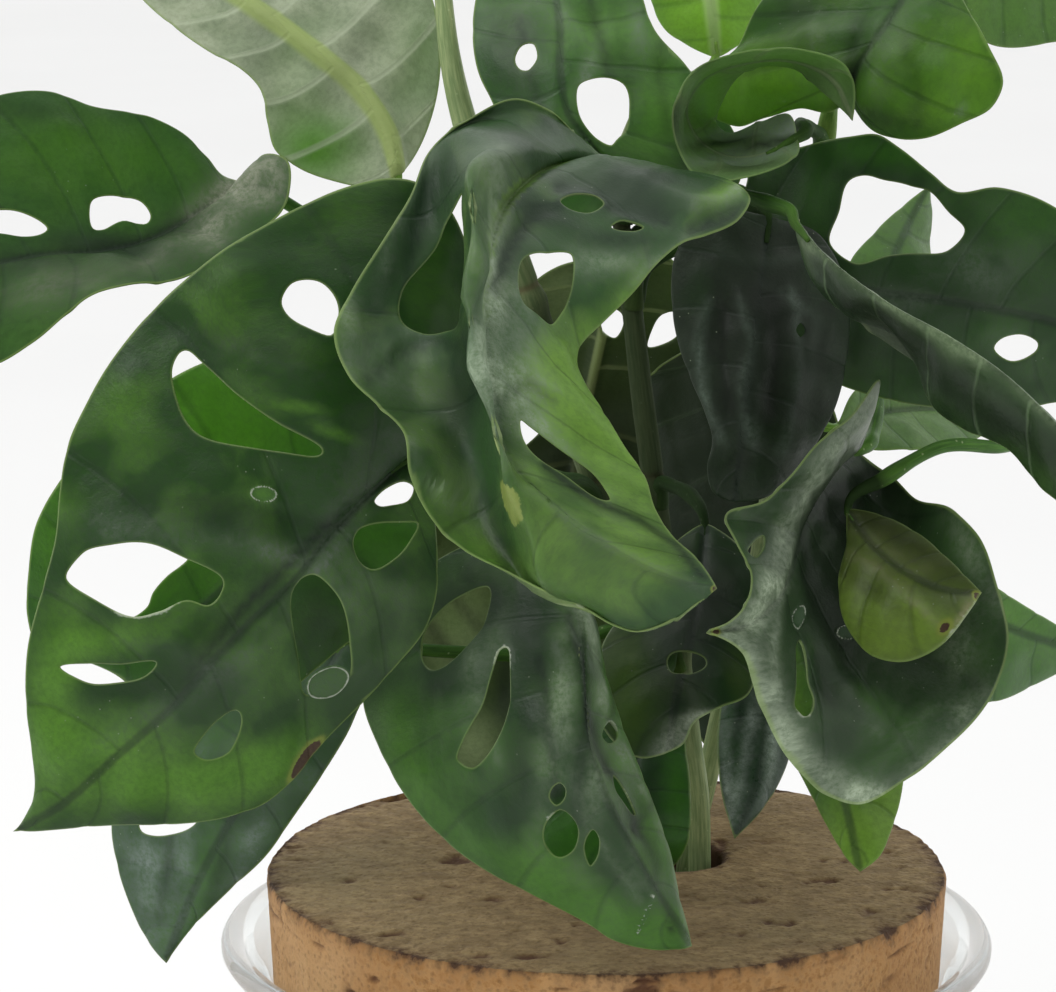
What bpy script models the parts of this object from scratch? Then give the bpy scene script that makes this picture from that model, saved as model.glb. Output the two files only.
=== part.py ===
"""Swiss cheese vine (Monstera adansonii): cuttings that stand in a glass jar of
water, held upright by a cork lid with a hole for the stems.

Metres, +Z up. The origin is the middle of the jar's flat foot. The front of
the plant faces -Y.

Each blade is a thin curved plate, skinned over a few growth lines that run
from the base of the blade to its tip: the left margin, the midrib, the right
margin and, where the blade folds or rolls, the lines of the fold. The growth
lines are set out on a front elevation in perspective: u counts to the right,
v counts down, in steps of about 0.18 mm at the vine's axis, and d is how far
a point stands in front of that axis, in millimetres.
"""

import math

import bpy
import numpy as np
from mathutils import Vector
from mathutils.geometry import delaunay_2d_cdt

# ---------------------------------------------------------------- dimensions

CORK_TOP_R = 0.0600  # cork lid, radius of its upper face
CORK_FOOT_R = 0.0586
CORK_TOP_Z = 0.1405
CORK_THICK = 0.0280
STEM_HOLE_R = 0.0088  # the hole that the stems come through
STEM_HOLE = (0.0120, 0.0066)

LIP_R = 0.0680  # rolled rim of the jar
LIP_Z = 0.1275  # height of the widest part of the rim
NECK_R = 0.0628
BODY_R = 0.0760
FOOT_R = 0.0540
GLASS = 0.0033  # wall
FLOOR_THICK = 0.0060

WATER_Z = 0.0800
WELL_R = 0.0270  # room that the roots take in the water
WELL_FLOOR = 0.0140
ROOT_TOP_Z = 0.0700
ROOT_LOW_Z = 0.0190

GAP = 0.0003
BLADE = 0.0007  # thickness of a leaf blade
STEM_R = 0.0021
PETIOLE_R = 0.00125

# the front elevation
VIEW_PITCH = math.radians(11.8)
VIEW_FOCAL = 3967.0
VIEW_CENTRE = (528.0, 496.0)
VIEW_RIGHT = np.array([1.0, 0.0, 0.0])
VIEW_AHEAD = np.array([0.0, math.cos(VIEW_PITCH), -math.sin(VIEW_PITCH)])
VIEW_UP = np.array([0.0, math.sin(VIEW_PITCH), math.cos(VIEW_PITCH)])
VIEW_DISTANCE = 0.700
EYE = np.array([0.0, 0.0, CORK_TOP_Z]) - VIEW_DISTANCE * (
    VIEW_AHEAD
    + VIEW_RIGHT * (606.0 - VIEW_CENTRE[0]) / VIEW_FOCAL
    - VIEW_UP * (864.0 - VIEW_CENTRE[1]) / VIEW_FOCAL
)


def sight(u, v, d):
    """The point at (u, v) of the elevation, d millimetres in front of the axis."""
    ray = (
        VIEW_AHEAD
        + VIEW_RIGHT * (u - VIEW_CENTRE[0]) / VIEW_FOCAL
        - VIEW_UP * (v - VIEW_CENTRE[1]) / VIEW_FOCAL
    )
    return EYE + ray * ((-d / 1000.0 - EYE[1]) / ray[1])


def elevation(points):
    """(u, v) of points, as columns."""
    rel = points - EYE
    far = rel @ VIEW_AHEAD
    return np.stack(
        [
            VIEW_CENTRE[0] + VIEW_FOCAL * (rel @ VIEW_RIGHT) / far,
            VIEW_CENTRE[1] - VIEW_FOCAL * (rel @ VIEW_UP) / far,
        ],
        axis=-1,
    )


# --------------------------------------------------------- curves and blades


def slopes(xs, ys):
    """Tangents of a smooth curve through ys at the knots xs (knots first)."""
    h = np.diff(xs).reshape((-1,) + (1,) * (ys.ndim - 1))
    step = np.diff(ys, axis=0) / h
    m = np.empty_like(ys)
    if len(xs) == 2:
        m[:] = step[0]
        return m
    m[1:-1] = (h[1:] * step[:-1] + h[:-1] * step[1:]) / (h[1:] + h[:-1])
    m[0] = 1.5 * step[0] - 0.5 * m[1]
    m[-1] = 1.5 * step[-1] - 0.5 * m[-2]
    return m


def blend(q, h, y0, y1, m0, m1):
    q2, q3 = q * q, q * q * q
    return (
        (2 * q3 - 3 * q2 + 1) * y0
        + (q3 - 2 * q2 + q) * h * m0
        + (3 * q2 - 2 * q3) * y1
        + (q3 - q2) * h * m1
    )


class Line:
    """A smooth curve through points, read by its share of length. A point may
    carry a fourth number, the share at which it is met."""

    def __init__(self, points):
        self.p = np.array([sight(*p[:3]) for p in points])
        along = np.concatenate(
            [[0], np.cumsum(np.linalg.norm(np.diff(self.p, axis=0), axis=1))]
        )
        self.c = along / along[-1]
        self.m = slopes(self.c, self.p)
        pins = [(0.0, 0.0)]
        pins += [(p[3], self.c[i]) for i, p in enumerate(points) if len(p) > 3]
        pins += [(1.0, 1.0)]
        self.ps = np.array([a for a, _ in pins])
        self.pc = np.array([b for _, b in pins])
        h, step = np.diff(self.ps), np.diff(self.pc) / np.diff(self.ps)
        self.pm = np.empty(len(pins))
        self.pm[0], self.pm[-1] = step[0], step[-1]
        for i in range(1, len(pins) - 1):
            w0, w1 = 2 * h[i] + h[i - 1], h[i] + 2 * h[i - 1]
            self.pm[i] = (w0 + w1) / (w0 / step[i - 1] + w1 / step[i])

    def at(self, s):
        s = np.clip(np.asarray(s, float), 0, 1)
        i = np.clip(np.searchsorted(self.ps, s, side="right") - 1, 0, len(self.ps) - 2)
        h = self.ps[i + 1] - self.ps[i]
        c = blend(
            (s - self.ps[i]) / h, h, self.pc[i], self.pc[i + 1], self.pm[i], self.pm[i + 1]
        )
        c = np.clip(c, 0, 1)
        j = np.clip(np.searchsorted(self.c, c, side="right") - 1, 0, len(self.c) - 2)
        h = (self.c[j + 1] - self.c[j])[..., None]
        q = (c[..., None] - self.c[j][..., None]) / h
        return blend(q, h, self.p[j], self.p[j + 1], self.m[j], self.m[j + 1])


def unit(v):
    return v / np.maximum(np.linalg.norm(v, axis=-1, keepdims=True), 1e-12)


class Blade:
    """A blade's middle surface, in s from base to tip and t from the left
    margin, -1, over the midrib, 0, to the right margin, 1, as seen on its
    upper face with the tip down."""

    def __init__(self, lines, arch=(0.06, 0.06), wave=(0.0, 3.0, 0.0)):
        self.lines = {t: Line(p) for t, p in lines.items()}
        self.sides = {
            sign: sorted((t for t in self.lines if t * sign >= 0), key=abs)
            for sign in (-1, 1)
        }
        self.arch, self.wave = arch, wave
        self.k = 1.0
        s = np.linspace(0, 1, 401)
        mid = self.lines[0].at(s)
        run = np.concatenate(
            [[0], np.cumsum(np.linalg.norm(np.diff(mid, axis=0), axis=1))]
        )
        self.run_s, self.run = s, run
        self.length = run[-1]
        while self.k > 0 and not self.opens():
            self.k -= 0.1

    def ahead(self, s):
        e = 4e-3
        a, b = np.clip(s - e, 0, 1), np.clip(s + e, 0, 1)
        return unit(self.lines[0].at(b) - self.lines[0].at(a))

    def at(self, s, t):
        s, t = np.asarray(s, float), np.asarray(t, float)
        out = np.empty(s.shape + (3,))
        for sign in (-1, 1):
            m = (t < 0) if sign < 0 else (t >= 0)
            if not m.any():
                continue
            ss, tt = s[m], np.abs(t[m])[:, None]
            ts = self.sides[sign]
            xs = np.abs(np.array(ts))
            rows = np.array([self.lines[k].at(ss) for k in ts])
            across = rows[-1] - rows[0]
            up = np.cross(self.ahead(ss), across * sign)
            wide = np.linalg.norm(across, axis=1, keepdims=True)
            up = unit(up)
            if len(ts) == 2:
                p = rows[0] + across * tt
                p += up * wide * self.arch[0 if sign < 0 else 1] * 4 * tt * (1 - tt)
            else:
                ms = slopes(xs, rows)
                i = np.clip(
                    np.searchsorted(xs, tt[:, 0], side="right") - 1, 0, len(xs) - 2
                )
                n = np.arange(len(ss))
                h = (xs[i + 1] - xs[i])[:, None]
                q = (tt - xs[i][:, None]) / h
                p = blend(
                    q, h, rows[i, n], rows[i + 1, n], ms[i, n], ms[i + 1, n]
                )
            high, turns, start = self.wave
            p += (
                up
                * high
                * tt**3
                * np.sin(2 * math.pi * (turns * ss[:, None] + start + 0.13 * sign))
                * np.sin(math.pi * np.clip(ss, 0, 1))[:, None]
            )
            out[m] = p
        return out

    def flat(self, s, t):
        """The blade laid flat: x across, y along the midrib."""
        s, t = np.asarray(s, float), np.asarray(t, float)
        xy = np.empty(s.shape + (2,))
        for sign in (-1, 1):
            m = (t < 0) if sign < 0 else (t >= 0)
            if not m.any():
                continue
            ss, tt = s[m], np.abs(t[m])
            rows = np.array([self.lines[k].at(ss) for k in self.sides[sign]])
            path = np.linalg.norm(np.diff(rows, axis=0), axis=2).sum(axis=0)
            across = rows[-1] - rows[0]
            wide = np.maximum(np.linalg.norm(across, axis=1), 1e-9)
            cos = self.k * (across * self.ahead(ss)).sum(axis=1) / wide
            cos = np.clip(cos, -0.97, 0.97)
            sin = np.sqrt(1 - cos * cos)
            xy[m, 0] = sign * sin * path * tt
            xy[m, 1] = np.interp(ss, self.run_s, self.run) + cos * path * tt
        return xy

    def opens(self):
        """True if the flat map never folds over itself."""
        s, t = np.meshgrid(np.linspace(0.004, 0.996, 120), np.linspace(-1, 1, 9))
        xy = self.flat(s.ravel(), t.ravel()).reshape(s.shape + (2,))
        ds = xy[:-1, 1:] - xy[:-1, :-1]
        dt = xy[1:, :-1] - xy[:-1, :-1]
        turn = dt[..., 0] * ds[..., 1] - dt[..., 1] * ds[..., 0]
        return bool((turn > 0).all())

    def find(self, u, v, side=(-1.0, 1.0)):
        """(s, t) of the blade point that lies at (u, v) of the elevation."""
        s, t = np.meshgrid(np.linspace(0.02, 0.98, 49), np.linspace(side[0], side[1], 33))
        s, t = s.ravel(), t.ravel()
        uv = elevation(self.at(s, t))
        best = np.argmin((uv[:, 0] - u) ** 2 + (uv[:, 1] - v) ** 2)
        p = np.array([s[best], t[best]])
        for _ in range(10):
            e = 1e-3
            q = np.array([p, p + (e, 0), p + (0, e if p[1] < side[1] - e else -e)])
            w = elevation(self.at(q[:, 0], q[:, 1]))
            jac = np.stack([(w[1] - w[0]) / e, (w[2] - w[0]) / (q[2, 1] - p[1])], axis=1)
            if abs(np.linalg.det(jac)) < 1e-6:
                break
            move = np.linalg.solve(jac, np.array([u, v]) - w[0])
            p = p + np.clip(move, -0.05, 0.05)
            p = np.array([np.clip(p[0], 0.01, 0.99), np.clip(p[1], *side)])
        return p


def ring(points, count):
    """A smooth closed curve through points, read at count places."""
    p = np.array(points, float)
    n = len(p)
    out = []
    for i in range(count):
        x = i * n / count
        j = int(x)
        q = x - j
        a, b, c, d = p[j - 1], p[j % n], p[(j + 1) % n], p[(j + 2) % n]
        out.append(
            0.5
            * (
                2 * b
                + (c - a) * q
                + (2 * a - 5 * b + 4 * c - d) * q * q
                + (3 * b - a - 3 * c + d) * q**3
            )
        )
    return np.array(out)


def inside(xy, loop):
    """For each point, whether it is inside the closed loop."""
    x, y = xy[:, 0][:, None], xy[:, 1][:, None]
    x0, y0 = loop[:, 0][None], loop[:, 1][None]
    x1, y1 = np.roll(loop[:, 0], -1)[None], np.roll(loop[:, 1], -1)[None]
    hit = ((y0 > y) != (y1 > y)) & (
        x < (x1 - x0) * (y - y0) / np.where(y1 == y0, 1e-12, y1 - y0) + x0
    )
    return hit.sum(axis=1) % 2 == 1


def margin_shares(blade, t, h):
    """Shares s along a margin, about h apart in space, ends left out."""
    s = np.linspace(0, 1, 801)
    p = blade.at(s, np.full_like(s, t))
    run = np.concatenate([[0], np.cumsum(np.linalg.norm(np.diff(p, axis=0), axis=1))])
    n = max(5, int(round(run[-1] / h)))
    return np.interp(np.arange(1, n) * run[-1] / n, run, s)


def slot(s, t, half_s, half_t):
    """(s, t) round an oval hole that leans towards the tip, as side veins do."""
    turn = np.arange(8) * math.pi / 4
    across = half_t * np.cos(turn)
    lean = 0.16 * across * np.sign(t)
    return np.stack([s + half_s * np.sin(turn) + lean, t + across], axis=1)


def blade_mesh(blade, holes, slots, h, hole_h):
    """(s, t) of the vertices and the triangles of a blade with its holes."""
    left, right = margin_shares(blade, -1.0, h), margin_shares(blade, 1.0, h)
    edge = (
        [(0.0, 0.0)]
        + [(a, -1.0) for a in left]
        + [(1.0, 0.0)]
        + [(a, 1.0) for a in right[::-1]]
    )
    loops = [np.array(edge)]
    outlines = [[blade.find(u, v, side) for u, v in line] for line, side in holes]
    for picks in outlines + [slot(*numbers) for numbers in slots]:
        fine = ring(picks, 48)
        p = blade.at(fine[:, 0], fine[:, 1])
        round_it = np.linalg.norm(p - np.roll(p, 1, axis=0), axis=1).sum()
        loops.append(ring(picks, max(6, int(round(round_it / hole_h)))))
    flats = [blade.flat(loop[:, 0], loop[:, 1]) for loop in loops]
    inner = []
    ns = max(3, int(round(blade.length / h)))
    for i in range(1, ns):
        s = i / ns
        for sign in (-1, 1):
            wide = np.linalg.norm(
                blade.at([s], [float(sign)]) - blade.at([s], [0.0])
            )
            nt = max(1, int(round(wide / h)))
            for j in range(0 if sign > 0 else 1, nt):
                inner.append((s, sign * (j + (0.25 if i % 2 and j else 0.0)) / nt))
    inner = np.array(inner)
    xy = blade.flat(inner[:, 0], inner[:, 1])
    keep = inside(xy, flats[0])
    for k, loop in enumerate(flats):
        if k:
            keep &= ~inside(xy, loop)
        a, b = loop, np.roll(loop, -1, axis=0)
        ab = b - a
        q = ((xy[:, None] - a[None]) * ab[None]).sum(axis=2) / (ab**2).sum(axis=1)
        near = a[None] + np.clip(q, 0, 1)[..., None] * ab[None]
        far = np.linalg.norm(xy[:, None] - near, axis=2).min(axis=1)
        keep &= far > 0.45 * (h if k == 0 else min(h, 1.4 * hole_h))
    st = np.concatenate(loops + [inner[keep]])
    flat = np.concatenate(flats + [xy[keep]])
    edges, at = [], 0
    for loop in loops:
        n = len(loop)
        edges += [(at + i, at + (i + 1) % n) for i in range(n)]
        at += n
    verts, _, faces, origin, _, _ = delaunay_2d_cdt(
        [Vector(p) for p in flat * 1000.0], edges, [], 1, 1e-6
    )
    index = [o[0] if o else -1 for o in origin]
    if -1 in index:
        raise ValueError("a hole crosses a margin or another hole")
    tris = np.array([[index[i] for i in f] for f in faces])
    middle = flat[tris].mean(axis=1)
    keep = np.ones(len(tris), bool)
    for loop in flats[1:]:
        keep &= ~inside(middle, loop)
    tris = tris[keep]
    p = flat[tris]
    e, f = p[:, 1] - p[:, 0], p[:, 2] - p[:, 0]
    turn = e[:, 0] * f[:, 1] - e[:, 1] * f[:, 0]
    # clockwise on the flat map is upwards in space
    tris[turn > 0] = tris[turn > 0][:, ::-1]
    return st, tris


def plate(points, tris, thick):
    """A closed thin solid about the surface of triangles."""
    normal = np.zeros_like(points)
    face = np.cross(
        points[tris[:, 1]] - points[tris[:, 0]], points[tris[:, 2]] - points[tris[:, 0]]
    )
    for k in range(3):
        np.add.at(normal, tris[:, k], face)
    normal = unit(normal)
    n = len(points)
    verts = np.concatenate([points + normal * thick / 2, points - normal * thick / 2])
    faces = [tuple(f) for f in tris] + [tuple(f[::-1] + n) for f in tris]
    seen = {}
    for f in tris:
        for a, b in ((f[0], f[1]), (f[1], f[2]), (f[2], f[0])):
            seen[(a, b)] = True
    for a, b in list(seen):
        if (b, a) not in seen:
            faces += [(b, a, a + n), (b, a + n, b + n)]
    return verts, faces


def tube(path, radii, sides, samples):
    """A closed round tube along a smooth curve through world points."""
    p = np.array(path, float)
    c = np.concatenate([[0], np.cumsum(np.linalg.norm(np.diff(p, axis=0), axis=1))])
    c /= c[-1]
    m = slopes(c, p)
    x = np.linspace(0, 1, samples)
    i = np.clip(np.searchsorted(c, x, side="right") - 1, 0, len(c) - 2)
    h = (c[i + 1] - c[i])[:, None]
    at = blend((x[:, None] - c[i][:, None]) / h, h, p[i], p[i + 1], m[i], m[i + 1])
    r = np.interp(x, np.linspace(0, 1, len(radii)), radii)
    along = unit(np.gradient(at, axis=0))
    side = unit(np.cross(along[0], [0.31, 0.95, 0.07]))
    verts, faces = [], []
    for k in range(samples):
        side = unit(side - along[k] * (side @ along[k]))
        other = np.cross(along[k], side)
        for j in range(sides):
            a = 2 * math.pi * j / sides
            verts.append(at[k] + r[k] * (math.cos(a) * side + math.sin(a) * other))
    for k in range(samples - 1):
        for j in range(sides):
            a, b = k * sides + j, k * sides + (j + 1) % sides
            faces.append((a, b, b + sides, a + sides))
    faces.append(tuple(range(sides - 1, -1, -1)))
    faces.append(tuple((samples - 1) * sides + j for j in range(sides)))
    return np.array(verts), faces


def turned(profile, count, centre=(0.0, 0.0)):
    """A closed solid of revolution. The profile starts and ends on the axis and
    runs up the outside."""
    verts, faces = [], []
    rings = []
    for r, z in profile:
        if r < 1e-9:
            rings.append([len(verts)])
            verts.append((centre[0], centre[1], z))
        else:
            rings.append(list(range(len(verts), len(verts) + count)))
            for j in range(count):
                a = 2 * math.pi * j / count
                verts.append(
                    (centre[0] + r * math.cos(a), centre[1] + r * math.sin(a), z)
                )
    for low, high in zip(rings, rings[1:]):
        for j in range(count):
            k = (j + 1) % count
            if len(low) == 1:
                faces.append((low[0], high[k], high[j]))
            elif len(high) == 1:
                faces.append((low[j], low[k], high[0]))
            else:
                faces.append((low[j], low[k], high[k], high[j]))
    return verts, faces


# ------------------------------------------------------------------ the scene


def clear_scene():
    for ob in list(bpy.data.objects):
        bpy.data.objects.remove(ob, do_unlink=True)


def material(name, colour, roughness, metallic=0.0, alpha=1.0):
    mat = bpy.data.materials.new(name)
    mat.use_nodes = True
    shader = mat.node_tree.nodes["Principled BSDF"]
    shader.inputs["Base Color"].default_value = (*colour, 1.0)
    shader.inputs["Roughness"].default_value = roughness
    shader.inputs["Metallic"].default_value = metallic
    shader.inputs["Alpha"].default_value = alpha
    return mat


def add(name, verts, faces, mat, smooth=True):
    mesh = bpy.data.meshes.new(name)
    mesh.from_pydata([tuple(map(float, v)) for v in verts], [], [tuple(map(int, f)) for f in faces])
    mesh.validate()
    if smooth:
        mesh.shade_smooth()
        mesh.set_sharp_from_angle(angle=math.radians(40))
    mesh.materials.append(mat)
    ob = bpy.data.objects.new(name, mesh)
    bpy.context.scene.collection.objects.link(ob)
    return ob


def cut(ob, cutter):
    cutter.hide_render = True
    cutter.display_type = "WIRE"
    mod = ob.modifiers.new("cut", "BOOLEAN")
    mod.operation = "DIFFERENCE"
    mod.solver = "EXACT"
    mod.object = cutter


# ------------------------------------------------------------- the leaf table
#
# lines: growth lines, by t. holes: outlines on the elevation, each with the
# range of t that it lies in. slots: oval holes between the side veins, each as
# its middle (s, t) and its half sizes along s and t. stalk: the petiole's route
# from its stem to the blade, by elevation. tone: which leaf material it takes.
# h: spacing of the blade's mesh in millimetres.

ALL = (-1.0, 1.0)
LEFT = (-1.0, 0.0)
RIGHT = (0.0, 1.0)

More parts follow.
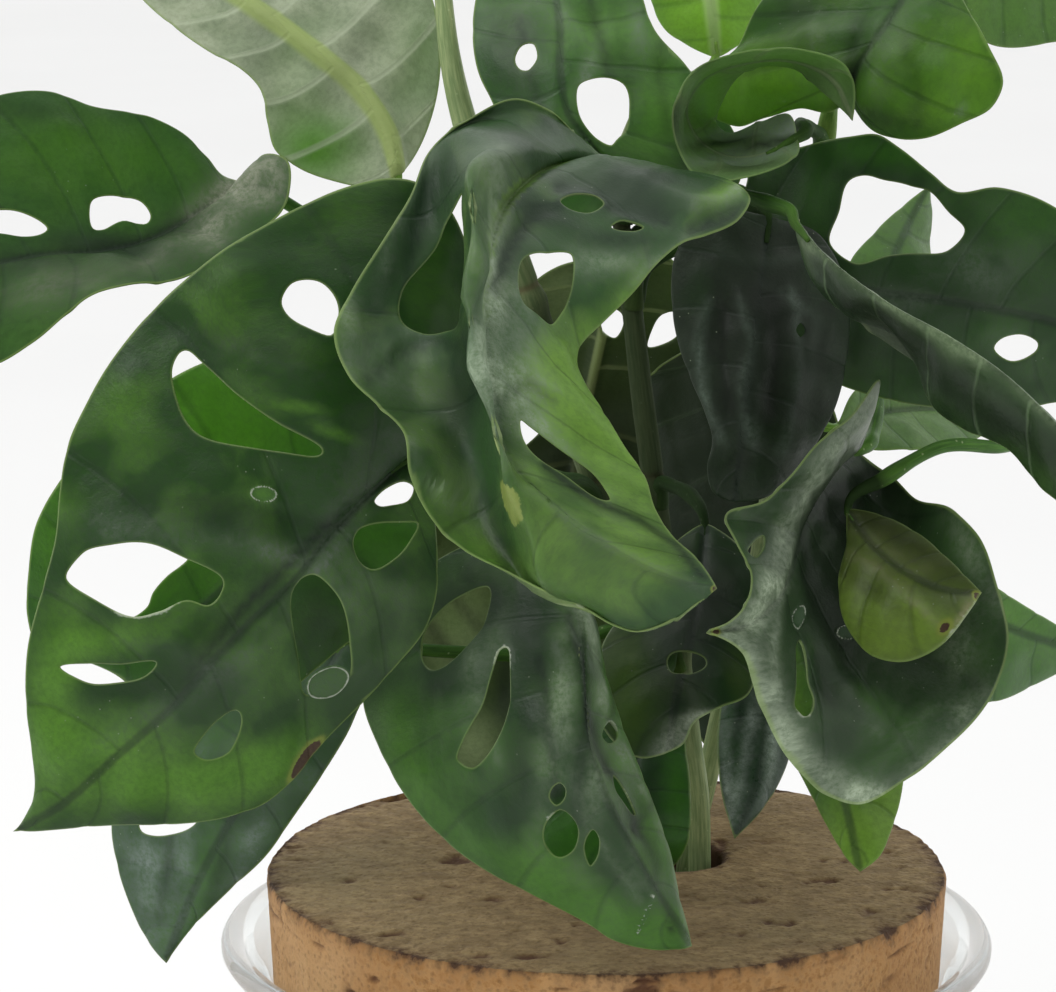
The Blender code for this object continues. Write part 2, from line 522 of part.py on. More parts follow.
LEAVES = {
    "leaf_01": dict(
        tone="dark",
        h=8.5,
        lines={
            0: [(422, 452, 58), (405, 461, 62), (385, 478, 66), (356, 507, 71), (316, 553, 76), (296, 579, 78), (258, 616, 81), (218, 656, 82), (172, 708, 82), (123, 751, 80), (57, 808, 76), (13, 831, 72)],
            -1: [(422, 452, 58), (448, 430, 57), (472, 380, 56), (478, 310, 56), (468, 250, 57), (445, 205, 58), (413, 182, 58), (392, 179, 59), (352, 186, 60, 0.2), (306, 204, 62), (268, 224, 64), (224, 250, 66), (191, 276, 68), (163, 301, 69), (128, 340, 70), (103, 375, 71, 0.46), (86, 406, 72), (69, 443, 73), (60, 490, 74), (55, 540, 75), (42, 592, 75), (28, 650, 75, 0.74), (26, 700, 75), (32, 750, 74), (34, 795, 73), (20, 825, 72), (13, 831, 72)],
            1: [(422, 452, 58), (436, 470, 60), (434, 500, 63), (437, 530, 66), (438, 559, 68, 0.14), (436, 593, 69), (425, 628, 70), (396, 665, 71), (362, 702, 72), (325, 740, 73, 0.42), (290, 782, 74), (262, 804, 75), (230, 815, 76, 0.62), (172, 823, 76), (115, 825, 75), (57, 829, 74), (13, 831, 72)],
        },
        arch=(0.05, 0.05),
        holes=[
            ([(281, 301), (290, 284), (306, 279), (323, 283), (336, 298), (339, 316), (331, 336), (305, 327), (288, 316)], LEFT),
            ([(172, 380), (176, 357), (188, 350), (207, 366), (240, 396), (280, 424), (321, 447), (312, 457), (262, 450), (212, 441), (186, 422)], LEFT),
            ([(66, 578), (82, 553), (112, 544), (150, 543), (186, 558), (221, 576), (221, 594), (208, 606), (186, 601), (160, 612), (130, 617), (95, 600)], LEFT),
            ([(60, 666), (88, 663), (120, 664), (156, 662), (138, 680), (98, 685), (73, 677)], LEFT),
            ([(374, 500), (386, 488), (402, 481), (414, 487), (410, 500), (392, 506), (379, 507)], (0.03, 0.9)),
            ([(194, 750), (212, 725), (234, 710), (242, 718), (238, 738), (227, 754), (206, 760)], RIGHT),
            ([(290, 605), (298, 582), (314, 574), (332, 588), (344, 608), (350, 642), (349, 676), (326, 690), (304, 694), (298, 660)], RIGHT),
            ([(353, 541), (362, 527), (388, 522), (419, 522), (411, 541), (394, 560), (373, 570), (358, 560)], RIGHT),
        ],
        stalk=[(600, 497, -9), (560, 478, 6), (500, 464, 32), (450, 456, 50)],
    ),
    "leaf_02": dict(
        tone="fresh",
        h=6.5,
        lines={
            0: [(611, 164, 45), (584, 160, 54), (560, 164, 62), (540, 172, 70), (522, 186, 77), (504, 206, 84), (492, 231, 90), (486, 256, 94), (484, 284, 97), (483, 318, 99), (487, 363, 102), (494, 405, 104), (503, 450, 105), (518, 473, 106), (541, 495, 106), (595, 537, 105), (662, 573, 101), (717, 589, 96)],
            -0.3: [(611, 164, 45), (580, 150, 55), (545, 144, 65), (508, 146, 77), (480, 156, 86), (469, 178, 92), (470, 206, 96), (473, 256, 99), (468, 310, 101), (473, 363, 104), (488, 402, 106), (500, 452, 107), (508, 490, 107), (528, 535, 107), (541, 578, 106), (590, 592, 104), (650, 598, 100), (717, 589, 96)],
            -0.42: [(611, 164, 45), (578, 143, 52), (540, 133, 59), (506, 134, 66), (480, 147, 73), (469, 176, 78), (471, 212, 82), (475, 262, 86), (470, 315, 89), (475, 365, 92), (489, 406, 94), (501, 455, 96), (509, 500, 98), (526, 543, 100), (539, 584, 102), (588, 602, 102), (652, 612, 99), (717, 589, 96)],
            -1: [(611, 164, 45), (590, 150, 48), (553, 113, 52), (517, 99, 56, 0.13), (470, 119, 62), (429, 153, 66), (411, 196, 69), (385, 239, 73), (351, 294, 76), (335, 330, 78, 0.5), (350, 376, 81), (382, 407, 84), (404, 432, 86), (410, 473, 88, 0.66), (428, 512, 91), (463, 549, 94), (511, 574, 98), (542, 589, 101, 0.8), (581, 604, 101), (611, 624, 100), (636, 632, 99), (662, 625, 98), (690, 607, 97), (717, 589, 96)],
            1: [(611, 164, 45), (650, 166, 48), (695, 176, 54), (728, 181, 59), (749, 196, 63, 0.15), (738, 220, 68), (704, 236, 73), (683, 242, 76), (660, 260, 79), (632, 293, 83, 0.31), (601, 324, 87), (582, 344, 89), (577, 360, 91, 0.43), (584, 382, 94), (603, 412, 97), (624, 446, 100), (645, 477, 101, 0.66), (655, 509, 102), (672, 536, 101), (696, 558, 99), (717, 589, 96)],
        },
        arch=(0.04, 0.04),
        holes=[
            ([(519, 266), (530, 254), (550, 252), (569, 253), (574, 264), (572, 290), (564, 311), (552, 325), (536, 314), (521, 300)], (0.06, 0.95)),
            ([(520, 420), (530, 426), (556, 446), (586, 467), (604, 486), (611, 500), (598, 499), (568, 478), (540, 460), (523, 440)], (0.04, 0.95)),
            ([(560, 201), (574, 194), (594, 195), (604, 204), (590, 213), (570, 210)], (0.04, 0.97)),
            ([(611, 226), (621, 220), (636, 222), (644, 227), (633, 231), (617, 230)], (0.04, 0.97)),
            ([(463, 194), (464, 215), (466, 250), (464, 290), (461, 322), (444, 333), (422, 334), (402, 322), (400, 298), (411, 277), (434, 250), (446, 224)], (-0.97, -0.44)),
        ],
        stalk=[(630, 292, 5), (646, 258, 10), (650, 215, 22), (634, 178, 36)],
    ),
    "leaf_03": dict(
        tone="dark",
        h=8.5,
        lines={
            0: [(555, 560, 60), (570, 585, 66), (580, 620, 71), (585, 663, 75), (591, 742, 79), (606, 795, 80), (632, 845, 79), (664, 900, 76), (692, 946, 72)],
            -1: [(555, 560, 60), (520, 545, 56), (470, 545, 52), (415, 580, 49), (375, 640, 49, 0.2), (363, 702, 53), (379, 747, 57), (413, 804, 62, 0.46), (452, 846, 65), (497, 877, 68), (540, 898, 70, 0.7), (582, 920, 71), (612, 940, 72), (645, 949, 72), (680, 949, 72), (692, 946, 72)],
            1: [(555, 560, 60), (575, 580, 62), (594, 618, 63), (606, 671, 64), (624, 733, 66), (647, 790, 68), (667, 846, 69), (678, 897, 71), (692, 946, 72)],
        },
        arch=(0.04, 0.0),
        holes=[
            ([(421, 655), (424, 634), (440, 612), (462, 596), (488, 587), (492, 600), (484, 625), (466, 648), (446, 666), (430, 670)], LEFT),
            ([(458, 760), (461, 745), (472, 722), (484, 700), (492, 672), (500, 650), (510, 652), (511, 690), (506, 722), (492, 750), (474, 768)], LEFT),
            ([(543, 833), (549, 818), (561, 809), (573, 817), (579, 833), (574, 850), (560, 858), (547, 850)], LEFT),
            ([(550, 797), (553, 787), (561, 782), (567, 789), (565, 799), (557, 805)], LEFT),
            ([(584, 850), (587, 836), (594, 829), (600, 840), (598, 856), (590, 866)], LEFT),
            ([(602, 737), (604, 727), (611, 721), (616, 729), (616, 740), (609, 744)], (0.06, 0.94)),
            ([(612, 776), (617, 781), (626, 796), (634, 814), (630, 814), (620, 801), (613, 789)], (0.05, 0.94)),
        ],
        stalk=[(625, 592, -12), (602, 580, 18), (576, 566, 44)],
    ),
    "leaf_04": dict(
        tone="dark",
        h=8.5,
        lines={
            0: [(858, 452, 30), (838, 468, 36), (817, 498, 43), (800, 540, 51), (786, 580, 59), (760, 616, 67), (735, 629, 71), (707, 632, 74)],
            -1: [(858, 452, 30), (870, 425, 36), (878, 380, 44), (848, 418, 50, 0.22), (815, 445, 54), (790, 475, 57), (766, 499, 59), (726, 515, 61, 0.5), (738, 545, 65), (752, 572, 68), (747, 604, 71), (730, 622, 73), (707, 632, 74)],
            0.5: [(858, 452, 30), (872, 478, 30), (886, 520, 32), (892, 565, 36), (888, 612, 42), (872, 655, 50), (840, 690, 59), (800, 688, 67), (768, 662, 72), (738, 640, 74), (707, 632, 74)],
            1: [(858, 452, 30), (872, 464, 30), (892, 477, 32), (916, 499, 36), (949, 508, 42), (977, 534, 46), (997, 590, 50), (1008, 635, 54), (985, 705, 60), (945, 748, 64), (905, 780, 68), (856, 804, 72), (826, 794, 74), (790, 760, 76), (765, 715, 77), (753, 684, 77), (742, 652, 76), (707, 632, 74)],
        },
        holes=[
            ([(748, 551), (753, 542), (763, 536), (764, 547), (757, 557)], (-0.97, -0.03)),
            ([(796, 655), (800, 640), (806, 650), (808, 680), (814, 700), (808, 716), (799, 714), (794, 700)], (0.04, 0.98)),
        ],
        stalk=[(800, 300, -8), (842, 325, -5), (874, 385, 5), (872, 436, 20)],
    ),
    "leaf_05": dict(
        tone="olive",
        h=8.5,
        lines={
            0: [(846, 508, 46), (872, 545, 52), (905, 572, 58), (940, 588, 62), (981, 592, 64)],
            1: [(846, 508, 46), (880, 515, 47), (912, 530, 50), (950, 560, 56), (981, 592, 64)],
            -1: [(846, 508, 46), (846, 545, 50), (838, 585, 55), (846, 625, 60), (870, 654, 63), (905, 661, 65), (938, 647, 66), (963, 620, 65), (981, 592, 64)],
        },
        arch=(0.1, 0.04),
        holes=[],
        stalk=[(806, 335, -9), (900, 345, -14), (1000, 392, -8), (1040, 428, 8), (1004, 446, 24), (934, 449, 37), (884, 478, 43)],
    ),
    "leaf_06": dict(
        tone="mid",
        h=9.5,
        lines={
            0: [(790, 600, 12), (800, 640, 17), (820, 705, 25), (840, 780, 35), (853, 838, 42), (860, 871, 45)],
            -1: [(790, 600, 12), (772, 622, 12), (764, 680, 16), (780, 735, 24), (805, 782, 31), (830, 830, 38), (847, 858, 43), (860, 871, 45)],
            1: [(790, 600, 12), (830, 610, 13), (880, 670, 19), (903, 730, 27), (902, 785, 34), (890, 832, 40), (877, 858, 44), (860, 871, 45)],
        },
        holes=[],
        stalk=[(752, 600, -14), (764, 586, -6), (780, 586, 5)],
    ),
    "leaf_07": dict(
        tone="pale",
        h=9.5,
        lines={
            0: [(900, 560, -5), (950, 595, -16), (1010, 628, -28), (1060, 645, -38), (1095, 652, -46)],
            1: [(900, 560, -5), (945, 553, -12), (1000, 590, -24), (1056, 626, -38), (1095, 652, -46)],
            -1: [(900, 560, -5), (890, 630, -8), (925, 688, -14), (985, 702, -24), (1045, 678, -38), (1095, 652, -46)],
        },
        holes=[],
        slots=[(0.78, -0.44, 0.034, 0.22)],
        stalk=[(764, 530, -13), (815, 528, -14), (865, 545, -10)],
    ),
    "leaf_08": dict(
        tone="dusty",
        h=8.5,
        lines={
            0: [(795, 215, 48), (821, 250, 56), (855, 279, 62), (891, 304, 67), (949, 336, 72), (1001, 371, 75), (1056, 423, 77), (1112, 488, 76)],
            -1: [(795, 215, 48), (802, 255, 45), (822, 293, 46), (847, 315, 49), (895, 335, 55), (915, 362, 58), (931, 404, 61), (965, 428, 65), (1007, 446, 68), (1048, 492, 72), (1085, 512, 74), (1112, 488, 76)],
            1: [(795, 215, 48), (812, 262, 40), (855, 318, 36), (915, 360, 38), (985, 395, 42), (1045, 440, 48), (1092, 474, 60), (1112, 488, 76)],
        },
        arch=(0.08, 0.02),
        holes=[],
        stalk=[(621, 205, 3), (668, 192, 16), (725, 192, 34), (770, 204, 44)],
    ),
    "leaf_09": dict(
        tone="dark",
        h=9.5,
        lines={
            0: [(745, 192, 6), (790, 250, 10), (860, 288, 14), (940, 300, 17), (1010, 312, 17), (1070, 326, 15), (1135, 345, 10)],
            1: [(745, 192, 6), (752, 168, 6), (800, 148, 8), (850, 137, 10), (878, 135, 11), (899, 148, 12), (930, 173, 14), (955, 192, 15), (997, 188, 16), (1033, 197, 16), (1072, 220, 16), (1112, 272, 14), (1135, 345, 10)],
            -1: [(745, 192, 6), (735, 250, 5), (758, 320, 6), (820, 375, 9), (885, 398, 12), (950, 408, 14), (1020, 408, 14), (1085, 392, 12), (1135, 345, 10)],
        },
        arch=(0.04, 0.04),
        holes=[
            ([(829, 243), (838, 212), (849, 180), (883, 179), (910, 185), (938, 198), (965, 228), (950, 250), (922, 254), (890, 256), (855, 264)], RIGHT),
            ([(994, 350), (1002, 338), (1022, 334), (1038, 342), (1034, 354), (1012, 362)], LEFT),
        ],
        stalk=[(625, 245, 4), (672, 222, 0), (722, 200, 1)],
    ),
    "leaf_10": dict(
        tone="pale",
        h=9.5,
        lines={
            0: [(838, 428, -13), (868, 416, -20), (905, 410, -28), (950, 410, -37), (1000, 420, -46)],
            1: [(838, 428, -13), (850, 398, -18), (885, 376, -29), (930, 366, -39), (975, 384, -45), (1000, 420, -46)],
            -1: [(838, 428, -13), (862, 446, -13), (905, 449, -17), (955, 447, -28), (1000, 420, -46)],
        },
        holes=[],
        stalk=[(786, 400, -10), (808, 412, -13), (824, 426, -14)],
    ),
    "leaf_11": dict(
        tone="fresh",
        h=8.5,
        lines={
            0: [(850, 98, 30), (857, 67, 34), (880, 33, 36), (904, -3, 34), (920, -42, 27), (928, -78, 16)],
            -1: [(850, 98, 30), (873, 131, 34), (924, 138, 40), (961, 123, 43), (992, 106, 44), (1002, 86, 44, 0.36), (987, 44, 42), (963, 0, 37, 0.66), (944, -40, 28), (928, -78, 16)],
            1: [(850, 98, 30), (833, 111, 29), (800, 108, 25), (768, 117, 20), (734, 126, 15), (707, 112, 13), (704, 78, 14, 0.34), (738, 46, 17), (756, 8, 20), (790, -30, 19), (850, -66, 17, 0.78), (928, -78, 16)],
        },
        arch=(0.06, 0.06),
        holes=[],
        stalk=[(828, 117, -8), (836, 102, 4), (843, 95, 18)],
    ),
    "leaf_12": dict(
        tone="dusty",
        h=7.5,
        lines={
            0: [(797, 139, 37), (760, 158, 37), (722, 158, 36), (694, 138, 35), (684, 108, 34), (700, 80, 33), (745, 62, 34), (795, 60, 38), (834, 80, 42), (853, 120, 44)],
            -1: [(797, 139, 37), (795, 160, 45), (745, 178, 49), (700, 180, 50), (678, 148, 50), (674, 108, 49), (692, 74, 47), (745, 52, 46), (800, 50, 46), (846, 68, 46), (853, 120, 44)],
            1: [(797, 139, 37), (792, 118, 35), (758, 123, 29), (724, 132, 24), (714, 120, 22), (722, 102, 22), (734, 82, 25), (752, 68, 29), (796, 68, 34), (824, 92, 39), (853, 120, 44)],
        },
        arch=(0.0, 0.0),
        holes=[],
        stalk=[(824, 147, -9), (812, 130, -2), (803, 125, 10), (800, 126, 24)],
    ),
    "leaf_13": dict(
        tone="pale",
        h=9.5,
        lines={
            0: [(930, -42, -34), (980, -30, -38), (1040, -20, -43), (1095, -8, -48), (1135, 6, -50)],
            1: [(930, -42, -34), (950, -88, -38), (1010, -108, -44), (1080, -80, -48), (1135, 6, -50)],
            -1: [(930, -42, -34), (950, 12, -32), (989, 43, -35), (1056, 41, -42), (1105, 28, -48), (1135, 6, -50)],
        },
        holes=[],
        slots=[(0.35, 0.50, 0.050, 0.26), (0.54, 0.48, 0.045, 0.24), (0.68, -0.46, 0.040, 0.22)],
        stalk=[(829, 118, -9), (840, 60, -20), (880, 0, -30), (912, -34, -33)],
    ),
    "leaf_14": dict(
        tone="new",
        h=8.5,
        lines={
            0: [(716, 58, -4), (713, 22, -2), (708, -22, -4), (702, -64, -10), (698, -100, -18)],
            1: [(716, 58, -4), (694, 48, -6), (665, 28, -9), (650, -8, -12), (655, -55, -15), (698, -100, -18)],
            -1: [(716, 58, -4), (738, 46, -6), (758, 20, -9), (762, -15, -12), (742, -62, -15), (698, -100, -18)],
        },
        holes=[],
        stalk=[(636, 112, -5), (662, 92, -8), (694, 78, -7)],
    ),
    "leaf_15": dict(
        tone="fresh",
        h=8.5,
        lines={
            0: [(603, 158, 15), (590, 142, 16), (568, 112, 16), (560, 70, 14), (560, 30, 9), (552, -20, 1), (535, -70, -10)],
            1: [(603, 158, 15), (610, 196, 17), (584, 224, 18), (550, 216, 17), (520, 172, 15), (500, 118, 12), (478, 66, 8, 0.42), (474, 20, 4), (486, -30, -2), (535, -70, -10)],
            -1: [(603, 158, 15), (640, 170, 14), (690, 182, 13), (738, 184, 11), (740, 150, 9), (716, 105, 9), (688, 68, 9, 0.45), (655, 32, 7), (638, -10, 3), (600, -50, -4), (535, -70, -10)],
        },
        arch=(0.06, 0.06),
        holes=[
            ([(576, 96), (582, 82), (604, 77), (625, 85), (630, 112), (622, 136), (611, 146), (595, 138), (582, 122)], LEFT),
            ([(515, 60), (522, 46), (534, 44), (538, 58), (530, 70), (520, 70)], RIGHT),
        ],
        stalk=[(625, 168, -1), (617, 166, 4), (609, 163, 10)],
    ),
    "leaf_16": dict(
        tone="under",
        h=9.5,
        lines={
            0: [(395, 178, -8), (383, 128, -11), (357, 89, -13), (306, 46, -15), (242, 0, -19), (180, -45, -25), (130, -82, -32)],
            1: [(395, 178, -8), (408, 165, -11), (433, 110, -15), (440, 50, -18), (432, 0, -20), (400, -52, -25), (330, -92, -31), (220, -108, -35), (130, -82, -32)],
            -1: [(395, 178, -8), (372, 190, -6), (344, 184, -5), (300, 168, -5), (276, 150, -6), (268, 122, -8), (260, 88, -10), (240, 68, -11), (217, 56, -12), (179, 31, -15), (143, 0, -19), (118, -40, -26), (130, -82, -32)],
        },
        arch=(0.05, 0.05),
        holes=[],
        stalk=[(532, 302, -7), (500, 282, -14), (440, 232, -17), (405, 196, -12)],
    ),
    "leaf_17": dict(
        tone="mid",
        h=9.5,
        lines={
            0: [(244, 182, -5), (200, 212, 1), (150, 240, 6), (99, 252, 10), (48, 254, 14), (0, 262, 17), (-60, 276, 18), (-130, 302, 16)],
            -1: [(244, 182, -5), (222, 176, -6), (207, 158, -8), (184, 135, -11), (153, 119, -13), (89, 106, -15), (56, 93, -16), (0, 96, -15), (-50, 120, -10), (-95, 180, -2), (-122, 250, 8), (-130, 302, 16)],
            1: [(244, 182, -5), (262, 156, -5), (286, 160, -1), (284, 208, 6), (245, 240, 13), (179, 278, 20), (128, 284, 26), (99, 292, 28), (33, 342, 32), (0, 362, 33), (-50, 372, 30), (-100, 346, 24), (-130, 302, 16)],
        },
        arch=(0.05, 0.03),
        holes=[
            ([(89, 212), (94, 198), (118, 195), (140, 200), (151, 214), (146, 224), (124, 221), (104, 230), (92, 228)], LEFT),
            ([(-30, 214), (-6, 208), (26, 213), (48, 228), (30, 236), (-8, 232), (-30, 226)], LEFT),
        ],
        stalk=[(551, 352, -8), (470, 322, -17), (380, 268, -18), (310, 218, -16), (268, 192, -12)],
    ),
    "leaf_18": dict(
        tone="mid",
        h=9.5,
        lines={
            0: [(345, 640, 10), (310, 695, 13), (270, 758, 15), (225, 830, 14), (190, 900, 10), (166, 963, 4)],
            1: [(345, 640, 10), (366, 672, 12), (352, 722, 14), (328, 765, 16), (293, 817, 16), (267, 854, 15), (230, 889, 12), (186, 934, 7), (166, 963, 4)],
            -1: [(345, 640, 10), (300, 622, 2), (240, 650, -2), (170, 710, -2), (125, 780, 0), (112, 826, 1), (115, 856, 2), (134, 912, 4), (152, 946, 4), (166, 963, 4)],
        },
        holes=[],
        slots=[(0.62, -0.46, 0.040, 0.24)],
        stalk=[(641, 640, -12), (560, 652, -12), (455, 652, -5), (380, 645, 5)],
    ),
    "leaf_19": dict(
        tone="fresh",
        h=9.5,
        lines={
            0: [(338, 442, 26), (304, 496, 30), (244, 568, 35), (168, 630, 39), (95, 650, 41), (32, 636, 42)],
            -1: [(338, 442, 26), (338, 395, 24), (310, 362, 25), (260, 352, 28), (205, 363, 31), (172, 379, 33), (120, 420, 36), (60, 482, 40), (37, 524, 41), (29, 573, 42), (27, 610, 42), (32, 636, 42)],
            1: [(338, 442, 26), (352, 470, 24), (368, 502, 23), (405, 514, 22), (431, 542, 22), (414, 592, 23), (345, 645, 26), (285, 692, 30), (210, 712, 35), (150, 702, 38), (112, 672, 40), (75, 656, 41), (32, 636, 42)],
        },
        arch=(0.04, 0.04),
        holes=[
            ([(61, 560), (82, 538), (118, 528), (162, 531), (190, 542), (188, 560), (168, 576), (154, 592), (147, 608), (126, 622), (96, 628), (74, 618), (62, 592)], LEFT),
        ],
        stalk=[(572, 418, -8), (490, 422, -2), (410, 430, 13), (362, 437, 22)],
    ),
    "leaf_20": dict(
        tone="mid",
        h=7.5,
        lines={
            0: [(650, 690, 12), (641, 735, 18), (634, 785, 23), (640, 830, 26), (674, 866, 24)],
            -1: [(650, 690, 12), (606, 714, 14), (562, 760, 20), (541, 808, 26), (546, 852, 31), (590, 880, 33), (640, 882, 29), (674, 866, 24)],
            1: [(650, 690, 12), (676, 712, 16), (687, 760, 20), (690, 805, 24), (687, 842, 25), (674, 866, 24)],
        },
        holes=[],
        stalk=[(678, 654, -2), (668, 664, 1), (656, 676, 7)],
    ),
    "leaf_21": dict(
        tone="dark",
        h=8.5,
        lines={
            0: [(705, 522, 22), (700, 580, 30), (690, 640, 38), (676, 700, 44), (668, 752, 46)],
            -1: [(705, 522, 22), (668, 548, 24), (632, 600, 28), (600, 652, 33), (594, 702, 38), (614, 742, 43), (642, 758, 46), (668, 752, 46)],
            1: [(705, 522, 22), (744, 552, 26), (761, 610, 32), (758, 665, 38), (747, 695, 42), (716, 709, 45), (694, 722, 46), (682, 744, 46), (668, 752, 46)],
        },
        holes=[
            ([(667, 664), (672, 654), (688, 651), (704, 658), (705, 668), (690, 675), (674, 674)], (-0.9, 0.9)),
        ],
        stalk=[(655, 492, 4), (672, 486, 8), (694, 500, 16)],
    ),
    "leaf_22": dict(
        tone="dusty",
        h=8.5,
        lines={
            0: [(770, 622, 4), (770, 690, 10), (764, 750, 16), (752, 800, 20), (735, 838, 22)],
            -1: [(770, 622, 4), (736, 650, 5), (722, 700, 10), (718, 750, 15), (724, 802, 19), (735, 838, 22)],
            1: [(770, 622, 4), (800, 660, 5), (802, 712, 8), (788, 760, 13), (765, 806, 18), (735, 838, 22)],
        },
        holes=[],
        stalk=[(738, 660, -14), (750, 640, -10), (764, 617, -1)],
    ),
    "leaf_23": dict(
        tone="dark",
        h=8.5,
        lines={
            0: [(770, 217, 22), (762, 280, 27), (752, 350, 31), (742, 430, 33), (735, 502, 30)],
            -1: [(770, 217, 22), (722, 222, 22), (692, 258, 24), (680, 306, 26), (681, 345, 27), (691, 378, 29), (705, 410, 31), (713, 442, 32), (708, 468, 33), (714, 492, 32), (735, 502, 30)],
            1: [(770, 217, 22), (815, 232, 19), (845, 290, 19), (850, 350, 20), (828, 420, 23), (795, 470, 27), (765, 497, 30), (735, 502, 30)],
        },
        arch=(0.06, 0.06),
        holes=[
            ([(796, 330), (801, 322), (807, 330), (802, 338)], RIGHT),
        ],
        stalk=[(631, 284, 5), (688, 242, 6), (728, 216, 12)],
    ),
    "leaf_24": dict(
        tone="pale",
        h=8.5,
        lines={
            0: [(880, 332, -24), (888, 292, -26), (893, 262, -29), (908, 226, -34), (929, 186, -40)],
            1: [(880, 332, -24), (852, 306, -26), (848, 270, -29), (874, 234, -33), (905, 205, -37), (929, 186, -40)],
            -1: [(880, 332, -24), (924, 312, -34), (932, 275, -40), (931, 240, -42), (932, 208, -42), (929, 186, -40)],
        },
        holes=[],
        stalk=[(794, 345, -9), (830, 352, -20), (864, 344, -24)],
    ),
    "leaf_25": dict(
        tone="under",
        h=9.5,
        lines={
            0: [(615, 258, -27), (603, 330, -44), (588, 400, -56), (574, 480, -64), (565, 570, -67), (562, 660, -64), (566, 735, -56), (574, 782, -43)],
            1: [(615, 258, -27), (570, 262, -32), (505, 310, -42), (452, 390, -52), (424, 480, -60), (412, 560, -62), (410, 640, -60), (428, 724, -53), (478, 776, -44), (574, 782, -43)],
            -1: [(615, 258, -27), (652, 250, -30), (690, 280, -34), (704, 350, -42), (700, 430, -52), (690, 520, -60), (680, 610, -62), (662, 700, -56), (628, 758, -49), (574, 782, -43)],
        },
        holes=[
            ([(600, 316), (607, 309), (620, 311), (624, 324), (616, 338), (606, 334)], (-0.95, 0.95)),
            ([(647, 346), (655, 322), (667, 311), (680, 314), (679, 334), (662, 345)], (-0.97, -0.03)),
        ],
        slots=[(0.28, 0.50, 0.040, 0.27), (0.42, 0.50, 0.040, 0.28)],
        stalk=[(558, 376, -8), (578, 332, -15), (600, 290, -22)],
    ),
    "leaf_26": dict(
        tone="under",
        h=9.5,
        lines={
            0: [(722, 335, -30), (738, 392, -45), (756, 462, -56), (766, 542, -62), (766, 622, -62), (756, 700, -56), (738, 772, -46)],
            1: [(722, 335, -30), (680, 352, -34), (646, 380, -38), (641, 412, -41), (652, 452, -45), (656, 520, -50), (664, 610, -54), (680, 690, -52), (706, 745, -48), (738, 772, -46)],
            -1: [(722, 335, -30), (778, 338, -36), (826, 392, -46), (848, 472, -54), (852, 560, -58), (842, 640, -58), (815, 710, -54), (776, 758, -49), (738, 772, -46)],
        },
        holes=[],
        slots=[(0.36, -0.52, 0.040, 0.27), (0.50, -0.52, 0.040, 0.28), (0.64, -0.50, 0.036, 0.24)],
        stalk=[(786, 388, -10), (764, 350, -17), (738, 330, -25)],
    ),
}

# Stems, from the foot in the water to the growing tip. The first points are in
# metres; the rest are on the elevation.
STEMS = {
    "stem_1": dict(
        foot=[(0.0152, 0.0050, ROOT_TOP_Z + 0.0006), (0.0160, 0.0055, 0.100), (0.0167, 0.0058, 0.1405)],
        rise=[(698, 800, -6), (690, 740, -6), (678, 650, -3), (664, 560, 1), (652, 470, 4), (640, 380, 5), (630, 290, 4), (621, 210, 1), (626, 150, -3), (636, 112, -5)],
        radii=[0.0022, 0.0021, 0.0020, 0.0019, 0.0015],
    ),
    "stem_2": dict(
        foot=[(0.0082, 0.0050, ROOT_TOP_Z + 0.0006), (0.0080, 0.0051, 0.100), (0.0080, 0.0056, 0.1405)],
        rise=[(653, 795, -8), (646, 700, -11), (628, 600, -12), (600, 500, -10), (566, 400, -8), (530, 300, -7), (495, 205, -5), (464, 120, -3), (449, 50, -3), (443, -10, -5), (438, -75, -9)],
        radii=[0.0021, 0.0021, 0.0021, 0.0022, 0.0026, 0.0012],
    ),
    "stem_3": dict(
        foot=[(0.0142, 0.0104, ROOT_TOP_Z + 0.0006), (0.0148, 0.0106, 0.100), (0.0153, 0.0110, 0.1405)],
        rise=[(703, 795, -13), (727, 690, -14), (752, 600, -14), (770, 500, -12), (785, 400, -10), (800, 300, -9), (814, 210, -9), (824, 150, -9), (828, 112, -9)],
        radii=[0.0020, 0.0020, 0.0019, 0.0018, 0.0014],
    ),
}


def make_blade(name, leaf, mats):
    blade = Blade(
        leaf["lines"], leaf.get("arch", (0.06, 0.06)), leaf.get("wave", (0.0, 3.0, 0.0))
    )
    h = leaf["h"] / 1000.0
    st, tris = blade_mesh(blade, leaf["holes"], leaf.get("slots", ()), h, 0.0052)
    verts, faces = plate(blade.at(st[:, 0], st[:, 1]), tris, BLADE)
    add(name, verts, faces, mats["leaf_" + leaf["tone"]])
    return blade


def make_petiole(name, leaf, blade, stems, mats):
    """The stalk springs from the side of the nearest stem and ends just short
    of the blade's base, coming up to its back."""
    base = blade.at([0.0], [0.0])[0]
    lead = blade.ahead(np.array([0.012]))[0]
    route = [sight(*p) for p in leaf["stalk"]]
    back = unit(route[-1] - base)
    end = base + unit(back - 0.4 * lead) * (GAP + 0.0009)
    axis, radius, along = min(
        (
            (line[i], radii[i], unit(line[i + 1] - line[i - 1]))
            for line, radii in stems
            for i in range(1, len(line) - 1)
        ),
        key=lambda found: np.linalg.norm(found[0] - route[0]),
    )
    lean = unit(route[1] - axis)
    out = unit(lean - along * (lean @ along))
    start = axis + out * (radius + 3 * GAP + PETIOLE_R * 1.15 * abs(lean @ along))
    path = [start] + route[1:] + [end]
    long = sum(np.linalg.norm(b - a) for a, b in zip(path, path[1:]))
    verts, faces = tube(
        path,
        [PETIOLE_R * 1.15, PETIOLE_R, PETIOLE_R, PETIOLE_R, 0.0006],
        6,
        max(6, int(long / 0.0075)),
    )
    add(name, verts, faces, mats["petiole"])


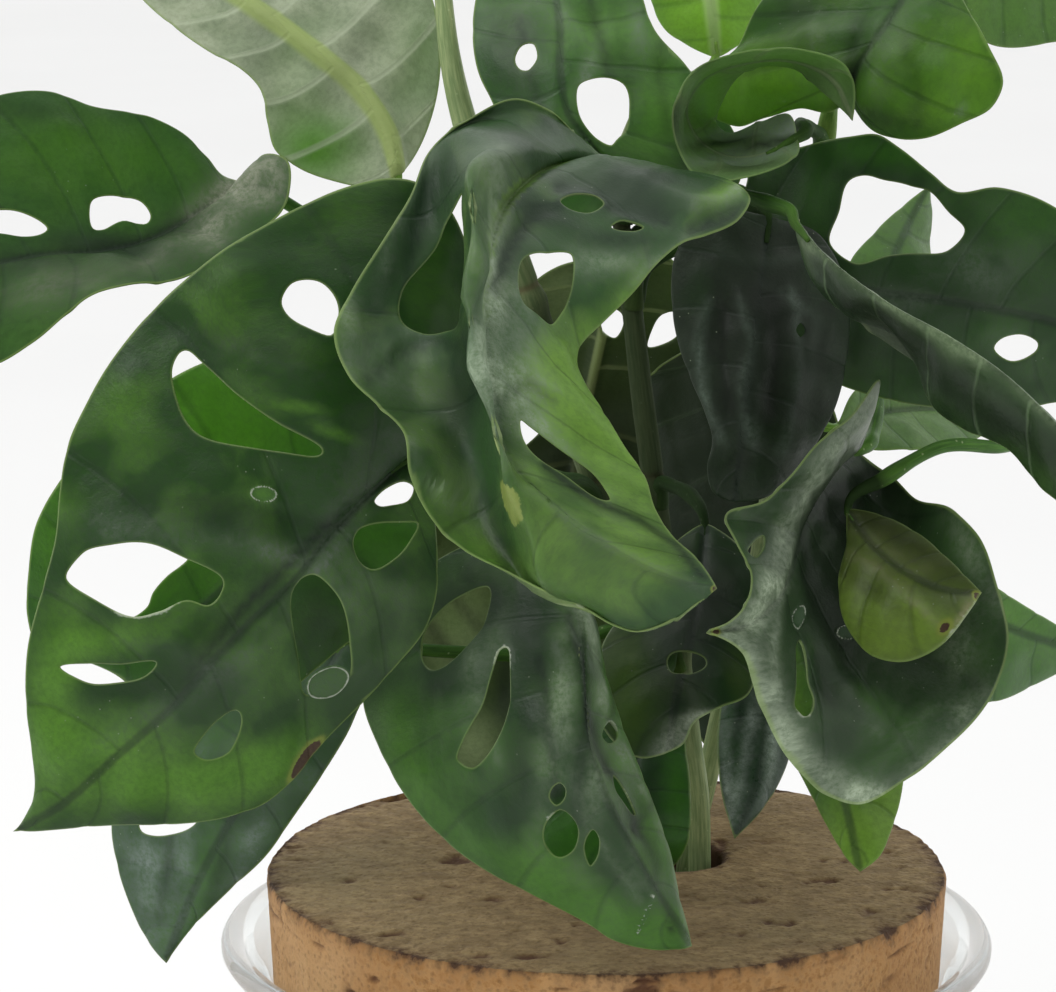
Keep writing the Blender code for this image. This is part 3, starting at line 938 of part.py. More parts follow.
def make_stem(name, stem, mats):
    """Returns the stem's axis and its radius, read finely."""
    path = [np.array(p) for p in stem["foot"]] + [sight(*p) for p in stem["rise"]]
    verts, faces = tube(path, stem["radii"], 8, 20)
    add(name, verts, faces, mats["stem"])
    fine, _ = tube(path, stem["radii"], 8, 160)
    rings = fine.reshape(160, 8, 3)
    axis = rings.mean(axis=1)
    return axis, np.linalg.norm(rings[:, 0] - axis, axis=1)


def make_jar(mats):
    """Blown glass jar: flat foot, full body, short neck and a rolled rim."""
    outer = [
        (0.0, 0.0),
        (FOOT_R, 0.0),
        (FOOT_R + 0.0060, 0.0014),
        (BODY_R - 0.0065, 0.0130),
        (BODY_R - 0.0012, 0.0330),
        (BODY_R, 0.0560),
        (BODY_R - 0.0022, 0.0800),
        (BODY_R - 0.0075, 0.0975),
        (NECK_R + 0.0012, 0.1090),
        (NECK_R, 0.1160),
        (NECK_R + 0.0010, 0.1215),
        (LIP_R - 0.0012, 0.1252),
        (LIP_R, LIP_Z),
        (LIP_R - 0.0012, LIP_Z + 0.0017),
        (LIP_R - 0.0030, LIP_Z + 0.0014),
    ]
    inner = [
        (NECK_R - GLASS + 0.0022, LIP_Z - 0.0020),
        (NECK_R - GLASS, 0.1190),
        (NECK_R - GLASS + 0.0002, 0.1110),
        (BODY_R - 0.0075 - GLASS, 0.0965),
        (BODY_R - 0.0022 - GLASS, 0.0790),
        (BODY_R - GLASS, 0.0560),
        (BODY_R - 0.0012 - GLASS, 0.0340),
        (BODY_R - 0.0070 - GLASS, 0.0160),
        (FOOT_R - 0.0010, FLOOR_THICK + 0.0008),
        (FOOT_R - 0.0120, FLOOR_THICK),
        (0.0, FLOOR_THICK),
    ]
    verts, faces = turned(outer + inner, 44)
    return add("glass_jar", verts, faces, mats["glass"])


def make_cork(mats):
    """Cork disc: a chamfered lid, a little narrower below, with the stem hole."""
    top, low = CORK_TOP_Z, CORK_TOP_Z - CORK_THICK
    profile = [
        (0.0, low),
        (CORK_FOOT_R - 0.0010, low),
        (CORK_FOOT_R, low + 0.0012),
        (CORK_TOP_R - 0.0003, top - 0.0040),
        (CORK_TOP_R, top - 0.0012),
        (CORK_TOP_R - 0.0010, top),
        (0.0, top),
    ]
    verts, faces = turned(profile, 44)
    cork = add("cork_lid", verts, faces, mats["cork"])
    hole = [(0.0, low - 0.01), (STEM_HOLE_R, low - 0.01), (STEM_HOLE_R, top + 0.01), (0.0, top + 0.01)]
    verts, faces = turned(hole, 16, STEM_HOLE)
    cut(cork, add("stem_hole_cutter", verts, faces, mats["cork"]))
    return cork


def make_water(mats):
    g = GLASS + GAP
    profile = [
        (0.0, FLOOR_THICK + GAP),
        (FOOT_R - 0.0125, FLOOR_THICK + GAP),
        (FOOT_R - 0.0018, FLOOR_THICK + 0.0014),
        (BODY_R - 0.0078 - g, 0.0166),
        (BODY_R - 0.0018 - g, 0.0345),
        (BODY_R - 0.0008 - g, 0.0560),
        (BODY_R - 0.0032 - g, WATER_Z - 0.0010),
        (BODY_R - 0.0042 - g, WATER_Z),
        (0.0, WATER_Z),
    ]
    verts, faces = turned(profile, 36)
    water = add("water", verts, faces, mats["water"])
    well = [(0.0, WELL_FLOOR), (WELL_R, WELL_FLOOR), (WELL_R, WATER_Z + 0.01), (0.0, WATER_Z + 0.01)]
    verts, faces = turned(well, 20, STEM_HOLE)
    cut(water, add("root_room_cutter", verts, faces, mats["water"]))
    return water


def make_roots(mats):
    """The mass of water roots under the cuttings: a lobed beard that widens,
    then draws together."""
    count, levels = 18, 9
    cx, cy = STEM_HOLE
    verts, faces = [], []
    for k in range(levels):
        q = k / (levels - 1)
        z = ROOT_TOP_Z + (ROOT_LOW_Z - ROOT_TOP_Z) * q
        r = 0.0078 + 0.0125 * math.sin(math.pi * min(1.0, q * 0.92 + 0.02)) ** 1.2
        r *= 1.0 - 0.45 * q**3
        for j in range(count):
            a = 2 * math.pi * j / count
            lobe = 1.0 + (0.04 + 0.14 * q) * math.cos(6 * a + 1.5 * q) + 0.05 * math.cos(2 * a - 1.0)
            verts.append((cx + r * lobe * math.cos(a), cy + r * lobe * math.sin(a), z))
    for k in range(levels - 1):
        for j in range(count):
            a, b = k * count + j, k * count + (j + 1) % count
            faces.append((a, a + count, b + count, b))
    faces.append(tuple(range(count)))
    faces.append(tuple((levels - 1) * count + j for j in range(count - 1, -1, -1)))
    return add("roots", verts, faces, mats["root"])


def main():
    clear_scene()
    mats = {
        "leaf_dark": material("leaf_dark", (0.030, 0.085, 0.022), 0.42),
        "leaf_mid": material("leaf_mid", (0.055, 0.150, 0.025), 0.42),
        "leaf_fresh": material("leaf_fresh", (0.085, 0.220, 0.030), 0.42),
        "leaf_dusty": material("leaf_dusty", (0.075, 0.120, 0.070), 0.50),
        "leaf_pale": material("leaf_pale", (0.190, 0.320, 0.120), 0.50),
        "leaf_under": material("leaf_under", (0.250, 0.360, 0.200), 0.55),
        "leaf_olive": material("leaf_olive", (0.120, 0.200, 0.035), 0.48),
        "leaf_new": material("leaf_new", (0.330, 0.520, 0.080), 0.42),
        "petiole": material("petiole", (0.130, 0.260, 0.050), 0.45),
        "stem": material("stem", (0.200, 0.330, 0.080), 0.48),
        "cork": material("cork", (0.380, 0.240, 0.130), 0.92),
        "glass": material("glass", (0.930, 0.960, 0.950), 0.04, alpha=0.35),
        "water": material("water", (0.860, 0.930, 0.920), 0.03, alpha=0.30),
        "root": material("root", (0.620, 0.540, 0.380), 0.70),
    }
    make_jar(mats)
    make_cork(mats)
    make_water(mats)
    make_roots(mats)
    stems = [make_stem(name, stem, mats) for name, stem in STEMS.items()]
    for name, leaf in LEAVES.items():
        blade = make_blade(name, leaf, mats)
        make_petiole(name.replace("leaf", "petiole"), leaf, blade, stems, mats)


main()
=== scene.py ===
"""Swiss cheese vine (Monstera adansonii) in a glass jar with a cork lid: looks.

Every blade is skinned again over the growth lines of its CAD plate, much finer,
with its midrib, side veins, quilting, rolled margins and marks as geometry."""

import math

import bpy
import numpy as np
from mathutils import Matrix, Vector, noise
from mathutils.geometry import delaunay_2d_cdt


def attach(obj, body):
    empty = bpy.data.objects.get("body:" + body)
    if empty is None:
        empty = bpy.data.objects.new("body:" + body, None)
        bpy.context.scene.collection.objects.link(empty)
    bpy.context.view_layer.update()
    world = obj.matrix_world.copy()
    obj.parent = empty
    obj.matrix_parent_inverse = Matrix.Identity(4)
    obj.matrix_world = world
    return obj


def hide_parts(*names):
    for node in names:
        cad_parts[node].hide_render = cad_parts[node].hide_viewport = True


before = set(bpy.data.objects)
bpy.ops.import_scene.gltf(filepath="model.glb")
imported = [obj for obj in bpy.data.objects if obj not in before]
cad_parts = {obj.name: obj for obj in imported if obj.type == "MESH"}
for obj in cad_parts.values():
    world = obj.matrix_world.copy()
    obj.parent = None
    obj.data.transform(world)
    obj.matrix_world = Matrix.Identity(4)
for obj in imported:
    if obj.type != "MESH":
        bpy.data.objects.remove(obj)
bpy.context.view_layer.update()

# ------------------------------------------------------------ shared geometry

CORK_TOP_R = 0.0600  # cork lid, radius of its upper face
CORK_FOOT_R = 0.0586
CORK_TOP_Z = 0.1405
CORK_THICK = 0.0280
STEM_HOLE_R = 0.0088  # the hole that the stems come through
STEM_HOLE = (0.0120, 0.0066)

LIP_R = 0.0680  # rolled rim of the jar
LIP_Z = 0.1275  # height of the widest part of the rim
NECK_R = 0.0628
BODY_R = 0.0760
FOOT_R = 0.0540
GLASS = 0.0033  # wall
FLOOR_THICK = 0.0060

WATER_Z = 0.0800
WELL_R = 0.0270  # room that the roots take in the water
WELL_FLOOR = 0.0140
ROOT_TOP_Z = 0.0700
ROOT_LOW_Z = 0.0190

GAP = 0.0003
STEM_R = 0.0021
PETIOLE_R = 0.00125

# the front elevation
VIEW_PITCH = math.radians(11.8)
VIEW_FOCAL = 3967.0
VIEW_CENTRE = (528.0, 496.0)
VIEW_RIGHT = np.array([1.0, 0.0, 0.0])
VIEW_AHEAD = np.array([0.0, math.cos(VIEW_PITCH), -math.sin(VIEW_PITCH)])
VIEW_UP = np.array([0.0, math.sin(VIEW_PITCH), math.cos(VIEW_PITCH)])
VIEW_DISTANCE = 0.700
EYE = np.array([0.0, 0.0, CORK_TOP_Z]) - VIEW_DISTANCE * (
    VIEW_AHEAD
    + VIEW_RIGHT * (606.0 - VIEW_CENTRE[0]) / VIEW_FOCAL
    - VIEW_UP * (864.0 - VIEW_CENTRE[1]) / VIEW_FOCAL
)

def sight(u, v, d):
    """The point at (u, v) of the elevation, d millimetres in front of the axis."""
    ray = (
        VIEW_AHEAD
        + VIEW_RIGHT * (u - VIEW_CENTRE[0]) / VIEW_FOCAL
        - VIEW_UP * (v - VIEW_CENTRE[1]) / VIEW_FOCAL
    )
    return EYE + ray * ((-d / 1000.0 - EYE[1]) / ray[1])


def elevation(points):
    """(u, v) of points, as columns."""
    rel = points - EYE
    far = rel @ VIEW_AHEAD
    return np.stack(
        [
            VIEW_CENTRE[0] + VIEW_FOCAL * (rel @ VIEW_RIGHT) / far,
            VIEW_CENTRE[1] - VIEW_FOCAL * (rel @ VIEW_UP) / far,
        ],
        axis=-1,
    )


# --------------------------------------------------------- curves and blades


def slopes(xs, ys):
    """Tangents of a smooth curve through ys at the knots xs (knots first)."""
    h = np.diff(xs).reshape((-1,) + (1,) * (ys.ndim - 1))
    step = np.diff(ys, axis=0) / h
    m = np.empty_like(ys)
    if len(xs) == 2:
        m[:] = step[0]
        return m
    m[1:-1] = (h[1:] * step[:-1] + h[:-1] * step[1:]) / (h[1:] + h[:-1])
    m[0] = 1.5 * step[0] - 0.5 * m[1]
    m[-1] = 1.5 * step[-1] - 0.5 * m[-2]
    return m


def blend(q, h, y0, y1, m0, m1):
    q2, q3 = q * q, q * q * q
    return (
        (2 * q3 - 3 * q2 + 1) * y0
        + (q3 - 2 * q2 + q) * h * m0
        + (3 * q2 - 2 * q3) * y1
        + (q3 - q2) * h * m1
    )


class Line:
    """A smooth curve through points, read by its share of length. A point may
    carry a fourth number, the share at which it is met."""

    def __init__(self, points):
        self.p = np.array([sight(*p[:3]) for p in points])
        along = np.concatenate(
            [[0], np.cumsum(np.linalg.norm(np.diff(self.p, axis=0), axis=1))]
        )
        self.c = along / along[-1]
        self.m = slopes(self.c, self.p)
        pins = [(0.0, 0.0)]
        pins += [(p[3], self.c[i]) for i, p in enumerate(points) if len(p) > 3]
        pins += [(1.0, 1.0)]
        self.ps = np.array([a for a, _ in pins])
        self.pc = np.array([b for _, b in pins])
        h, step = np.diff(self.ps), np.diff(self.pc) / np.diff(self.ps)
        self.pm = np.empty(len(pins))
        self.pm[0], self.pm[-1] = step[0], step[-1]
        for i in range(1, len(pins) - 1):
            w0, w1 = 2 * h[i] + h[i - 1], h[i] + 2 * h[i - 1]
            self.pm[i] = (w0 + w1) / (w0 / step[i - 1] + w1 / step[i])

    def at(self, s):
        s = np.clip(np.asarray(s, float), 0, 1)
        i = np.clip(np.searchsorted(self.ps, s, side="right") - 1, 0, len(self.ps) - 2)
        h = self.ps[i + 1] - self.ps[i]
        c = blend(
            (s - self.ps[i]) / h, h, self.pc[i], self.pc[i + 1], self.pm[i], self.pm[i + 1]
        )
        c = np.clip(c, 0, 1)
        j = np.clip(np.searchsorted(self.c, c, side="right") - 1, 0, len(self.c) - 2)
        h = (self.c[j + 1] - self.c[j])[..., None]
        q = (c[..., None] - self.c[j][..., None]) / h
        return blend(q, h, self.p[j], self.p[j + 1], self.m[j], self.m[j + 1])


def unit(v):
    return v / np.maximum(np.linalg.norm(v, axis=-1, keepdims=True), 1e-12)


class Blade:
    """A blade's middle surface, in s from base to tip and t from the left
    margin, -1, over the midrib, 0, to the right margin, 1, as seen on its
    upper face with the tip down."""

    def __init__(self, lines, arch=(0.06, 0.06), wave=(0.0, 3.0, 0.0)):
        self.lines = {t: Line(p) for t, p in lines.items()}
        self.sides = {
            sign: sorted((t for t in self.lines if t * sign >= 0), key=abs)
            for sign in (-1, 1)
        }
        self.arch, self.wave = arch, wave
        self.k = 1.0
        s = np.linspace(0, 1, 401)
        mid = self.lines[0].at(s)
        run = np.concatenate(
            [[0], np.cumsum(np.linalg.norm(np.diff(mid, axis=0), axis=1))]
        )
        self.run_s, self.run = s, run
        self.length = run[-1]
        while self.k > 0 and not self.opens():
            self.k -= 0.1

    def ahead(self, s):
        e = 4e-3
        a, b = np.clip(s - e, 0, 1), np.clip(s + e, 0, 1)
        return unit(self.lines[0].at(b) - self.lines[0].at(a))

    def at(self, s, t):
        s, t = np.asarray(s, float), np.asarray(t, float)
        out = np.empty(s.shape + (3,))
        for sign in (-1, 1):
            m = (t < 0) if sign < 0 else (t >= 0)
            if not m.any():
                continue
            ss, tt = s[m], np.abs(t[m])[:, None]
            ts = self.sides[sign]
            xs = np.abs(np.array(ts))
            rows = np.array([self.lines[k].at(ss) for k in ts])
            across = rows[-1] - rows[0]
            up = np.cross(self.ahead(ss), across * sign)
            wide = np.linalg.norm(across, axis=1, keepdims=True)
            up = unit(up)
            if len(ts) == 2:
                p = rows[0] + across * tt
                p += up * wide * self.arch[0 if sign < 0 else 1] * 4 * tt * (1 - tt)
            else:
                ms = slopes(xs, rows)
                i = np.clip(
                    np.searchsorted(xs, tt[:, 0], side="right") - 1, 0, len(xs) - 2
                )
                n = np.arange(len(ss))
                h = (xs[i + 1] - xs[i])[:, None]
                q = (tt - xs[i][:, None]) / h
                p = blend(
                    q, h, rows[i, n], rows[i + 1, n], ms[i, n], ms[i + 1, n]
                )
            high, turns, start = self.wave
            p += (
                up
                * high
                * tt**3
                * np.sin(2 * math.pi * (turns * ss[:, None] + start + 0.13 * sign))
                * np.sin(math.pi * np.clip(ss, 0, 1))[:, None]
            )
            out[m] = p
        return out

    def flat(self, s, t):
        """The blade laid flat: x across, y along the midrib."""
        s, t = np.asarray(s, float), np.asarray(t, float)
        xy = np.empty(s.shape + (2,))
        for sign in (-1, 1):
            m = (t < 0) if sign < 0 else (t >= 0)
            if not m.any():
                continue
            ss, tt = s[m], np.abs(t[m])
            rows = np.array([self.lines[k].at(ss) for k in self.sides[sign]])
            path = np.linalg.norm(np.diff(rows, axis=0), axis=2).sum(axis=0)
            across = rows[-1] - rows[0]
            wide = np.maximum(np.linalg.norm(across, axis=1), 1e-9)
            cos = self.k * (across * self.ahead(ss)).sum(axis=1) / wide
            cos = np.clip(cos, -0.97, 0.97)
            sin = np.sqrt(1 - cos * cos)
            xy[m, 0] = sign * sin * path * tt
            xy[m, 1] = np.interp(ss, self.run_s, self.run) + cos * path * tt
        return xy

    def opens(self):
        """True if the flat map never folds over itself."""
        s, t = np.meshgrid(np.linspace(0.004, 0.996, 120), np.linspace(-1, 1, 9))
        xy = self.flat(s.ravel(), t.ravel()).reshape(s.shape + (2,))
        ds = xy[:-1, 1:] - xy[:-1, :-1]
        dt = xy[1:, :-1] - xy[:-1, :-1]
        turn = dt[..., 0] * ds[..., 1] - dt[..., 1] * ds[..., 0]
        return bool((turn > 0).all())

    def find(self, u, v, side=(-1.0, 1.0)):
        """(s, t) of the blade point that lies at (u, v) of the elevation."""
        s, t = np.meshgrid(np.linspace(0.02, 0.98, 49), np.linspace(side[0], side[1], 33))
        s, t = s.ravel(), t.ravel()
        uv = elevation(self.at(s, t))
        best = np.argmin((uv[:, 0] - u) ** 2 + (uv[:, 1] - v) ** 2)
        p = np.array([s[best], t[best]])
        for _ in range(10):
            e = 1e-3
            q = np.array([p, p + (e, 0), p + (0, e if p[1] < side[1] - e else -e)])
            w = elevation(self.at(q[:, 0], q[:, 1]))
            jac = np.stack([(w[1] - w[0]) / e, (w[2] - w[0]) / (q[2, 1] - p[1])], axis=1)
            if abs(np.linalg.det(jac)) < 1e-6:
                break
            move = np.linalg.solve(jac, np.array([u, v]) - w[0])
            p = p + np.clip(move, -0.05, 0.05)
            p = np.array([np.clip(p[0], 0.01, 0.99), np.clip(p[1], *side)])
        return p


def ring(points, count):
    """A smooth closed curve through points, read at count places."""
    p = np.array(points, float)
    n = len(p)
    out = []
    for i in range(count):
        x = i * n / count
        j = int(x)
        q = x - j
        a, b, c, d = p[j - 1], p[j % n], p[(j + 1) % n], p[(j + 2) % n]
        out.append(
            0.5
            * (
                2 * b
                + (c - a) * q
                + (2 * a - 5 * b + 4 * c - d) * q * q
                + (3 * b - a - 3 * c + d) * q**3
            )
        )
    return np.array(out)


def inside(xy, loop):
    """For each point, whether it is inside the closed loop."""
    x, y = xy[:, 0][:, None], xy[:, 1][:, None]
    x0, y0 = loop[:, 0][None], loop[:, 1][None]
    x1, y1 = np.roll(loop[:, 0], -1)[None], np.roll(loop[:, 1], -1)[None]
    hit = ((y0 > y) != (y1 > y)) & (
        x < (x1 - x0) * (y - y0) / np.where(y1 == y0, 1e-12, y1 - y0) + x0
    )
    return hit.sum(axis=1) % 2 == 1


def margin_shares(blade, t, h):
    """Shares s along a margin, about h apart in space, ends left out."""
    s = np.linspace(0, 1, 801)
    p = blade.at(s, np.full_like(s, t))
    run = np.concatenate([[0], np.cumsum(np.linalg.norm(np.diff(p, axis=0), axis=1))])
    n = max(5, int(round(run[-1] / h)))
    return np.interp(np.arange(1, n) * run[-1] / n, run, s)


def slot(s, t, half_s, half_t):
    """(s, t) round an oval hole that leans towards the tip, as side veins do."""
    turn = np.arange(8) * math.pi / 4
    across = half_t * np.cos(turn)
    lean = 0.16 * across * np.sign(t)
    return np.stack([s + half_s * np.sin(turn) + lean, t + across], axis=1)


# ---------------------------------------------------------------- leaf table

# lines: growth lines, by t. holes: outlines on the elevation, each with the
# range of t that it lies in. slots: oval holes between the side veins, each as
# its middle (s, t) and its half sizes along s and t. stalk: the petiole's route
# from its stem to the blade, by elevation. tone: which leaf material it takes.
# h: spacing of the blade's mesh in millimetres.

ALL = (-1.0, 1.0)
LEFT = (-1.0, 0.0)
RIGHT = (0.0, 1.0)

LEAVES = {
    "leaf_01": dict(
        tone="dark",
        h=8.5,
        lines={
            0: [(422, 452, 58), (405, 461, 62), (385, 478, 66), (356, 507, 71), (316, 553, 76), (296, 579, 78), (258, 616, 81), (218, 656, 82), (172, 708, 82), (123, 751, 80), (57, 808, 76), (13, 831, 72)],
            -1: [(422, 452, 58), (448, 430, 57), (472, 380, 56), (478, 310, 56), (468, 250, 57), (445, 205, 58), (413, 182, 58), (392, 179, 59), (352, 186, 60, 0.2), (306, 204, 62), (268, 224, 64), (224, 250, 66), (191, 276, 68), (163, 301, 69), (128, 340, 70), (103, 375, 71, 0.46), (86, 406, 72), (69, 443, 73), (60, 490, 74), (55, 540, 75), (42, 592, 75), (28, 650, 75, 0.74), (26, 700, 75), (32, 750, 74), (34, 795, 73), (20, 825, 72), (13, 831, 72)],
            1: [(422, 452, 58), (436, 470, 60), (434, 500, 63), (437, 530, 66), (438, 559, 68, 0.14), (436, 593, 69), (425, 628, 70), (396, 665, 71), (362, 702, 72), (325, 740, 73, 0.42), (290, 782, 74), (262, 804, 75), (230, 815, 76, 0.62), (172, 823, 76), (115, 825, 75), (57, 829, 74), (13, 831, 72)],
        },
        arch=(0.05, 0.05),
        holes=[
            ([(281, 301), (290, 284), (306, 279), (323, 283), (336, 298), (339, 316), (331, 336), (305, 327), (288, 316)], LEFT),
            ([(172, 380), (176, 357), (188, 350), (207, 366), (240, 396), (280, 424), (321, 447), (312, 457), (262, 450), (212, 441), (186, 422)], LEFT),
            ([(66, 578), (82, 553), (112, 544), (150, 543), (186, 558), (221, 576), (221, 594), (208, 606), (186, 601), (160, 612), (130, 617), (95, 600)], LEFT),
            ([(60, 666), (88, 663), (120, 664), (156, 662), (138, 680), (98, 685), (73, 677)], LEFT),
            ([(374, 500), (386, 488), (402, 481), (414, 487), (410, 500), (392, 506), (379, 507)], (0.03, 0.9)),
            ([(194, 750), (212, 725), (234, 710), (242, 718), (238, 738), (227, 754), (206, 760)], RIGHT),
            ([(290, 605), (298, 582), (314, 574), (332, 588), (344, 608), (350, 642), (349, 676), (326, 690), (304, 694), (298, 660)], RIGHT),
            ([(353, 541), (362, 527), (388, 522), (419, 522), (411, 541), (394, 560), (373, 570), (358, 560)], RIGHT),
        ],
        stalk=[(600, 497, -9), (560, 478, 6), (500, 464, 32), (450, 456, 50)],
    ),
    "leaf_02": dict(
        tone="fresh",
        h=6.5,
        lines={
            0: [(611, 164, 45), (584, 160, 54), (560, 164, 62), (540, 172, 70), (522, 186, 77), (504, 206, 84), (492, 231, 90), (486, 256, 94), (484, 284, 97), (483, 318, 99), (487, 363, 102), (494, 405, 104), (503, 450, 105), (518, 473, 106), (541, 495, 106), (595, 537, 105), (662, 573, 101), (717, 589, 96)],
            -0.3: [(611, 164, 45), (580, 150, 55), (545, 144, 65), (508, 146, 77), (480, 156, 86), (469, 178, 92), (470, 206, 96), (473, 256, 99), (468, 310, 101), (473, 363, 104), (488, 402, 106), (500, 452, 107), (508, 490, 107), (528, 535, 107), (541, 578, 106), (590, 592, 104), (650, 598, 100), (717, 589, 96)],
            -0.42: [(611, 164, 45), (578, 143, 52), (540, 133, 59), (506, 134, 66), (480, 147, 73), (469, 176, 78), (471, 212, 82), (475, 262, 86), (470, 315, 89), (475, 365, 92), (489, 406, 94), (501, 455, 96), (509, 500, 98), (526, 543, 100), (539, 584, 102), (588, 602, 102), (652, 612, 99), (717, 589, 96)],
            -1: [(611, 164, 45), (590, 150, 48), (553, 113, 52), (517, 99, 56, 0.13), (470, 119, 62), (429, 153, 66), (411, 196, 69), (385, 239, 73), (351, 294, 76), (335, 330, 78, 0.5), (350, 376, 81), (382, 407, 84), (404, 432, 86), (410, 473, 88, 0.66), (428, 512, 91), (463, 549, 94), (511, 574, 98), (542, 589, 101, 0.8), (581, 604, 101), (611, 624, 100), (636, 632, 99), (662, 625, 98), (690, 607, 97), (717, 589, 96)],
            1: [(611, 164, 45), (650, 166, 48), (695, 176, 54), (728, 181, 59), (749, 196, 63, 0.15), (738, 220, 68), (704, 236, 73), (683, 242, 76), (660, 260, 79), (632, 293, 83, 0.31), (601, 324, 87), (582, 344, 89), (577, 360, 91, 0.43), (584, 382, 94), (603, 412, 97), (624, 446, 100), (645, 477, 101, 0.66), (655, 509, 102), (672, 536, 101), (696, 558, 99), (717, 589, 96)],
        },
        arch=(0.04, 0.04),
        holes=[
            ([(519, 266), (530, 254), (550, 252), (569, 253), (574, 264), (572, 290), (564, 311), (552, 325), (536, 314), (521, 300)], (0.06, 0.95)),
            ([(520, 420), (530, 426), (556, 446), (586, 467), (604, 486), (611, 500), (598, 499), (568, 478), (540, 460), (523, 440)], (0.04, 0.95)),
            ([(560, 201), (574, 194), (594, 195), (604, 204), (590, 213), (570, 210)], (0.04, 0.97)),
            ([(611, 226), (621, 220), (636, 222), (644, 227), (633, 231), (617, 230)], (0.04, 0.97)),
            ([(463, 194), (464, 215), (466, 250), (464, 290), (461, 322), (444, 333), (422, 334), (402, 322), (400, 298), (411, 277), (434, 250), (446, 224)], (-0.97, -0.44)),
        ],
        stalk=[(630, 292, 5), (646, 258, 10), (650, 215, 22), (634, 178, 36)],
    ),
    "leaf_03": dict(
        tone="dark",
        h=8.5,
        lines={
            0: [(555, 560, 60), (570, 585, 66), (580, 620, 71), (585, 663, 75), (591, 742, 79), (606, 795, 80), (632, 845, 79), (664, 900, 76), (692, 946, 72)],
            -1: [(555, 560, 60), (520, 545, 56), (470, 545, 52), (415, 580, 49), (375, 640, 49, 0.2), (363, 702, 53), (379, 747, 57), (413, 804, 62, 0.46), (452, 846, 65), (497, 877, 68), (540, 898, 70, 0.7), (582, 920, 71), (612, 940, 72), (645, 949, 72), (680, 949, 72), (692, 946, 72)],
            1: [(555, 560, 60), (575, 580, 62), (594, 618, 63), (606, 671, 64), (624, 733, 66), (647, 790, 68), (667, 846, 69), (678, 897, 71), (692, 946, 72)],
        },
        arch=(0.04, 0.0),
        holes=[
            ([(421, 655), (424, 634), (440, 612), (462, 596), (488, 587), (492, 600), (484, 625), (466, 648), (446, 666), (430, 670)], LEFT),
            ([(458, 760), (461, 745), (472, 722), (484, 700), (492, 672), (500, 650), (510, 652), (511, 690), (506, 722), (492, 750), (474, 768)], LEFT),
            ([(543, 833), (549, 818), (561, 809), (573, 817), (579, 833), (574, 850), (560, 858), (547, 850)], LEFT),
            ([(550, 797), (553, 787), (561, 782), (567, 789), (565, 799), (557, 805)], LEFT),
            ([(584, 850), (587, 836), (594, 829), (600, 840), (598, 856), (590, 866)], LEFT),
            ([(602, 737), (604, 727), (611, 721), (616, 729), (616, 740), (609, 744)], (0.06, 0.94)),
            ([(612, 776), (617, 781), (626, 796), (634, 814), (630, 814), (620, 801), (613, 789)], (0.05, 0.94)),
        ],
        stalk=[(625, 592, -12), (602, 580, 18), (576, 566, 44)],
    ),
    "leaf_04": dict(
        tone="dark",
        h=8.5,
        lines={
            0: [(858, 452, 30), (838, 468, 36), (817, 498, 43), (800, 540, 51), (786, 580, 59), (760, 616, 67), (735, 629, 71), (707, 632, 74)],
            -1: [(858, 452, 30), (870, 425, 36), (878, 380, 44), (848, 418, 50, 0.22), (815, 445, 54), (790, 475, 57), (766, 499, 59), (726, 515, 61, 0.5), (738, 545, 65), (752, 572, 68), (747, 604, 71), (730, 622, 73), (707, 632, 74)],
            0.5: [(858, 452, 30), (872, 478, 30), (886, 520, 32), (892, 565, 36), (888, 612, 42), (872, 655, 50), (840, 690, 59), (800, 688, 67), (768, 662, 72), (738, 640, 74), (707, 632, 74)],
            1: [(858, 452, 30), (872, 464, 30), (892, 477, 32), (916, 499, 36), (949, 508, 42), (977, 534, 46), (997, 590, 50), (1008, 635, 54), (985, 705, 60), (945, 748, 64), (905, 780, 68), (856, 804, 72), (826, 794, 74), (790, 760, 76), (765, 715, 77), (753, 684, 77), (742, 652, 76), (707, 632, 74)],
        },
        holes=[
            ([(748, 551), (753, 542), (763, 536), (764, 547), (757, 557)], (-0.97, -0.03)),
            ([(796, 655), (800, 640), (806, 650), (808, 680), (814, 700), (808, 716), (799, 714), (794, 700)], (0.04, 0.98)),
        ],
        stalk=[(800, 300, -8), (842, 325, -5), (874, 385, 5), (872, 436, 20)],
    ),
    "leaf_05": dict(
        tone="olive",
        h=8.5,
        lines={
            0: [(846, 508, 46), (872, 545, 52), (905, 572, 58), (940, 588, 62), (981, 592, 64)],
            1: [(846, 508, 46), (880, 515, 47), (912, 530, 50), (950, 560, 56), (981, 592, 64)],
            -1: [(846, 508, 46), (846, 545, 50), (838, 585, 55), (846, 625, 60), (870, 654, 63), (905, 661, 65), (938, 647, 66), (963, 620, 65), (981, 592, 64)],
        },
        arch=(0.1, 0.04),
        holes=[],
        stalk=[(806, 335, -9), (900, 345, -14), (1000, 392, -8), (1040, 428, 8), (1004, 446, 24), (934, 449, 37), (884, 478, 43)],
    ),
    "leaf_06": dict(
        tone="mid",
        h=9.5,
        lines={
            0: [(790, 600, 12), (800, 640, 17), (820, 705, 25), (840, 780, 35), (853, 838, 42), (860, 871, 45)],
            -1: [(790, 600, 12), (772, 622, 12), (764, 680, 16), (780, 735, 24), (805, 782, 31), (830, 830, 38), (847, 858, 43), (860, 871, 45)],
            1: [(790, 600, 12), (830, 610, 13), (880, 670, 19), (903, 730, 27), (902, 785, 34), (890, 832, 40), (877, 858, 44), (860, 871, 45)],
        },
        holes=[],
        stalk=[(752, 600, -14), (764, 586, -6), (780, 586, 5)],
    ),
    "leaf_07": dict(
        tone="pale",
        h=9.5,
        lines={
            0: [(900, 560, -5), (950, 595, -16), (1010, 628, -28), (1060, 645, -38), (1095, 652, -46)],
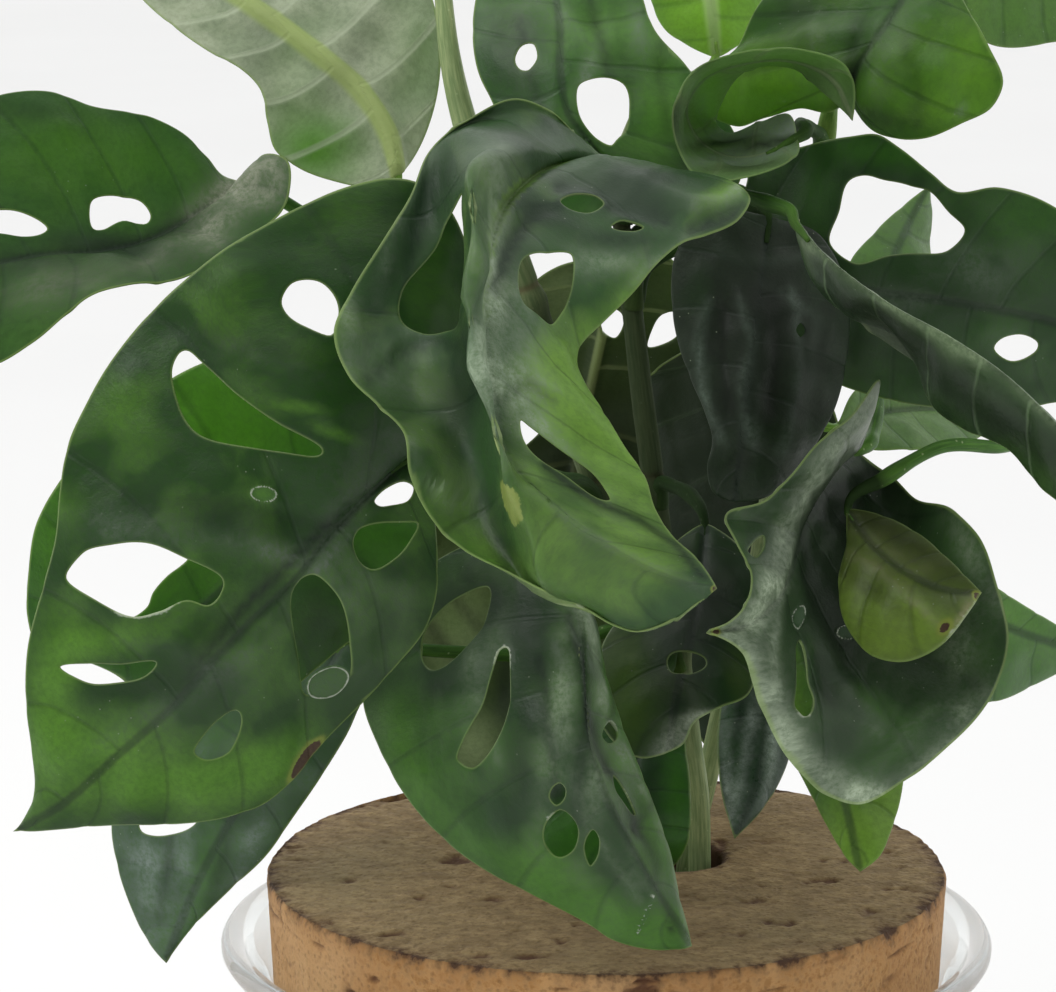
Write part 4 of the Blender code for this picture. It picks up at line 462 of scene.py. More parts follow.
            1: [(900, 560, -5), (945, 553, -12), (1000, 590, -24), (1056, 626, -38), (1095, 652, -46)],
            -1: [(900, 560, -5), (890, 630, -8), (925, 688, -14), (985, 702, -24), (1045, 678, -38), (1095, 652, -46)],
        },
        holes=[],
        slots=[(0.78, -0.44, 0.034, 0.22)],
        stalk=[(764, 530, -13), (815, 528, -14), (865, 545, -10)],
    ),
    "leaf_08": dict(
        tone="dusty",
        h=8.5,
        lines={
            0: [(795, 215, 48), (821, 250, 56), (855, 279, 62), (891, 304, 67), (949, 336, 72), (1001, 371, 75), (1056, 423, 77), (1112, 488, 76)],
            -1: [(795, 215, 48), (802, 255, 45), (822, 293, 46), (847, 315, 49), (895, 335, 55), (915, 362, 58), (931, 404, 61), (965, 428, 65), (1007, 446, 68), (1048, 492, 72), (1085, 512, 74), (1112, 488, 76)],
            1: [(795, 215, 48), (812, 262, 40), (855, 318, 36), (915, 360, 38), (985, 395, 42), (1045, 440, 48), (1092, 474, 60), (1112, 488, 76)],
        },
        arch=(0.08, 0.02),
        holes=[],
        stalk=[(621, 205, 3), (668, 192, 16), (725, 192, 34), (770, 204, 44)],
    ),
    "leaf_09": dict(
        tone="dark",
        h=9.5,
        lines={
            0: [(745, 192, 6), (790, 250, 10), (860, 288, 14), (940, 300, 17), (1010, 312, 17), (1070, 326, 15), (1135, 345, 10)],
            1: [(745, 192, 6), (752, 168, 6), (800, 148, 8), (850, 137, 10), (878, 135, 11), (899, 148, 12), (930, 173, 14), (955, 192, 15), (997, 188, 16), (1033, 197, 16), (1072, 220, 16), (1112, 272, 14), (1135, 345, 10)],
            -1: [(745, 192, 6), (735, 250, 5), (758, 320, 6), (820, 375, 9), (885, 398, 12), (950, 408, 14), (1020, 408, 14), (1085, 392, 12), (1135, 345, 10)],
        },
        arch=(0.04, 0.04),
        holes=[
            ([(829, 243), (838, 212), (849, 180), (883, 179), (910, 185), (938, 198), (965, 228), (950, 250), (922, 254), (890, 256), (855, 264)], RIGHT),
            ([(994, 350), (1002, 338), (1022, 334), (1038, 342), (1034, 354), (1012, 362)], LEFT),
        ],
        stalk=[(625, 245, 4), (672, 222, 0), (722, 200, 1)],
    ),
    "leaf_10": dict(
        tone="pale",
        h=9.5,
        lines={
            0: [(838, 428, -13), (868, 416, -20), (905, 410, -28), (950, 410, -37), (1000, 420, -46)],
            1: [(838, 428, -13), (850, 398, -18), (885, 376, -29), (930, 366, -39), (975, 384, -45), (1000, 420, -46)],
            -1: [(838, 428, -13), (862, 446, -13), (905, 449, -17), (955, 447, -28), (1000, 420, -46)],
        },
        holes=[],
        stalk=[(786, 400, -10), (808, 412, -13), (824, 426, -14)],
    ),
    "leaf_11": dict(
        tone="fresh",
        h=8.5,
        lines={
            0: [(850, 98, 30), (857, 67, 34), (880, 33, 36), (904, -3, 34), (920, -42, 27), (928, -78, 16)],
            -1: [(850, 98, 30), (873, 131, 34), (924, 138, 40), (961, 123, 43), (992, 106, 44), (1002, 86, 44, 0.36), (987, 44, 42), (963, 0, 37, 0.66), (944, -40, 28), (928, -78, 16)],
            1: [(850, 98, 30), (833, 111, 29), (800, 108, 25), (768, 117, 20), (734, 126, 15), (707, 112, 13), (704, 78, 14, 0.34), (738, 46, 17), (756, 8, 20), (790, -30, 19), (850, -66, 17, 0.78), (928, -78, 16)],
        },
        arch=(0.06, 0.06),
        holes=[],
        stalk=[(828, 117, -8), (836, 102, 4), (843, 95, 18)],
    ),
    "leaf_12": dict(
        tone="dusty",
        h=7.5,
        lines={
            0: [(797, 139, 37), (760, 158, 37), (722, 158, 36), (694, 138, 35), (684, 108, 34), (700, 80, 33), (745, 62, 34), (795, 60, 38), (834, 80, 42), (853, 120, 44)],
            -1: [(797, 139, 37), (795, 160, 45), (745, 178, 49), (700, 180, 50), (678, 148, 50), (674, 108, 49), (692, 74, 47), (745, 52, 46), (800, 50, 46), (846, 68, 46), (853, 120, 44)],
            1: [(797, 139, 37), (792, 118, 35), (758, 123, 29), (724, 132, 24), (714, 120, 22), (722, 102, 22), (734, 82, 25), (752, 68, 29), (796, 68, 34), (824, 92, 39), (853, 120, 44)],
        },
        arch=(0.0, 0.0),
        holes=[],
        stalk=[(824, 147, -9), (812, 130, -2), (803, 125, 10), (800, 126, 24)],
    ),
    "leaf_13": dict(
        tone="pale",
        h=9.5,
        lines={
            0: [(930, -42, -34), (980, -30, -38), (1040, -20, -43), (1095, -8, -48), (1135, 6, -50)],
            1: [(930, -42, -34), (950, -88, -38), (1010, -108, -44), (1080, -80, -48), (1135, 6, -50)],
            -1: [(930, -42, -34), (950, 12, -32), (989, 43, -35), (1056, 41, -42), (1105, 28, -48), (1135, 6, -50)],
        },
        holes=[],
        slots=[(0.35, 0.50, 0.050, 0.26), (0.54, 0.48, 0.045, 0.24), (0.68, -0.46, 0.040, 0.22)],
        stalk=[(829, 118, -9), (840, 60, -20), (880, 0, -30), (912, -34, -33)],
    ),
    "leaf_14": dict(
        tone="new",
        h=8.5,
        lines={
            0: [(716, 58, -4), (713, 22, -2), (708, -22, -4), (702, -64, -10), (698, -100, -18)],
            1: [(716, 58, -4), (694, 48, -6), (665, 28, -9), (650, -8, -12), (655, -55, -15), (698, -100, -18)],
            -1: [(716, 58, -4), (738, 46, -6), (758, 20, -9), (762, -15, -12), (742, -62, -15), (698, -100, -18)],
        },
        holes=[],
        stalk=[(636, 112, -5), (662, 92, -8), (694, 78, -7)],
    ),
    "leaf_15": dict(
        tone="fresh",
        h=8.5,
        lines={
            0: [(603, 158, 15), (590, 142, 16), (568, 112, 16), (560, 70, 14), (560, 30, 9), (552, -20, 1), (535, -70, -10)],
            1: [(603, 158, 15), (610, 196, 17), (584, 224, 18), (550, 216, 17), (520, 172, 15), (500, 118, 12), (478, 66, 8, 0.42), (474, 20, 4), (486, -30, -2), (535, -70, -10)],
            -1: [(603, 158, 15), (640, 170, 14), (690, 182, 13), (738, 184, 11), (740, 150, 9), (716, 105, 9), (688, 68, 9, 0.45), (655, 32, 7), (638, -10, 3), (600, -50, -4), (535, -70, -10)],
        },
        arch=(0.06, 0.06),
        holes=[
            ([(576, 96), (582, 82), (604, 77), (625, 85), (630, 112), (622, 136), (611, 146), (595, 138), (582, 122)], LEFT),
            ([(515, 60), (522, 46), (534, 44), (538, 58), (530, 70), (520, 70)], RIGHT),
        ],
        stalk=[(625, 168, -1), (617, 166, 4), (609, 163, 10)],
    ),
    "leaf_16": dict(
        tone="under",
        h=9.5,
        lines={
            0: [(395, 178, -8), (383, 128, -11), (357, 89, -13), (306, 46, -15), (242, 0, -19), (180, -45, -25), (130, -82, -32)],
            1: [(395, 178, -8), (408, 165, -11), (433, 110, -15), (440, 50, -18), (432, 0, -20), (400, -52, -25), (330, -92, -31), (220, -108, -35), (130, -82, -32)],
            -1: [(395, 178, -8), (372, 190, -6), (344, 184, -5), (300, 168, -5), (276, 150, -6), (268, 122, -8), (260, 88, -10), (240, 68, -11), (217, 56, -12), (179, 31, -15), (143, 0, -19), (118, -40, -26), (130, -82, -32)],
        },
        arch=(0.05, 0.05),
        holes=[],
        stalk=[(532, 302, -7), (500, 282, -14), (440, 232, -17), (405, 196, -12)],
    ),
    "leaf_17": dict(
        tone="mid",
        h=9.5,
        lines={
            0: [(244, 182, -5), (200, 212, 1), (150, 240, 6), (99, 252, 10), (48, 254, 14), (0, 262, 17), (-60, 276, 18), (-130, 302, 16)],
            -1: [(244, 182, -5), (222, 176, -6), (207, 158, -8), (184, 135, -11), (153, 119, -13), (89, 106, -15), (56, 93, -16), (0, 96, -15), (-50, 120, -10), (-95, 180, -2), (-122, 250, 8), (-130, 302, 16)],
            1: [(244, 182, -5), (262, 156, -5), (286, 160, -1), (284, 208, 6), (245, 240, 13), (179, 278, 20), (128, 284, 26), (99, 292, 28), (33, 342, 32), (0, 362, 33), (-50, 372, 30), (-100, 346, 24), (-130, 302, 16)],
        },
        arch=(0.05, 0.03),
        holes=[
            ([(89, 212), (94, 198), (118, 195), (140, 200), (151, 214), (146, 224), (124, 221), (104, 230), (92, 228)], LEFT),
            ([(-30, 214), (-6, 208), (26, 213), (48, 228), (30, 236), (-8, 232), (-30, 226)], LEFT),
        ],
        stalk=[(551, 352, -8), (470, 322, -17), (380, 268, -18), (310, 218, -16), (268, 192, -12)],
    ),
    "leaf_18": dict(
        tone="mid",
        h=9.5,
        lines={
            0: [(345, 640, 10), (310, 695, 13), (270, 758, 15), (225, 830, 14), (190, 900, 10), (166, 963, 4)],
            1: [(345, 640, 10), (366, 672, 12), (352, 722, 14), (328, 765, 16), (293, 817, 16), (267, 854, 15), (230, 889, 12), (186, 934, 7), (166, 963, 4)],
            -1: [(345, 640, 10), (300, 622, 2), (240, 650, -2), (170, 710, -2), (125, 780, 0), (112, 826, 1), (115, 856, 2), (134, 912, 4), (152, 946, 4), (166, 963, 4)],
        },
        holes=[],
        slots=[(0.62, -0.46, 0.040, 0.24)],
        stalk=[(641, 640, -12), (560, 652, -12), (455, 652, -5), (380, 645, 5)],
    ),
    "leaf_19": dict(
        tone="fresh",
        h=9.5,
        lines={
            0: [(338, 442, 26), (304, 496, 30), (244, 568, 35), (168, 630, 39), (95, 650, 41), (32, 636, 42)],
            -1: [(338, 442, 26), (338, 395, 24), (310, 362, 25), (260, 352, 28), (205, 363, 31), (172, 379, 33), (120, 420, 36), (60, 482, 40), (37, 524, 41), (29, 573, 42), (27, 610, 42), (32, 636, 42)],
            1: [(338, 442, 26), (352, 470, 24), (368, 502, 23), (405, 514, 22), (431, 542, 22), (414, 592, 23), (345, 645, 26), (285, 692, 30), (210, 712, 35), (150, 702, 38), (112, 672, 40), (75, 656, 41), (32, 636, 42)],
        },
        arch=(0.04, 0.04),
        holes=[
            ([(61, 560), (82, 538), (118, 528), (162, 531), (190, 542), (188, 560), (168, 576), (154, 592), (147, 608), (126, 622), (96, 628), (74, 618), (62, 592)], LEFT),
        ],
        stalk=[(572, 418, -8), (490, 422, -2), (410, 430, 13), (362, 437, 22)],
    ),
    "leaf_20": dict(
        tone="mid",
        h=7.5,
        lines={
            0: [(650, 690, 12), (641, 735, 18), (634, 785, 23), (640, 830, 26), (674, 866, 24)],
            -1: [(650, 690, 12), (606, 714, 14), (562, 760, 20), (541, 808, 26), (546, 852, 31), (590, 880, 33), (640, 882, 29), (674, 866, 24)],
            1: [(650, 690, 12), (676, 712, 16), (687, 760, 20), (690, 805, 24), (687, 842, 25), (674, 866, 24)],
        },
        holes=[],
        stalk=[(678, 654, -2), (668, 664, 1), (656, 676, 7)],
    ),
    "leaf_21": dict(
        tone="dark",
        h=8.5,
        lines={
            0: [(705, 522, 22), (700, 580, 30), (690, 640, 38), (676, 700, 44), (668, 752, 46)],
            -1: [(705, 522, 22), (668, 548, 24), (632, 600, 28), (600, 652, 33), (594, 702, 38), (614, 742, 43), (642, 758, 46), (668, 752, 46)],
            1: [(705, 522, 22), (744, 552, 26), (761, 610, 32), (758, 665, 38), (747, 695, 42), (716, 709, 45), (694, 722, 46), (682, 744, 46), (668, 752, 46)],
        },
        holes=[
            ([(667, 664), (672, 654), (688, 651), (704, 658), (705, 668), (690, 675), (674, 674)], (-0.9, 0.9)),
        ],
        stalk=[(655, 492, 4), (672, 486, 8), (694, 500, 16)],
    ),
    "leaf_22": dict(
        tone="dusty",
        h=8.5,
        lines={
            0: [(770, 622, 4), (770, 690, 10), (764, 750, 16), (752, 800, 20), (735, 838, 22)],
            -1: [(770, 622, 4), (736, 650, 5), (722, 700, 10), (718, 750, 15), (724, 802, 19), (735, 838, 22)],
            1: [(770, 622, 4), (800, 660, 5), (802, 712, 8), (788, 760, 13), (765, 806, 18), (735, 838, 22)],
        },
        holes=[],
        stalk=[(738, 660, -14), (750, 640, -10), (764, 617, -1)],
    ),
    "leaf_23": dict(
        tone="dark",
        h=8.5,
        lines={
            0: [(770, 217, 22), (762, 280, 27), (752, 350, 31), (742, 430, 33), (735, 502, 30)],
            -1: [(770, 217, 22), (722, 222, 22), (692, 258, 24), (680, 306, 26), (681, 345, 27), (691, 378, 29), (705, 410, 31), (713, 442, 32), (708, 468, 33), (714, 492, 32), (735, 502, 30)],
            1: [(770, 217, 22), (815, 232, 19), (845, 290, 19), (850, 350, 20), (828, 420, 23), (795, 470, 27), (765, 497, 30), (735, 502, 30)],
        },
        arch=(0.06, 0.06),
        holes=[
            ([(796, 330), (801, 322), (807, 330), (802, 338)], RIGHT),
        ],
        stalk=[(631, 284, 5), (688, 242, 6), (728, 216, 12)],
    ),
    "leaf_24": dict(
        tone="pale",
        h=8.5,
        lines={
            0: [(880, 332, -24), (888, 292, -26), (893, 262, -29), (908, 226, -34), (929, 186, -40)],
            1: [(880, 332, -24), (852, 306, -26), (848, 270, -29), (874, 234, -33), (905, 205, -37), (929, 186, -40)],
            -1: [(880, 332, -24), (924, 312, -34), (932, 275, -40), (931, 240, -42), (932, 208, -42), (929, 186, -40)],
        },
        holes=[],
        stalk=[(794, 345, -9), (830, 352, -20), (864, 344, -24)],
    ),
    "leaf_25": dict(
        tone="under",
        h=9.5,
        lines={
            0: [(615, 258, -27), (603, 330, -44), (588, 400, -56), (574, 480, -64), (565, 570, -67), (562, 660, -64), (566, 735, -56), (574, 782, -43)],
            1: [(615, 258, -27), (570, 262, -32), (505, 310, -42), (452, 390, -52), (424, 480, -60), (412, 560, -62), (410, 640, -60), (428, 724, -53), (478, 776, -44), (574, 782, -43)],
            -1: [(615, 258, -27), (652, 250, -30), (690, 280, -34), (704, 350, -42), (700, 430, -52), (690, 520, -60), (680, 610, -62), (662, 700, -56), (628, 758, -49), (574, 782, -43)],
        },
        holes=[
            ([(600, 316), (607, 309), (620, 311), (624, 324), (616, 338), (606, 334)], (-0.95, 0.95)),
            ([(647, 346), (655, 322), (667, 311), (680, 314), (679, 334), (662, 345)], (-0.97, -0.03)),
        ],
        slots=[(0.28, 0.50, 0.040, 0.27), (0.42, 0.50, 0.040, 0.28)],
        stalk=[(558, 376, -8), (578, 332, -15), (600, 290, -22)],
    ),
    "leaf_26": dict(
        tone="under",
        h=9.5,
        lines={
            0: [(722, 335, -30), (738, 392, -45), (756, 462, -56), (766, 542, -62), (766, 622, -62), (756, 700, -56), (738, 772, -46)],
            1: [(722, 335, -30), (680, 352, -34), (646, 380, -38), (641, 412, -41), (652, 452, -45), (656, 520, -50), (664, 610, -54), (680, 690, -52), (706, 745, -48), (738, 772, -46)],
            -1: [(722, 335, -30), (778, 338, -36), (826, 392, -46), (848, 472, -54), (852, 560, -58), (842, 640, -58), (815, 710, -54), (776, 758, -49), (738, 772, -46)],
        },
        holes=[],
        slots=[(0.36, -0.52, 0.040, 0.27), (0.50, -0.52, 0.040, 0.28), (0.64, -0.50, 0.036, 0.24)],
        stalk=[(786, 388, -10), (764, 350, -17), (738, 330, -25)],
    ),
}

# Stems, from the foot in the water to the growing tip. The first points are in
# metres; the rest are on the elevation.
STEMS = {
    "stem_1": dict(
        foot=[(0.0152, 0.0050, ROOT_TOP_Z + 0.0006), (0.0160, 0.0055, 0.100), (0.0167, 0.0058, 0.1405)],
        rise=[(698, 800, -6), (690, 740, -6), (678, 650, -3), (664, 560, 1), (652, 470, 4), (640, 380, 5), (630, 290, 4), (621, 210, 1), (626, 150, -3), (636, 112, -5)],
        radii=[0.0022, 0.0021, 0.0020, 0.0019, 0.0015],
    ),
    "stem_2": dict(
        foot=[(0.0082, 0.0050, ROOT_TOP_Z + 0.0006), (0.0080, 0.0051, 0.100), (0.0080, 0.0056, 0.1405)],
        rise=[(653, 795, -8), (646, 700, -11), (628, 600, -12), (600, 500, -10), (566, 400, -8), (530, 300, -7), (495, 205, -5), (464, 120, -3), (449, 50, -3), (443, -10, -5), (438, -75, -9)],
        radii=[0.0021, 0.0021, 0.0021, 0.0022, 0.0026, 0.0012],
    ),
    "stem_3": dict(
        foot=[(0.0142, 0.0104, ROOT_TOP_Z + 0.0006), (0.0148, 0.0106, 0.100), (0.0153, 0.0110, 0.1405)],
        rise=[(703, 795, -13), (727, 690, -14), (752, 600, -14), (770, 500, -12), (785, 400, -10), (800, 300, -9), (814, 210, -9), (824, 150, -9), (828, 112, -9)],
        radii=[0.0020, 0.0020, 0.0019, 0.0018, 0.0014],
    ),
}


# --------------------------------------------------------------- small helpers


def lin(text):
    """A colour as the eye names it, #rrggbb, as linear light."""
    out = []
    for i in (1, 3, 5):
        c = int(text[i : i + 2], 16) / 255.0
        out.append(c / 12.92 if c <= 0.04045 else ((c + 0.055) / 1.055) ** 2.4)
    return tuple(out)


def smooth(a, b, x):
    q = np.clip((x - a) / (b - a), 0.0, 1.0)
    return q * q * (3 - 2 * q)


def wobble(points, scale, seed):
    """Smooth noise, -1 to 1, at each point."""
    out = np.empty(len(points))
    for i, p in enumerate(points):
        out[i] = noise.noise((p[0] * scale + seed, p[1] * scale - seed, p[2] * scale + 0.7 * seed))
    return out


def new_object(name, verts, tris, mat, quads=None, attrs=None, smooth_shade=True):
    mesh = bpy.data.meshes.new(name)
    verts = np.asarray(verts, np.float32)
    mesh.vertices.add(len(verts))
    mesh.vertices.foreach_set("co", verts.ravel())
    loops = []
    sizes = []
    if tris is not None and len(tris):
        loops.append(np.asarray(tris, np.int32).ravel())
        sizes.append(np.full(len(tris), 3, np.int32))
    if quads is not None and len(quads):
        loops.append(np.asarray(quads, np.int32).ravel())
        sizes.append(np.full(len(quads), 4, np.int32))
    loops, sizes = np.concatenate(loops), np.concatenate(sizes)
    mesh.loops.add(len(loops))
    mesh.loops.foreach_set("vertex_index", loops)
    mesh.polygons.add(len(sizes))
    mesh.polygons.foreach_set("loop_start", np.concatenate([[0], np.cumsum(sizes)[:-1]]).astype(np.int32))
    mesh.polygons.foreach_set("loop_total", sizes)
    mesh.update(calc_edges=True)
    for key, values in (attrs or {}).items():
        values = np.asarray(values, np.float32)
        if values.ndim == 1:
            mesh.attributes.new(key, "FLOAT", "POINT").data.foreach_set("value", values)
        else:
            mesh.attributes.new(key, "FLOAT_VECTOR", "POINT").data.foreach_set("vector", values.ravel())
    if smooth_shade:
        mesh.shade_smooth()
    mesh.materials.append(mat)
    ob = bpy.data.objects.new(name, mesh)
    bpy.context.scene.collection.objects.link(ob)
    return ob


def grid_quads(rows, count, closed=True):
    """Faces between rings of count points each."""
    j = np.arange(count if closed else count - 1)
    k = (j + 1) % count
    out = []
    for r in range(rows - 1):
        a, b = r * count, (r + 1) * count
        out.append(np.stack([a + j, a + k, b + k, b + j], axis=1))
    return np.concatenate(out)


class Nodes:
    """Short hand for a material's node tree."""

    def __init__(self, name):
        self.mat = bpy.data.materials.new(name)
        self.mat.use_nodes = True
        self.tree = self.mat.node_tree
        self.tree.nodes.clear()
        self.out = self.tree.nodes.new("ShaderNodeOutputMaterial")

    def new(self, kind, values=None, **props):
        node = self.tree.nodes.new(kind)
        for key, value in props.items():
            setattr(node, key, value)
        for key, value in (values or {}).items():
            self.put(node, key, value)
        return node

    def put(self, node, key, value):
        socket = node.inputs[key]
        if isinstance(value, bpy.types.NodeSocket):
            self.tree.links.new(value, socket)
        elif isinstance(value, (tuple, list)) and len(value) == 3 and socket.type == "RGBA":
            socket.default_value = (*value, 1.0)
        else:
            socket.default_value = value

    def attr(self, name, vector=False):
        node = self.new("ShaderNodeAttribute", attribute_name=name)
        return node.outputs["Vector" if vector else "Fac"]

    def math(self, op, a, b=0.5, c=0.5, clamp=False):
        node = self.new("ShaderNodeMath", operation=op, use_clamp=clamp)
        self.put(node, 0, a)
        self.put(node, 1, b)
        if op in ("MULTIPLY_ADD", "SMOOTH_MIN", "SMOOTH_MAX", "COMPARE"):
            self.put(node, 2, c)
        return node.outputs[0]

    def ramp(self, value, low, high, to_low=0.0, to_high=1.0):
        node = self.new("ShaderNodeMapRange", interpolation_type="SMOOTHSTEP", clamp=True)
        self.put(node, "Value", value)
        for key, x in (("From Min", low), ("From Max", high), ("To Min", to_low), ("To Max", to_high)):
            self.put(node, key, x)
        return node.outputs["Result"]

    def mix(self, fac, a, b, blend="MIX"):
        node = self.new("ShaderNodeMix", data_type="RGBA", blend_type=blend, clamp_factor=True)
        self.put(node, 0, fac)
        for index, value in ((6, a), (7, b)):
            if isinstance(value, bpy.types.NodeSocket):
                self.tree.links.new(value, node.inputs[index])
            else:
                node.inputs[index].default_value = (*value, 1.0)
        return node.outputs[2]

    def noise(self, vector, scale, detail=3.0, rough=0.55, distort=0.0):
        node = self.new("ShaderNodeTexNoise", noise_dimensions="3D")
        self.put(node, "Vector", vector)
        for key, value in (("Scale", scale), ("Detail", detail), ("Roughness", rough), ("Distortion", distort)):
            self.put(node, key, value)
        return node.outputs[0]

    def bump(self, height, strength, distance, normal=None):
        node = self.new("ShaderNodeBump")
        self.put(node, "Height", height)
        self.put(node, "Strength", strength)
        self.put(node, "Distance", distance)
        if normal is not None:
            self.put(node, "Normal", normal)
        return node.outputs[0]

    def shader(self, **values):
        node = self.new("ShaderNodeBsdfPrincipled")
        for key, value in values.items():
            self.put(node, key.replace("_", " "), value)
        return node

    def finish(self, socket):
        self.tree.links.new(socket, self.out.inputs["Surface"])
        return self.mat


# ------------------------------------------------------------- the fine blades

H = 1.15e-3  # spacing inside a blade
RIM = 0.62e-3  # spacing along margins
BAND = 0.42e-3  # width of the pale line along a margin
THICK = 0.36e-3


def loop_distance(xy, loops):
    """Distance of each point to the nearest loop."""
    best = np.full(len(xy), 1e9)
    for loop in loops:
        a, b = loop, np.roll(loop, -1, axis=0)
        ab = b - a
        size = np.maximum((ab**2).sum(axis=1), 1e-16)
        for i in range(0, len(xy), 1500):
            p = xy[i : i + 1500]
            q = ((p[:, None] - a[None]) * ab[None]).sum(axis=2) / size
            near = a[None] + np.clip(q, 0, 1)[..., None] * ab[None]
            d = np.sqrt(((p[:, None] - near) ** 2).sum(axis=2)).min(axis=1)
            best[i : i + 1500] = np.minimum(best[i : i + 1500], d)
    return best


def offset_loop(blade, st, flat, step, outward):
    """(s, t) of points moved by step off a loop, away from the hole or into the
    blade, by the flat map."""
    turn = np.roll(flat, -1, axis=0) - np.roll(flat, 1, axis=0)
    area = 0.5 * np.sum(
        flat[:, 0] * np.roll(flat[:, 1], -1) - np.roll(flat[:, 0], -1) * flat[:, 1]
    )
    side = unit(np.stack([turn[:, 1], -turn[:, 0]], axis=1)) * (1 if area > 0 else -1)
    if not outward:
        side = -side
    e = 2e-3
    s = np.clip(st[:, 0], e, 1 - e)
    t = np.clip(st[:, 1], -1 + e, 1 - e)
    fs = (blade.flat(s + e, t) - blade.flat(s - e, t)) / (2 * e)
    tt = np.where(np.abs(t) < 2 * e, np.where(t < 0, -2 * e, 2 * e), t)
    ft = (blade.flat(s, tt + e * 0.9) - blade.flat(s, tt - e * 0.9)) / (1.8 * e)
    det = fs[:, 0] * ft[:, 1] - fs[:, 1] * ft[:, 0]
    det = np.where(np.abs(det) < 1e-9, 1e-9, det)
    move = side * step
    ds = (move[:, 0] * ft[:, 1] - move[:, 1] * ft[:, 0]) / det
    dt = (fs[:, 0] * move[:, 1] - fs[:, 1] * move[:, 0]) / det
    out = st + np.stack([np.clip(ds, -0.04, 0.04), np.clip(dt, -0.25, 0.25)], axis=1)
    return np.clip(out, (0.001, -0.999), (0.999, 0.999))


def half_widths(blade):
    """Path width of each side of the blade, in metres, along s."""
    s = np.linspace(0, 1, 201)
    out = {}
    for sign in (-1, 1):
        rows = np.array([blade.lines[k].at(s) for k in blade.sides[sign]])
        out[sign] = np.linalg.norm(np.diff(rows, axis=0), axis=2).sum(axis=0)
    return s, out


